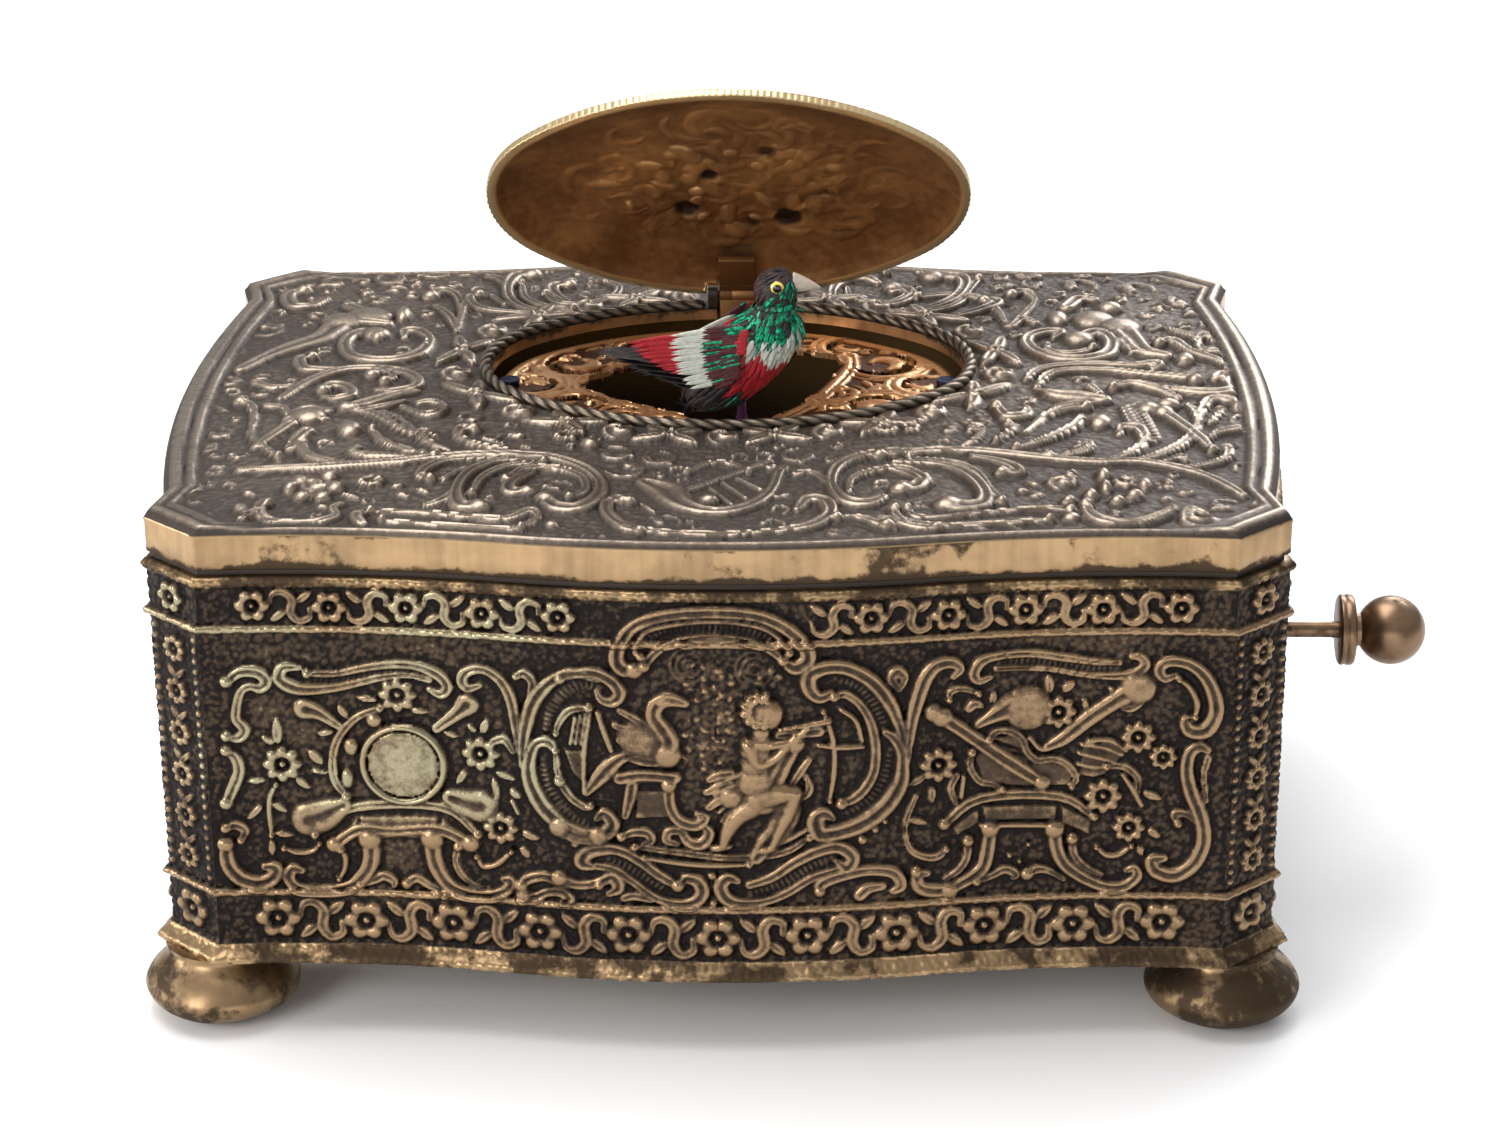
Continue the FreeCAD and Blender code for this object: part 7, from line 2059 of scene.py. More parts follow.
        band |= (height > BOX.bead_z) | (height < BOX.frieze_z)
        band |= (height > BOX.upper_ridge_z) & (height < BOX.upper_frieze_z)
        tall = np.clip(relief.height / 0.7, 0, 1)
        tall = np.where(band, np.clip(plain / 0.5, 0, 1), tall)
        wear = np.where(band, 0.45 + 0.4 * tall, wear)
        pad = np.zeros((len(run), 2))
        values = {"tall": np.hstack([tall, pad]), "wear": np.hstack([wear, pad]),
                  "plain": np.hstack([np.zeros_like(tall), pad + 1])}
        return sheet(name, net, (False, True), values, 75)

    def long_face(self, relief: Relief, length: float, figured: bool) -> None:
        """The trophies and scrolls of the front or the rear.

        Args:
            relief: The Relief to draw on.
            length: Length of the face.
            figured: Whether the piper, the thicket and the drum are on it.
        """
        relief.across = relief.across - length / 2
        if figured:
            self.thicket(relief)
        for mark in FRONT_MARKS:
            relief.draw(mark)
        if figured:
            self.piper(relief)
            self.drum(relief)
        for frieze in self.front:
            frieze.draw(relief, -self.ends, self.ends)

    def end_face(self, relief: Relief, length: float) -> None:
        """One trophy between the friezes of an end.

        Args:
            relief: The Relief to draw on.
            length: Length of the end.
        """
        self.side_design(relief, length / 2)
        for frieze in self.side:
            frieze.draw(relief, self.margins[0], length - self.margins[0])

    def corner_face(self, relief: Relief, one: float, two: float) -> None:
        """The two stretches of a canted corner.

        Args:
            relief: The Relief to draw on.
            one: Length of the first stretch.
            two: Length of the second stretch.
        """
        for start, length in ((0, one), (one, two)):
            part = Relief(relief.across - start, relief.up)
            if length > self.wide:
                self.cant_design(part, length)
            for frieze in self.corner:
                frieze.draw(part, self.margins[1], length - self.margins[1])
            inside = (part.across >= 0) & (part.across <= length)
            relief.height = np.where(inside, np.maximum(relief.height, part.height),
                                     relief.height)

    def walls(self) -> list[bpy.types.Object]:
        """The chased faces of the case.

        Returns:
            Nine pieces, the front in two halves.
        """
        pitch = self.pitch
        spans = BOX.case_spans(pitch)
        front, rear, end = (spans[name].length for name in ("front", "rear", "right"))
        made = [
            self.wall("wall_front_left", [spans["front"]],
                      lambda relief: self.long_face(relief, front, True), pitch, (0, 0.5)),
            self.wall("wall_front_right", [spans["front"]],
                      lambda relief: self.long_face(relief, front, True), pitch, (0.5, 1)),
            self.wall("wall_rear", [spans["rear"]],
                      lambda relief: self.long_face(relief, rear, False), pitch * 2.2),
            self.wall("wall_right", [spans["right"]],
                      lambda relief: self.end_face(relief, end), pitch * 1.5),
            self.wall("wall_left", [spans["left"]],
                      lambda relief: self.end_face(relief, end), pitch * 1.5)]
        for name, first, second in (
                ("corner_front_right", "front_right_cant", "front_right_return"),
                ("corner_rear_right", "rear_right_return", "rear_right_cant"),
                ("corner_rear_left", "rear_left_cant", "rear_left_return"),
                ("corner_front_left", "front_left_return", "front_left_cant")):
            pair = [spans[first], spans[second]]
            made.append(self.wall(
                name, pair,
                lambda relief, pair=pair: self.corner_face(relief, pair[0].length,
                                                           pair[1].length),
                pitch if "front" in name else pitch * 2))
        return made

    def seat(self) -> bpy.types.Object:
        """The recessed step between the case and the cover.

        Returns:
            The new object.
        """
        spans = BOX.case_spans(0.8).values()
        spots = np.vstack([span.spots for span in spans])
        push = np.vstack([span.push for span in spans])
        rows = np.array([(-0.5, 46.6), (-0.5, 47.2), (-0.55, 47.75), (-1.9, 47.75), (-1.9, 46.6)])
        net = np.concatenate([
            spots[:, None, :] + push[:, None, :] * rows[None, :, :1],
            np.broadcast_to(rows[None, :, 1:], (len(spots), len(rows), 1))], -1)
        return sheet("seat_step", net, (True, True), None, 30)

    def dress(self, looks: Looks) -> list[bpy.types.Object]:
        """Builds the walls and the step and dresses them.

        Args:
            looks: Materials by look.

        Returns:
            The pieces.
        """
        made = self.walls()
        for index, obj in enumerate(made):
            dress(obj, [looks[Look.WALLS], looks[Look.TRIM]], "case", "dark_silver",
                  *(("case_body",) if not index else ()))
            paint_where(obj, lambda m: (m[:, 2] > BOX.bead_z) | (m[:, 2] < BOX.frieze_z - 0.2), 1)
        made.append(dress(self.seat(), looks[Look.COVER], "case", "dark_silver"))
        return made


# Cover
@dataclass(frozen=True)
class Cover:
    """The chased cover with its plain band, and the rope round its opening.

    Args:
        columns: Steps round each quarter.
        rows: Steps from the opening to the edge.
        blooms: Flowers and roses of the garland.
        rope_steps: Steps along the rope.
        rope_gap: Half of the rope's gap at the hinge, in radians.
        quarters: Name and first angle of each quarter, none too heavy.
    """

    columns: int = 420
    rows: int = 118
    blooms: int = 26
    rope_steps: int = 900
    rope_gap: float = 0.155
    quarters: tuple[tuple[str, int], ...] = (
        ("cover_rear_right", 0), ("cover_rear_left", 90),
        ("cover_front_left", 180), ("cover_front_right", 270))

    def place(self, turn: float, grow: float) -> Spot:
        """A place outside the oval opening.

        Args:
            turn: Its angle in radians.
            grow: How far outside the oval it lies.

        Returns:
            The place, in millimetres.
        """
        reach = float(BOX.oval_reach(np.array(turn), grow))
        return reach * math.cos(turn), BOX.oval_y + reach * math.sin(turn)

    def wreath(self, relief: Relief) -> None:
        """The garland of roses and leaves that runs round the opening.

        Args:
            relief: The Relief to draw on.
        """
        count, place = self.blooms, self.place
        for index in range(count):
            turn = 2 * math.pi * (index + 0.5) / count
            step = math.pi / count
            if index % 2:
                relief.rose(*place(turn, 3.8), 1.95, 1.0)
                continue
            for side in (-1, 1):
                relief.leaf(*place(turn, 3.8), *place(turn + side * 1.2 * step, 5.9), 1.0, 0.85)
                relief.leaf(*place(turn, 3.6), *place(turn + side * 1.2 * step, 1.9), 0.95, 0.8)
            relief.flower(*place(turn, 3.8), 0.95, 0.95, 5)

    def design(self, relief: Relief) -> None:
        """Scrolls, garlands, small winged figures and trophies of the cover.

        Args:
            relief: The Relief to draw on.
        """
        for mark in COVER_MARKS:
            relief.draw(mark)
            rows = mark.spots if isinstance(mark.spots[0], tuple) else [mark.spots]
            spots = np.array([row[:2] for row in rows])
            if np.abs(spots[:, 0]).max() < 30 and spots[:, 1].max() < -14:
                relief.draw(mark, (0, 4.0), (1, -1))
        self.wreath(relief)
        relief.fill((2.4, 1.75, 1.25, 0.85), 620, (-53, -40), (53, 40), ((0, 0.0), (1, BOX.oval_y)))

    def quarter(self, name: str, first: float, last: float) -> bpy.types.Object:
        """One quarter of the cover, with its share of the plain band.

        Args:
            name: Name of the piece.
            first: Angle where it starts, in degrees round the opening's centre.
            last: Angle where it ends.

        Returns:
            The new object.
        """
        columns, rows = self.columns, self.rows
        share = np.linspace(0, 1, columns)
        even = np.radians(np.linspace(first, last, 721))
        edge = BOX.outline_reach(even)
        x, y = edge * np.cos(even), edge * np.sin(even)
        run = np.concatenate([[0], np.cumsum(np.hypot(np.diff(x), np.diff(y)))])
        turn = np.interp(share * run[-1], run, even)
        inner = BOX.oval_reach(turn) + 0.02
        lip = BOX.outline_reach(turn)
        across, up = np.cos(turn), np.sin(turn)
        notch = (np.abs(across * BOX.oval_short - BOX.hinge[0]) < 2.15) & (up > 0)
        inner = np.where(notch, (BOX.hinge[1] + 4.4 - BOX.oval_y) / np.maximum(up, 0.1), inner)
        step = np.linspace(0, 1, rows)[None, :]
        reach = inner[:, None] * (1 - step) + lip[:, None] * step
        px, py = reach * across[:, None], BOX.oval_y + reach * up[:, None]
        relief = Relief(px, py)
        self.design(relief)
        from_edge = lip[:, None] - reach
        from_hole = reach - BOX.oval_reach(turn)[:, None]
        flank = np.clip((np.abs(px) - 40) / 8, 0, 1)
        relief.stipple(0.8, 0.09)
        calm = np.clip((from_hole - 1.5) / 0.4, 0, 1) * np.clip((from_edge - 1.2) / 0.5, 0, 1)
        calm *= 1 - flank * np.clip(1 - (from_edge - 3.4) / 0.5, 0, 1)
        from_hinge = np.hypot(px - BOX.hinge[0], (py - BOX.hinge[1] - 1.4) * 0.8)
        near_hinge = np.clip(from_hinge - 4.2, 0, 1)
        relief.height *= calm * near_hinge
        lipped = 0.34 * np.clip(1 - ((from_edge - 0.5) / 0.52) ** 2, 0, 1) ** 0.5
        roll = np.clip(1 - ((from_edge - 1.2) / 0.85) ** 2, 0, 1) ** 0.5
        roll = np.maximum(roll, 0.8 * np.clip(1 - ((from_edge - 2.7) / 0.7) ** 2, 0, 1) ** 0.5)
        edging = np.maximum(lipped * (1 - flank), 0.6 * roll * flank)
        relief.height = np.maximum(relief.height, edging)
        top = BOX.top_z - 0.12 + relief.height - 0.28 * np.clip(1 - from_edge / 0.3, 0, 1) ** 2
        wear = relief.wear(3)
        tall = np.clip(relief.height / 0.8, 0, 1)
        band = np.array([[0.05, BOX.top_z - 0.5], [0.0, BOX.top_z - 0.9], [0.0, BOX.band_z + 1.6],
                         [0.0, BOX.band_z + 0.15], [-0.15, BOX.band_z], [-BOX.wall, BOX.band_z],
                         [-BOX.wall, BOX.top_z - 1.2]])
        down = np.stack([BOX.outline_reach(turn, grow) for grow in band[:, 0]], 1)
        under = np.array([BOX.top_z - 1.2])
        reach = np.hstack([reach, down, inner[:, None]])
        level = np.hstack([top, np.repeat(band[None, :, 1], columns, 0),
                           np.repeat(under[None, :], columns, 0)])
        net = np.stack([reach * across[:, None], BOX.oval_y + reach * up[:, None], level], -1)
        pad = np.zeros((columns, 8))
        plain = np.hstack([np.zeros_like(top), np.ones((columns, 8))])
        values = {"tall": np.hstack([tall, pad]), "wear": np.hstack([wear, pad + 0.5]),
                  "plain": plain}
        return sheet(name, net, (False, True), values, 75)

    def rope(self) -> bpy.types.Object:
        """The twisted rope round the opening, open behind at the hinge.

        Returns:
            The new object.
        """
        gap, count = self.rope_gap, self.rope_steps
        turn = np.linspace(math.pi / 2 + gap, math.pi / 2 - gap + 2 * math.pi, count)
        reach = BOX.oval_reach(turn, 0.72)
        x, y = reach * np.cos(turn), BOX.oval_y + reach * np.sin(turn)
        run = np.concatenate([[0], np.cumsum(np.hypot(np.diff(x), np.diff(y)))])
        out = np.stack([np.gradient(y), -np.gradient(x)], 1)
        out /= np.linalg.norm(out, axis=1, keepdims=True)
        around = np.linspace(0, 2 * math.pi, 20, endpoint=False)[None, :]
        strand = np.abs(np.cos(around * 1.5 + run[:, None] * math.pi / 1.75)) ** 0.7
        radius = 0.44 + 0.19 * strand
        ends = np.clip(np.minimum(run, run[-1] - run) / 0.4, 0.3, 1)[:, None]
        radius = radius * ends
        side, rise = radius * np.cos(around), radius * np.sin(around)
        net = np.stack([x[:, None] + out[:, :1] * side, y[:, None] + out[:, 1:] * side,
                        BOX.top_z + 0.22 + rise], -1)
        tall = np.clip((strand - 0.3) / 0.7, 0, 1)
        return sheet("rope_ring", net, (False, True), {"tall": tall, "wear": 0.25 + 0.5 * tall})

    def dress(self, looks: Looks) -> list[bpy.types.Object]:
        """Builds the cover and the rope and dresses them.

        Args:
            looks: Materials by look.

        Returns:
            The pieces.
        """
        made = [self.quarter(name, start, start + 90) for name, start in self.quarters]
        for index, obj in enumerate(made):
            dress(obj, [looks[Look.COVER], looks[Look.BAND]], "case", "dark_silver",
                  *(("top_cover",) if not index else ()))
            paint_where(obj, lambda m: m[:, 2] < BOX.top_z - 0.45, 1)
        made.append(dress(self.rope(), looks[Look.ROPE], "case", "dark_silver", "rope_rim"))
        return made


# Grille
# Outline of the bird's opening, then (x, y, size, turn, sweep) of the scroll-shaped ones
SLOT_SHARES = (
    (0.11, -0.66), (0.2, -0.62), (0.235, -0.36), (0.3, -0.08), (0.52, 0.22), (0.69, 0.62),
    (0.8, 0.98), (0.76, 1.18), (0.44, 1.29), (0.1, 1.24), (-0.12, 1.12), (-0.62, 1.0),
    (-0.98, 0.74), (-1.0, 0.5), (-0.68, 0.24), (-0.32, 0.02), (-0.12, -0.22), (-0.03, -0.5))
SCROLL_SLOTS = (
    (-0.625, -0.39, 0.2, 20, 230), (-0.65, 0.343, 0.2, 110, 230), (0.64, -0.39, 0.2, 290, 230),
    (0.667, 0.343, 0.2, 200, 230), (-0.375, 0.6, 0.15, 60, 220), (-0.108, 0.68, 0.13, 200, 220),
    (0.517, 0.634, 0.14, 40, 220), (0.333, -0.622, 0.163, 150, 220),
    (-0.25, -0.703, 0.15, 10, 220), (-0.817, -0.006, 0.128, 250, 220),
    (0.825, -0.017, 0.128, 70, 220), (-0.433, -0.483, 0.105, 300, 220))
SMALL_SLOTS = (
    (-0.42, -0.12, 0.08, 60, 200), (0.46, -0.16, 0.09, 200, 210), (-0.5, -0.72, 0.07, 0, 210),
    (0.56, -0.7, 0.07, 180, 210), (0.06, -0.82, 0.07, 90, 210), (0.44, 0.3, 0.07, 20, 220),
    (-0.34, 0.32, 0.08, 250, 210), (0.3, -0.34, 0.07, 300, 200), (-0.82, -0.3, 0.07, 140, 220),
    (0.83, -0.3, 0.07, 30, 220), (-0.84, 0.24, 0.06, 200, 200), (0.85, 0.24, 0.06, 330, 200))


@dataclass(frozen=True)
class Grille:
    """The pierced and engraved grille plate with its real openings.

    Args:
        pitch: Step of its net.
        top: Height of its upper face.
        thick: Its thickness.
        margin: Gap between its edge and the oval.
        size: Scale of the opening through which the bird folds.
        reach: Half its net's width and depth.
    """

    pitch: float = 0.17
    top: float = 49.5
    thick: float = 0.5
    margin: float = 0.62
    size: float = 14.5
    reach: Spot = (23.6, 16.8)

    def bird_slot(self) -> list[Spot]:
        """Corners of the opening through which the bird folds."""
        return [(x * self.size, y * self.size + BOX.bird_y * 0.2) for x, y in SLOT_SHARES]

    def scroll(self, openings: Relief, engraving: Relief, slot: tuple) -> None:
        """One scroll-shaped opening with the engraving round it.

        Args:
            openings: The Relief that marks what is cut out.
            engraving: The Relief of the engraving.
            slot: Its centre, size, turn and sweep.
        """
        sx, sy, size, turn, sweep = slot
        outside, inside = [], []
        for step in range(13):
            share = step / 12
            angle = math.radians(turn + sweep * share)
            width = size * (0.16 + 0.3 * math.sin(math.pi * share))
            for row, radius in ((outside, size), (inside, size - width)):
                row.append((sx + radius * math.cos(angle), sy + radius * math.sin(angle)))
        openings.plateau(outside + inside[::-1], 1.0)
        engraving.stroke(arc_points(sx, sy, size + 0.5, turn - 10, sweep + 30, 0.55), 0.36, 1)
        engraving.stroke(arc_points(sx, sy, size + 1.45, turn + 12, sweep - 10, 0.42), 0.3, 1)
        engraving.stroke(arc_points(sx, sy, size * 0.42, turn + 90, sweep, size * 0.3), 0.34, 1)
        end = math.radians(turn + sweep + 18)
        engraving.egg(sx + (size + 0.1) * math.cos(end), sy + (size + 0.1) * math.sin(end),
                      0.62, 0.62, 0, 0.45)
        for step in range(5):
            angle = math.radians(turn + sweep * (0.2 + 0.15 * step))
            reach = size + 1.9
            engraving.leaf(sx + reach * math.cos(angle), sy + reach * math.sin(angle),
                           sx + (reach + 1.7) * math.cos(angle + 0.25),
                           sy + (reach + 1.7) * math.sin(angle + 0.25), 0.42, 0.28)

    def border(self, engraving: Relief) -> None:
        """Two engraved lines round the bird's opening.

        Args:
            engraving: The Relief of the engraving.
        """
        edge = self.bird_slot()
        for grow, wide in ((0.75, 0.42), (1.6, 0.3)):
            ring = []
            for before, (x, y), after in zip(edge[-1:] + edge[:-1], edge, edge[1:] + edge[:1]):
                along = np.array([after[0] - before[0], after[1] - before[1]])
                along /= np.linalg.norm(along)
                ring.append((x + along[1] * grow, y - along[0] * grow, wide))
            engraving.stroke(ring + ring[:1], 0.34, 2)

    def cut(self, obj: bpy.types.Object, whole: np.ndarray) -> None:
        """Cuts the net to shape and gives it its thickness.

        Args:
            obj: The flat net.
            whole: Which of its faces stay.
        """
        keep = whole.T.ravel()
        bpy.ops.object.mode_set(mode="EDIT")
        bpy.ops.mesh.select_mode(type="FACE")
        bpy.ops.mesh.select_all(action="DESELECT")
        bpy.ops.object.mode_set(mode="OBJECT")
        obj.data.polygons.foreach_set("select", ~keep)
        bpy.ops.object.mode_set(mode="EDIT")
        bpy.ops.mesh.delete(type="FACE")
        bpy.ops.mesh.select_mode(type="VERT")
        bpy.ops.mesh.select_all(action="SELECT")
        bpy.ops.mesh.delete_loose()
        bpy.ops.mesh.select_all(action="SELECT")
        bpy.ops.mesh.normals_make_consistent(inside=False)
        bpy.ops.mesh.select_all(action="DESELECT")
        bpy.ops.mesh.select_non_manifold()
        bpy.ops.mesh.vertices_smooth(factor=0.5, repeat=3, zaxis=False)
        bpy.ops.mesh.select_all(action="SELECT")
        bpy.ops.mesh.extrude_region_move()
        bpy.ops.object.mode_set(mode="OBJECT")
        data = obj.data
        places = np.zeros(len(data.vertices) * 3, np.float32)
        data.vertices.foreach_get("co", places)
        places = places.reshape(-1, 3)
        chosen = np.zeros(len(data.vertices), bool)
        data.vertices.foreach_get("select", chosen)
        places[chosen, 2] = (self.top - self.thick) * MM
        data.vertices.foreach_set("co", places.ravel())
        bpy.ops.object.mode_set(mode="EDIT")
        bpy.ops.mesh.select_all(action="SELECT")
        bpy.ops.mesh.normals_make_consistent(inside=False)
        bpy.ops.mesh.set_sharpness_by_angle(angle=math.radians(50))
        bpy.ops.object.mode_set(mode="OBJECT")
        bpy.ops.object.shade_smooth()

    def plate(self) -> bpy.types.Object:
        """The grille plate.

        Returns:
            The new object.
        """
        pitch, wide, deep = self.pitch, *self.reach
        x = np.arange(-wide, wide + pitch, pitch)
        y = np.arange(BOX.oval_y - deep, BOX.oval_y + deep + pitch, pitch)
        across, up = np.meshgrid(x, y, indexing="ij")
        engraving, openings = Relief(across, up), Relief(across, up)
        openings.plateau(self.bird_slot(), 1.0)
        for a, b, size, turn, sweep in SCROLL_SLOTS + SMALL_SLOTS:
            self.scroll(openings, engraving, (a * BOX.oval_long, BOX.oval_y + b * BOX.oval_short,
                                              size * BOX.oval_short, turn, sweep))
        self.border(engraving)
        turn = np.arctan2(up - BOX.oval_y, across)
        inside = BOX.oval_reach(turn, -self.margin) - np.hypot(across, up - BOX.oval_y)
        rim = np.clip(1 - ((inside - 0.75) / 0.6) ** 2, 0, 1) ** 0.5 * 0.35
        engraving.height = np.maximum(engraving.height, rim)
        engraving.fill((1.9, 1.3, 0.9, 0.6), 500, (-23, BOX.oval_y - 17), (23, BOX.oval_y + 17), ())
        engraving.height = np.minimum(engraving.height, 0.5)
        solid = (inside > 0) & (openings.height < 0.5)
        top = self.top - 0.12 + engraving.height * 0.8
        obj = net_mesh("grille_plate", np.stack([across, up, top], -1),
                       {"tall": np.clip(engraving.height / 0.4, 0, 1)})
        self.cut(obj, solid[:-1, :-1] & solid[1:, :-1] & solid[:-1, 1:] & solid[1:, 1:])
        return obj

    def dress(self, looks: Looks) -> list[bpy.types.Object]:
        """Builds the grille and dresses it.

        Args:
            looks: Materials by look.

        Returns:
            The pieces.
        """
        return [dress(self.plate(), looks[Look.GRILLE], "case", "rose_gilt", "grille")]


# Lid
@dataclass(frozen=True)
class Lid:
    """The oval lid, open on its hinge, and the bracket that carries it.

    Args:
        columns: Steps round the lid.
        outer_rings: Rings of its plain outside.
        inner_rings: Rings of its chased inside.
        rise: How far it rises over its rim.
        thick: Its thickness.
        overlap: How far its rim reaches past the opening.
        step: How far inside the rim its inner side starts.
        low: Height of its rim's lower edge over the hinge.
        middle: Its middle, from the hinge.
    """

    columns: int = 520
    outer_rings: int = 46
    inner_rings: int = 120
    rise: float = 3.0
    thick: float = 0.8
    overlap: float = 0.7
    step: float = 0.9
    low: float = 0.9 - 1.2
    middle: float = BOX.oval_y + 0.5 - BOX.hinge[1]

    def ring(self, turn: np.ndarray, grow: float, level: float,
             squeeze: float = 1.0) -> np.ndarray:
        """One ring of the closed lid.

        Args:
            turn: Angles in radians.
            grow: How far outside the oval it lies.
            level: Its height.
            squeeze: Factor on its size.

        Returns:
            Its places.
        """
        reach = BOX.oval_reach(turn, grow) * squeeze
        return np.stack([reach * np.cos(turn), self.middle + reach * np.sin(turn),
                         np.full_like(turn, level)], 1)

    def bowl(self, turn: np.ndarray, share: float, top: bool) -> np.ndarray:
        """One ring of the lid's outer or inner side.

        Args:
            turn: Angles in radians.
            share: Share of the way from the edge to the middle.
            top: Whether this is the outer side.

        Returns:
            Its places.
        """
        inward = min(share, 0.5) * BOX.oval_short
        squeeze = 1.0 if share <= 0.5 else max(1 - (share - 0.5) / 0.5, 0.001)
        return self.ring(turn, self.overlap - inward - (0.0 if top else self.step),
                         self.low + self.level(share, top), squeeze)

    def level(self, share: float, top: bool) -> float:
        """Height of the lid's shell over its rim, from the edge (0) to the middle (1).

        Args:
            share: Share of the way from the edge to the middle.
            top: Whether this is the outer side.

        Returns:
            The height, in millimetres.
        """
        rise = np.interp(share, (0.0, 0.06, 0.14, 0.22, 0.38, 0.55, 1.0),
                         (0.27, 0.5, 0.68, 0.8, 0.93, 1.0, 1.0)) * self.rise
        return float(rise if top else rise - self.thick)

    def chasing(self, net: np.ndarray) -> tuple[np.ndarray, np.ndarray]:
        """Hollows and folds of the chasing, seen from its back.

        Args:
            net: Array of places, in millimetres.

        Returns:
            Heights of the folds and depths of the hollows.
        """
        x, y = net[:, :, 0], net[:, :, 1]
        relief = Relief(x, y)
        rng = np.random.default_rng(SEED + 6)
        for _ in range(75):
            turn, far = rng.random() * 2 * math.pi, math.sqrt(rng.random()) * 0.78
            cx, cy = 22 * far * math.cos(turn), -18.1 + 15 * far * math.sin(turn)
            size, start = 0.9 + 2.0 * rng.random(), 360 * rng.random()
            relief.stroke(arc_points(cx, cy, size, start, 120 + 120 * rng.random(),
                                     0.45 + 0.35 * rng.random(), 8), 0.1 + 0.14 * rng.random(), 1)
        for _ in range(60):
            turn, far = rng.random() * 2 * math.pi, math.sqrt(rng.random()) * 0.6
            relief.egg(22 * far * math.cos(turn), -18.1 + 15 * far * math.sin(turn),
                       0.7 + 1.4 * rng.random(), 0.4 + 0.7 * rng.random(), 180 * rng.random(),
                       0.15 + 0.35 * rng.random())
        deep = np.zeros_like(x)
        for dx, dy, size, depth in ((-4.4, 5.0, 1.3, 0.9), (-2.0, -1.0, 1.0, 0.7),
                                    (2.4, 7.4, 1.0, 0.5),
                                    (6.0, 6.6, 1.5, 0.95), (4.0, -5.0, 1.2, 0.5),
                                    (-9.0, 2.0, 1.6, 0.3),
                                    (10.0, 2.5, 1.4, 0.3), (-13.0, -1.5, 1.5, 0.3)):
            far = np.hypot(x - dx, y + 18.1 - dy) / size
            deep = np.maximum(deep, depth * np.exp(-(far**4)))
        return relief.height, deep

    def shell(self) -> bpy.types.Object:
        """The oval lid: its chased back seen from inside, a milled edge and a plain outside.

        Returns:
            The new object.
        """
        turn = np.linspace(0, 2 * math.pi, self.columns, endpoint=False)
        low, overlap = self.low, self.overlap
        rings = [self.bowl(turn, share, True) for share in np.linspace(1, 0, self.outer_rings)]
        tall, rim = [0.4] * len(rings), [0.0] * len(rings)
        for level in np.linspace(0.75, 0.06, 8):
            row = self.ring(turn, overlap, low + level)
            ripple = 0.06 * np.sign(np.sin(turn * 170))
            row[:, 0] += np.cos(turn) * ripple
            row[:, 1] += np.sin(turn) * ripple
            rings.append(row)
        for grow, level in ((0.64, 0.0), (0.2, 0.0), (-0.1, 0.0), (-0.2, 0.06)):
            rings.append(self.ring(turn, grow, low + level))
        tall += [0.8] * 12
        rim += [1.0] * 11 + [0.4]
        start = len(rings)
        for share in np.linspace(0.012, 1, self.inner_rings):
            rings.append(self.bowl(turn, share, False))
            tall.append(0.4)
            rim.append(0.0)
        net = np.stack(rings, 1)
        height, deep = self.chasing(net[:, start:])
        inward = np.linspace(0.012, 1, net.shape[1] - start)[None, :]
        calm = np.clip((inward - 0.07) / 0.12, 0, 1)
        room = net[:, start:, 2] - low
        net[:, start:, 2] += calm * (deep * 0.75 - height * np.clip(room, 0, 1))
        # Painted shade for the hollows, kept on the mesh as 'deep'; the lid's material darkens them
        # with it.
        shade = np.zeros(net.shape[:2])
        shade[:, start:] = np.clip(deep, 0, 1) * calm
        net[:, start:, 2] = np.minimum(net[:, start:, 2], low + 2.75)
        strap = (np.abs(net[:, :, 0] - BOX.hinge[0]) < 2.05) & (net[:, :, 1] > -6.7)
        strap[:, :start] = False
        net[:, :, 2] = np.where(strap & (net[:, :, 2] < low + 0.85), low + 0.85, net[:, :, 2])
        hollow = (np.abs(net[:, :, 0] - BOX.hinge[0]) < 3.4) & (net[:, :, 1] > -2.0)
        net[:, :, 1] = np.where(hollow, np.minimum(net[:, :, 1], -1.9), net[:, :, 1])
        shape = net.shape[:2]
        relief = np.broadcast_to(np.array(tall), shape).copy()
        relief[:, start:] += height * 0.8 * calm
        values = {"tall": relief, "rim": np.broadcast_to(np.array(rim), shape), "deep": shade}
        return sheet("lid_shell", BOX.opened(net), (True, False), values)

    def bracket(self) -> bpy.types.Object:
        """The plate that carries the lid, its knuckle on the pin and the lever below.

        Returns:
            The new object.
        """
        bpy.ops.mesh.primitive_cube_add(size=1)
        plate = bpy.context.object
        plate.name = "lid_bracket"
        places = np.array([v.co for v in plate.data.vertices])
        places = places * np.array([3.9, 6.1, 0.75]) + np.array([BOX.hinge[0], -3.5, 0.1])
        plate.data.vertices.foreach_set("co", (BOX.opened(places) * MM).ravel())
        knuckle = turned("knuckle", [(0.001, -1.95), (0.82, -1.95), (0.95, -1.8), (0.95, -0.7),
                                     (0.9, -0.62), (0.95, -0.54), (0.95, 1.8), (0.82, 1.95),
                                     (0.001, 1.95)], BOX.hinge, "x", 40)
        bpy.ops.mesh.primitive_cube_add(size=1)
        lever = bpy.context.object
        places = np.array([v.co for v in lever.data.vertices])
        places = places * np.array([3.9, 0.72, 7.0]) + np.array([BOX.hinge[0], BOX.hinge[1] - 0.6,
                                                                 BOX.hinge[2] - 3.9])
        lever.data.vertices.foreach_set("co", (places * MM).ravel())
        for part in (plate, lever):
            activate(part)
            bevel = part.modifiers.new("edges", "BEVEL")
            bevel.width, bevel.segments = 0.16 * MM, 3
            bpy.ops.object.modifier_apply(modifier=bevel.name)
            bpy.ops.object.shade_smooth()
            while part.data.uv_layers:
                part.data.uv_layers.remove(part.data.uv_layers[0])
        return joined("lid_bracket", [plate, knuckle, lever])

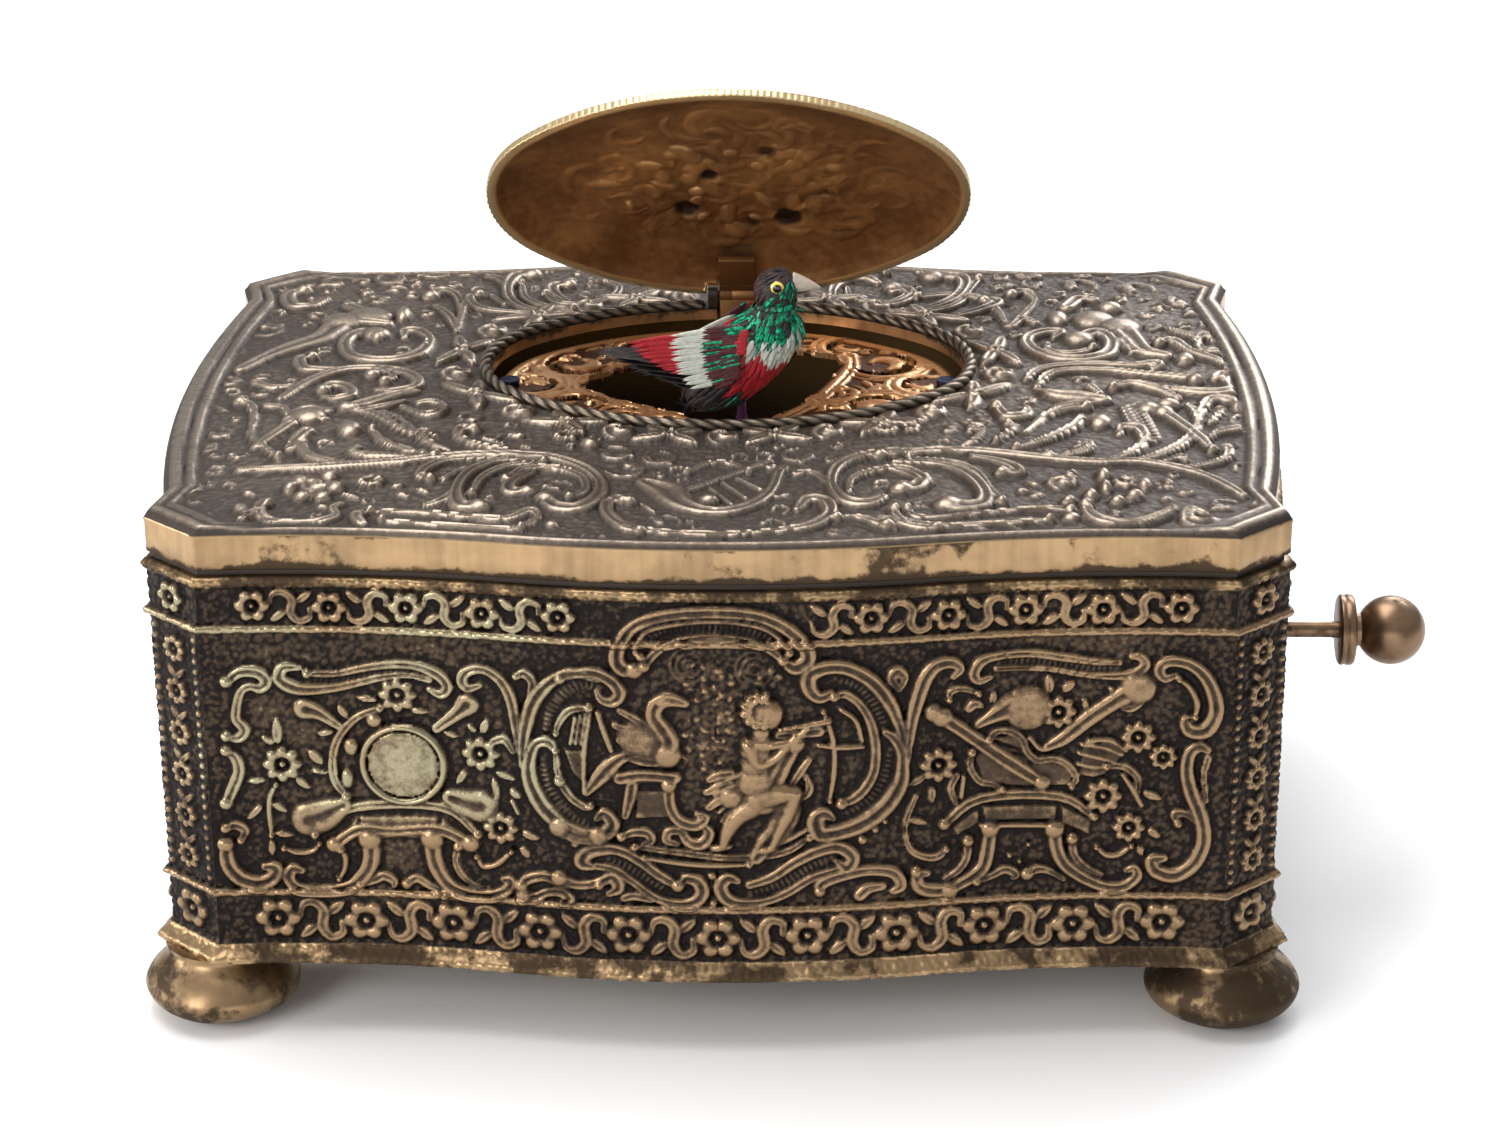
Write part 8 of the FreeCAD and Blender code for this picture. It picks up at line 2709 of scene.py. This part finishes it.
    def dress(self, looks: Looks) -> list[bpy.types.Object]:
        """Builds the lid and its bracket and dresses them.

        Args:
            looks: Materials by look.

        Returns:
            The pieces.
        """
        gilt = looks[Look.LID]
        return [dress(self.shell(), gilt, "lid", "worn_gilt", "oval_lid"),
                dress(self.bracket(), gilt, "lid", "worn_gilt", "lid_arm")]


# Bird
@dataclass(frozen=True)
class Feather:
    """One feather.

    Args:
        root: Where it grows, in millimetres.
        along: Unit direction from root to tip.
        out: Unit direction away from the body.
        length: Its length.
        width: Its greatest half width.
        tint: Green, red and white shares at its tip.
        curl: How far its tip bends towards the body, in millimetres.
    """

    root: Place
    along: Place
    out: Place
    length: float
    width: float
    tint: Colour
    curl: float = 0.2


def plumage(name: str, feathers: list[Feather]) -> bpy.types.Object:
    """Many overlapping feathers as one closed piece.

    Args:
        name: Name of the piece.
        feathers: List of Feather.

    Returns:
        The new object with its tints kept as point attributes.
    """
    stations = np.linspace(0, 1, 8)
    blade = np.sin(math.pi * np.clip(stations, 0, 1) ** 0.75) ** 0.6
    blade[0] = blade[-1] = 0
    around = np.linspace(0, 2 * math.pi, 6, endpoint=False)
    nets, tints = [], []
    for feather in feathers:
        root, along = np.array(feather.root), np.array(feather.along)
        out = np.array(feather.out)
        side = np.cross(along, out)
        side /= np.linalg.norm(side) + 1e-9
        out = np.cross(side, along)
        middle = root + stations[:, None] * feather.length * along
        middle = middle - (stations**2)[:, None] * feather.curl * out
        wide = blade * feather.width
        net = (middle[:, None] + wide[:, None, None] * (
            np.cos(around)[None, :, None] * side + 0.26 * np.sin(around)[None, :, None] * out))
        nets.append(net)
        tints.append(np.broadcast_to(np.array(feather.tint)[None, None], net.shape[:2] + (3,)))
    net, tint = np.concatenate(nets, 0), np.concatenate(tints, 0)
    values = {key: tint[..., index] for index, key in enumerate(("green", "red", "pale"))}
    obj = sheet(name, net, (False, True), values)
    bpy.ops.object.mode_set(mode="EDIT")
    bpy.ops.mesh.select_all(action="SELECT")
    bpy.ops.mesh.delete_loose(use_verts=True, use_edges=True, use_faces=False)
    bpy.ops.object.mode_set(mode="OBJECT")
    return obj


def unit(value: Sequence[float]) -> np.ndarray:
    """A vector of length one."""
    value = np.array(value, float)
    return value / (np.linalg.norm(value) + 1e-12)


@dataclass(frozen=True)
class Row:
    """One row of a wing's feathers, from its top edge to its bottom edge.

    Args:
        roots: Places (x, z) where the top and the bottom feather grow.
        tips: Places (x, z) that the tips pass through.
        count: How many feathers it has.
        width: Their half width.
        tint: Their green, red and white shares.
        lift: How far it stands off the body.
    """

    roots: tuple[Spot, ...]
    tips: tuple[Spot, ...]
    count: int
    width: float
    tint: Colour
    lift: float


WING_ROWS = (
    Row(((0.0, 8.9), (-0.4, 5.6)), ((-9.4, 7.4), (-9.0, 6.9), (-8.0, 6.3)), 8, 0.3,
        (0.0, 0.0, 0.0), 0.0),
    Row(((0.0, 9.6), (-0.6, 5.6)), ((-9.3, 8.3), (-8.6, 7.4), (-7.2, 6.4), (-5.2, 5.3)), 24, 0.32,
        (0.0, 1.0, 0.0), 0.12),
    Row(((1.2, 9.9), (0.6, 4.6)), ((-5.0, 9.2), (-5.2, 7.6), (-4.6, 5.4), (-3.3, 3.7)), 26, 0.31,
        (0.0, 0.0, 1.0), 0.26),
    Row(((2.0, 10.1), (1.3, 4.6)), ((-1.8, 9.9), (-2.2, 7.6), (-1.9, 5.2), (-0.9, 3.7)), 26, 0.28,
        (0.3, 0.1, 0.0), 0.42),
    Row(((2.3, 10.0), (1.7, 5.0)), ((0.2, 9.9), (-0.4, 8.0), (-0.5, 6.0), (0.2, 4.4)), 22, 0.26,
        (0.3, 0.1, 0.0), 0.54),
    Row(((2.6, 9.6), (2.4, 7.6)), ((1.4, 9.6), (0.9, 8.4), (1.1, 7.2)), 9, 0.26,
        (0.0, 1.0, 0.0), 0.6))


@dataclass(frozen=True)
class Bird:
    """The feathered bird: torso, head, beak, eyes, tail and wings.

    Args:
        torso: Middle of the torso.
        torso_size: Half its length and half its depth.
        torso_turn: Its turn from level, in radians.
        head: Middle of the head.
        head_radius: Its radius.
        eye: Where the eyes lie, on the middle plane.
    """

    torso: Place = (1.9, BOX.bird_y, BOX.top_z + 5.4)
    torso_size: Spot = (6.9, 3.5)
    torso_turn: float = math.radians(42)
    head: Place = (5.2, BOX.bird_y, BOX.top_z + 12.35)
    head_radius: float = 2.1
    eye: Place = (5.3, BOX.bird_y, BOX.top_z + 13.2)

    def torso_frame(self) -> tuple[np.ndarray, np.ndarray, np.ndarray]:
        """Unit directions of the torso: towards the head, the breast and the side.

        Returns:
            The three directions.
        """
        ahead = np.array([math.cos(self.torso_turn), 0, math.sin(self.torso_turn)])
        breast = np.array([math.sin(self.torso_turn), 0, -math.cos(self.torso_turn)])
        return ahead, breast, np.array([0, -1.0, 0])

    def body_tint(self, spot: np.ndarray, jitter: float) -> Colour:
        """Green, red and white shares of the plumage at a place on the torso.

        Args:
            spot: A place, in millimetres.
            jitter: A random number from -0.5 to 0.5.

        Returns:
            The shares.
        """
        x, up = spot[0] + jitter * 0.6, spot[2] - BOX.top_z + jitter * 0.9
        if up > 9.3:
            return (0.9 if jitter > -0.2 else 0.1, 0.0, 0.0)
        if up > 6.7 + 0.35 * (6.0 - x) and x > 2.9:
            return (0.0, 0.0, 1.0)
        if up > 3.1 and x > 0.9:
            return (0.0, 1.0, 0.0)
        return (0.5 * (jitter > 0.25 and up < 4.2 and x > 0), 0.0, 0.0)

    def torso_piece(self) -> bpy.types.Object:
        """The bird's body with its rows of feathers.

        Returns:
            The new object.
        """
        rng = np.random.default_rng(SEED + 2)
        ahead, breast, side = self.torso_frame()
        centre, (long, deep) = np.array(self.torso), self.torso_size
        turn = np.linspace(0, 2 * math.pi, 40, endpoint=False)
        reach = np.linspace(math.pi * 0.995, 0.005 * math.pi, 26)
        net = (centre + long * np.cos(reach)[None, :, None] * ahead
               + deep * np.sin(reach)[None, :, None] * (
                   np.cos(turn)[:, None, None] * breast + np.sin(turn)[:, None, None] * side))
        core = sheet("torso_core", net, (True, False), {
            "green": np.full((40, 26), 0.1), "red": np.zeros((40, 26)), "pale": np.zeros((40, 26))})
        feathers = []
        for ring in range(26):
            at = math.cos(math.pi * (0.06 + 0.88 * ring / 25))
            girth = math.sqrt(1 - at * at)
            count = max(8, int(36 * girth))
            for index in range(count):
                angle = 2 * math.pi * (index + 0.5 * (ring % 2) + 0.3 * rng.random()) / count
                out = math.cos(angle) * breast + math.sin(angle) * side
                spot = centre + long * at * ahead + 3.42 * girth * out
                normal = unit(at / long * ahead + girth / deep * out)
                flow = -ahead - (np.array([0, 0, 1.2]) if spot[0] > 2.6 else 0)
                back = unit(flow - (flow @ normal) * normal + 0.2 * (rng.random(3) - 0.5))
                tint = self.body_tint(spot, rng.random() - 0.5)
                back = unit(back + 0.09 * normal)
                feathers.append(Feather(tuple(spot), tuple(back), tuple(normal),
                                        1.9 + 0.7 * rng.random(), 0.33, tint, 0.3))
        return joined("bird_plumage", [core, plumage("torso_feathers", feathers)])

    def head_piece(self) -> bpy.types.Object:
        """The head: a feathered crown, and green cheeks and throat.

        Returns:
            The new object.
        """
        rng = np.random.default_rng(SEED + 3)
        centre = np.array(self.head)
        bow = np.linspace(0.01, math.pi - 0.01, 18)
        rows = [(self.head_radius * math.sin(a), self.head_radius * math.cos(a)) for a in bow]
        core = turned("head_core", rows, self.head, "x", 36, sharp=None)
        for key in ("green", "red", "pale"):
            core.data.attributes.new(key, "FLOAT", "POINT")
        feathers = []
        for ring in range(17):
            at = math.cos(math.pi * (0.13 + 0.84 * ring / 16))
            girth = math.sqrt(1 - at * at)
            count = max(9, int(36 * girth))
            for index in range(count):
                angle = 2 * math.pi * (index + 0.5 * (ring % 2)) / count
                out = np.array([0, math.sin(angle), math.cos(angle)])
                normal = unit(at * np.array([1.0, 0, 0]) + girth * out)
                spot = centre + (self.head_radius - 0.06) * normal
                beside = abs(spot[0] - self.eye[0]) < 0.75 and abs(spot[2] - self.eye[2]) < 0.7
                if beside and girth > 0.7:
                    continue
                flow = np.array([-0.75, 0, -0.9])
                back = unit(flow - (flow @ normal) * normal + 0.16 * (rng.random(3) - 0.5))
                crown = spot[2] - self.eye[2] > 0.2 + 0.5 * rng.random() or spot[0] < 4.4
                dull = crown or rng.random() < 0.35
                tint = (0.0, 0.11 * rng.random(), 0.0)
                if not dull:
                    tint = (0.6 + 0.4 * rng.random(), 0.0, 0.0)
                flat = normal[2] > 0.2
                size = 1.1 + 0.3 * rng.random() if flat else 1.3 + 0.6 * rng.random()
                feathers.append(Feather(tuple(spot), tuple(back), tuple(normal), size, 0.2, tint,
                                        0.16 if flat else 0.3))
        for index in range(64):
            angle = math.radians(-175 + 350 * index / 63)
            out = np.array([math.cos(angle), math.sin(angle), 0])
            for level in range(5):
                spot = centre + np.array([0.15, 0, -0.9 - 0.62 * level])
                spot = spot + (1.85 + 0.3 * level) * out
                spot[0] -= 0.32 * level
                back = unit(np.array([-0.3, 0, -1.0]) + 0.2 * out + 0.16 * (rng.random(3) - 0.5))
                dull = rng.random() < (0.25 if out[0] > -0.3 else 0.8)
                shade = (0.08, 0.02, 0.0) if dull else (0.5 + 0.5 * rng.random(), 0.0, 0.0)
                feathers.append(Feather(tuple(spot), tuple(back), tuple(out),
                                        1.8 + 1.0 * rng.random(), 0.19, shade, 0.15))
        return joined("head_plumage", [core, plumage("head_feathers", feathers)])

    def beak_piece(self, lower: bool) -> bpy.types.Object:
        """One half of the curved beak, pointed and ridged.

        Args:
            lower: Whether this is the lower half.

        Returns:
            The new object.
        """
        share = np.linspace(0, 1, 16)
        turn = np.linspace(0, 2 * math.pi, 24, endpoint=False)[None, :]
        x = 6.8 + (2.1 if lower else 2.8) * share
        wide = 0.92 * (1 - share**1.7) ** 0.85 + 0.04
        deep = 0.42 * wide if lower else 1.65 * (1 - share**1.25) ** 0.9 + 0.05
        droop = (0.35 if lower else 0.1) * share**2
        sign = -1 if lower else 1
        half = np.sin(turn)
        level = np.where(half > 0, np.abs(half) ** 0.85, half * 0.06) * deep[:, None] * sign
        net = np.stack([
            np.repeat(x[:, None], 24, 1), BOX.bird_y + wide[:, None] * np.cos(turn),
            BOX.top_z + 12.4 + 0.07 * sign + droop[:, None] * 0.4 + level], -1)
        return sheet("beak_lower" if lower else "beak_upper", net, (False, True))

    def eyes_piece(self) -> bpy.types.Object:
        """Two glass eyes with a ring and a dark pupil.

        Returns:
            The new object.
        """
        made = []
        for side in (-1, 1):
            rows = [(0.001, 0.3), (0.14, 0.29), (0.26, 0.25), (0.4, 0.14), (0.48, 0.0),
                    (0.56, -0.05), (0.6, -0.14), (0.56, -0.24), (0.46, -0.3), (0.001, -0.3)]
            eye = turned(f"eye_{side}", rows, (0, 0, 0), "z", 28, sharp=None)
            places = np.array([v.co for v in eye.data.vertices]) / MM
            pupil = eye.data.attributes.new("tall", "FLOAT", "POINT")
            reach = np.hypot(places[:, 0], places[:, 1])
            value = np.where(reach > 0.5, 0.5, 0)
            value = np.where((reach < 0.27) & (places[:, 2] > 0), 1, value)
            pupil.data.foreach_set("value", value.astype(np.float32))
            bpy.context.view_layer.update()
            eye.rotation_euler = (math.radians(90 if side < 0 else -90), 0, 0)
            eye.scale = (1.22, 1.22, 1.1)
            eye.location = (self.eye[0] * MM, (BOX.bird_y + side * 2.02) * MM, self.eye[2] * MM)
            activate(eye)
            bpy.ops.object.transform_apply(location=True, rotation=True, scale=True)
            made.append(eye)
        return joined("glass_eyes", made)

    def wing_piece(self, side: int) -> bpy.types.Object:
        """A wing of layered feathers: brown and green coverts, a white and a red bar.

        Args:
            side: -1 for the wing the camera sees, 1 for the one behind the body.

        Returns:
            The new object.
        """
        rng = np.random.default_rng(SEED + 4)
        out = np.array([0, float(side), 0])
        feathers = []
        for row in WING_ROWS:
            share = np.linspace(0, 1, row.count)
            tips = np.array(row.tips)
            places = np.linspace(0, 1, len(tips))
            tips = np.stack([np.interp(share, places, tips[:, 0]),
                             np.interp(share, places, tips[:, 1])], 1)
            roots = np.array(row.roots)
            for at, tip in zip(share, tips):
                root = roots[0] * (1 - at) + roots[1] * at
                ends = []
                for x, z in (root, tip + 0.35 * (rng.random(2) - 0.5)):
                    back = max(2.6 - x, 0.0) if side > 0 else 0.0
                    drop = 3.3 * (1 - math.exp(-back / 2.6))
                    ends.append(np.array([x, BOX.bird_y + side * (4.0 + row.lift) - 0.3 * back,
                                          BOX.top_z + z - drop]))
                along = ends[1] - ends[0]
                tint = row.tint
                if tint[0]:
                    bright = rng.random() < 0.3
                    tint = (0.75, 0.0, 0.0) if bright else (0.12, 0.10 + 0.08 * rng.random(), 0.0)
                feathers.append(Feather(tuple(ends[0]), tuple(unit(along)), tuple(out),
                                        float(np.linalg.norm(along)), row.width, tint, 0.1))
        return plumage("wing_feathers_right" if side < 0 else "wing_feathers_left", feathers)

    def tail_piece(self) -> bpy.types.Object:
        """The black tail: long feathers laid side by side and one under the other.

        Returns:
            The new object.
        """
        rng = np.random.default_rng(SEED + 5)
        feathers = []
        for layer in range(8):
            for index in range(9):
                share = index / 8 * 2 - 1
                root = np.array([0.6 - 0.1 * layer, BOX.bird_y + 1.5 * share,
                                 BOX.top_z + 4.9 - 0.55 * layer])
                end = np.array([-13.2 + 1.45 * layer + 0.8 * abs(share) + 0.4 * rng.random(),
                                BOX.bird_y + 1.4 * share, BOX.top_z + 6.0 - 0.62 * layer])
                back = end - root
                up = unit(np.cross(back, (0, -1, 0)))
                up = up if up[2] > 0 else -up
                feathers.append(Feather(tuple(root), tuple(unit(back)), tuple(up),
                                        float(np.linalg.norm(back)), 0.42, (0.03, 0.0, 0.0), 0.0))
        return plumage("tail_feathers", feathers)

    def dress(self, looks: Looks) -> list[bpy.types.Object]:
        """Builds the bird and dresses it.

        Args:
            looks: Materials by look.

        Returns:
            The pieces.
        """
        coat = looks[Look.PLUMAGE]
        return [
            dress(self.torso_piece(), coat, "bird", "feather_red", "bird_body"),
            dress(self.head_piece(), coat, "bird", "feather_green", "bird_head"),
            dress(self.beak_piece(False), looks[Look.BEAK], "bird", "beak"),
            dress(self.beak_piece(True), looks[Look.DARK_BEAK], "beak", "beak", "lower_beak"),
            dress(self.eyes_piece(), looks[Look.EYE], "bird", "eye", "bird_eyes"),
            dress(self.tail_piece(), coat, "tail", "feather_dark", "bird_tail"),
            dress(self.wing_piece(-1), coat, "wing_right", "feather_dark", "right_wing"),
            dress(self.wing_piece(1), coat, "wing_left", "feather_dark", "left_wing")]


# Feet and knob
@dataclass(frozen=True)
class Feet:
    """The four flattened bun feet, each slightly dented in its own way.

    Args:
        spread: Distances of the feet from the middle, across and to the front.
        steps: Steps round each foot.
    """

    spread: Spot = (48.5, 32.5)
    steps: int = 110

    def dent(self, turn: np.ndarray, profile: np.ndarray, x: float, y: float) -> np.ndarray:
        """How much a foot's radius differs from a true circle.

        Args:
            turn: Angles in radians.
            profile: Rows of the profile.
            x: Place of the foot across.
            y: Place of the foot to the back.

        Returns:
            What to add to the radius.
        """
        return 0.05 * np.sin(3 * turn + x) * np.sin(profile[..., 1]) - 0.03 * np.cos(5 * turn + y)

    def foot(self, name: str, x: float, y: float) -> bpy.types.Object:
        """A flattened bun foot with a short neck and a hollow sole.

        Args:
            name: Name of the piece.
            x: Place across, in millimetres.
            y: Place from front to back, in millimetres.

        Returns:
            The new object.
        """
        rows = [(0.01, 1.0), (1.6, 1.0), (2.0, 0.2), (2.4, 0.0), (3.3, 0.0)]
        given = np.array([(3.6, 0.03), (4.7, 0.32), (5.8, 0.85), (6.7, 1.5), (7.25, 2.2),
                          (7.48, 2.9), (7.42, 3.35), (7.1, 3.95), (6.6, 4.6), (5.95, 5.25), (5.35, 5.8),
                          (4.9, 6.35), (4.75, 6.8)])
        rows += [tuple(row) for row in smooth_line(given, 4)]
        rows += [(5.1, 6.9), (5.3, 7.02), (5.3, 7.38), (0.01, 7.38)]
        return turned(name, rows, (x, y, 0), "z", self.steps,
                      lambda turn, profile: self.dent(turn, profile, x, y), 30)

    def dress(self, looks: Looks) -> list[bpy.types.Object]:
        """Builds the feet and dresses them.

        Args:
            looks: Materials by look.

        Returns:
            The pieces.
        """
        return [dress(self.foot(f"bun_{name}", side * self.spread[0], end * self.spread[1]),
                      looks[Look.FEET], "case", "worn_gilt", f"foot_{name}")
                for name, side, end in (("front_left", -1, -1), ("front_right", 1, -1),
                                        ("rear_left", -1, 1), ("rear_right", 1, 1))]


@dataclass(frozen=True)
class StartKnob:
    """The ball knob that starts the bird, with its grooved flange.

    Args:
        place: Where its flange starts, on the right-hand end.
        radius: Radius of the ball.
        steps: Steps round it.
    """

    place: Place = (61.9, -4.0, 27.4)
    radius: float = 3.5
    steps: int = 84

    def knob(self) -> bpy.types.Object:
        """The ball knob with its grooved flange.

        Returns:
            The new object.
        """
        rows = [(0.85, -0.6), (0.85, 0.0), (3.35, 0.0), (3.55, 0.12), (3.6, 0.35), (3.5, 0.55),
                (3.5, 0.62), (3.6, 0.8), (3.58, 1.3), (3.4, 1.5), (3.0, 1.58), (1.7, 1.6),
                (1.62, 1.75), (1.66, 2.0)]
        ball = np.radians(np.linspace(152, 1, 40))
        rows += [(self.radius * math.sin(a), 5.3 + self.radius * math.cos(a)) for a in ball]
        return turned("knob_turned", rows, self.place, "x", self.steps, None, 40)

    def dress(self, looks: Looks) -> list[bpy.types.Object]:
        """Builds the knob and dresses it.

        Args:
            looks: Materials by look.

        Returns:
            The pieces.
        """
        return [dress(self.knob(), looks[Look.KNOB], "start_slide", "brass", "start_knob")]


# Stage
@dataclass(frozen=True)
class Studio:
    """The photo's camera, its lamps, the pale table and the white surroundings.

    Args:
        lens: Focal length of the camera.
        sensor: Width of its sensor.
        view: How high and how far round it stands, and its roll, in degrees.
        aim: What it looks at.
        distance: How far away it stands.
    """

    lens: float = 89.85
    sensor: float = 36.0
    view: Place = (23.31, 1.39, -0.41)
    aim: Place = (2.30, 0, 31.75)
    distance: float = 382.38

    def camera(self) -> None:
        """The camera that takes the photo's view."""
        data = bpy.data.cameras.new("view")
        data.lens, data.sensor_width = self.lens, self.sensor
        data.clip_start, data.clip_end = 0.01, 10
        rise, turn, roll = (math.radians(angle) for angle in self.view)
        back = Vector((math.sin(turn) * math.cos(rise), -math.cos(turn) * math.cos(rise),
                       math.sin(rise)))
        across = (-back).cross(Vector((0, 0, 1))).normalized()
        up = across.cross(-back)
        right = across * math.cos(roll) + up * math.sin(roll)
        above = up * math.cos(roll) - across * math.sin(roll)
        obj = bpy.data.objects.new("view", data)
        obj.matrix_world = Matrix.Translation(
            (Vector(self.aim) + back * self.distance) * MM) @ Matrix(
                (right, above, back)).transposed().to_4x4()
        bpy.context.scene.collection.objects.link(obj)
        bpy.context.scene.camera = obj

    def lamp(self, name: str, place: Place, aim: Place, size: Spot, power: float,
             shade: Colour = (1, 1, 1)) -> None:
        """A soft rectangular light.

        Args:
            name: Its name.
            place: Where it hangs, in millimetres.
            aim: What it points at, in millimetres.
            size: Width and height, in millimetres.
            power: Its power in watts.
            shade: Its colour.
        """
        data = bpy.data.lights.new(name, "AREA")
        data.shape, data.size, data.size_y = "RECTANGLE", size[0] * MM, size[1] * MM
        data.energy, data.color = power, shade
        obj = bpy.data.objects.new(name, data)
        obj.location = Vector(place) * MM
        aimed = (Vector(aim) - Vector(place)).to_track_quat("-Z", "Y")
        obj.rotation_mode = "QUATERNION"
        obj.rotation_quaternion = aimed
        bpy.context.scene.collection.objects.link(obj)

    def world(self) -> None:
        """A white background for the eye, and dimmer light for the metal."""
        scene = bpy.context.scene
        scene.world = bpy.data.worlds.new("studio")
        scene.world.use_nodes = True
        nodes, links = scene.world.node_tree.nodes, scene.world.node_tree.links
        nodes.clear()
        path = nodes.new("ShaderNodeLightPath")
        place = nodes.new("ShaderNodeTexCoord")
        split = nodes.new("ShaderNodeSeparateXYZ")
        links.new(place.outputs["Generated"], split.inputs[0])
        ramp = nodes.new("ShaderNodeValToRGB")
        links.new(split.outputs["Z"], ramp.inputs[0])
        ramp.color_ramp.elements[0].position = 0.0
        ramp.color_ramp.elements[0].color = (0.3, 0.3, 0.3, 1)
        ramp.color_ramp.elements[1].position = 0.7
        ramp.color_ramp.elements[1].color = (0.62, 0.62, 0.63, 1)
        dim = nodes.new("ShaderNodeBackground")
        links.new(ramp.outputs[0], dim.inputs["Color"])
        white = nodes.new("ShaderNodeBackground")
        white.inputs["Color"].default_value = (1, 1, 1, 1)
        mix = nodes.new("ShaderNodeMixShader")
        links.new(path.outputs["Is Camera Ray"], mix.inputs[0])
        links.new(dim.outputs[0], mix.inputs[1])
        links.new(white.outputs[0], mix.inputs[2])
        out = nodes.new("ShaderNodeOutputWorld")
        links.new(mix.outputs[0], out.inputs["Surface"])

    def floor(self) -> None:
        """The pale table, white where the camera sees it lit."""
        bpy.ops.mesh.primitive_grid_add(x_subdivisions=8, y_subdivisions=8, size=8.0)
        table = bpy.context.object
        table.name = "table_top"
        finish = Finish("pale_table")
        table.data.materials.append(finish.surface(
            Base_Color=(0.93, 0.93, 0.93), Roughness=0.6, Specular_IOR_Level=0.2))

    def build(self) -> None:
        """Sets the stage."""
        self.floor()
        self.world()
        self.camera()
        self.lamp("top_card", (-80, 60, 460), (0, 0, 40), (420, 300), 1.9)
        self.lamp("front_card", (-360, -420, 230), (0, 0, 30), (260, 260), 1.5, (1, 0.98, 0.95))
        self.lamp("left_card", (-480, -40, 130), (0, 0, 30), (160, 200), 0.8)
        self.lamp("back_card", (230, 440, 280), (0, 0, 45), (320, 200), 1.5, (0.97, 0.98, 1))
        self.lamp("low_card", (30, -620, 70), (0, 0, 30), (600, 110), 0.5)
        scene = bpy.context.scene
        scene.view_settings.view_transform = "Standard"
        scene.view_settings.look = "None"


# Assembly
def carry_over(frame: dict, looks: Looks) -> None:
    """Gives the CAD nodes that stay visible their materials.

    Args:
        frame: The loaded CAD frame.
        looks: Materials by look.
    """
    for look, names in NODE_LOOKS.items():
        for name in names:
            node = frame["nodes"][name]
            node.data.materials.clear()
            node.data.materials.append(looks[look])


def main() -> None:
    """Loads the frame and builds the box on its stage."""
    logging.basicConfig(level=logging.INFO, format="%(message)s")
    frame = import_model()
    looks = {look: finish.make(look.value) for look, finish in FINISHES.items()}
    for assembly in (Case(), Cover(), Grille(), Lid(), Bird(), Feet(), StartKnob()):
        for obj in assembly.dress(looks):
            LOG.info("%s: %s, %d faces", type(assembly).__name__, obj.name,
                     len(obj.data.polygons))
    carry_over(frame, looks)
    Studio().build()


if __name__ == "__main__":
    main()
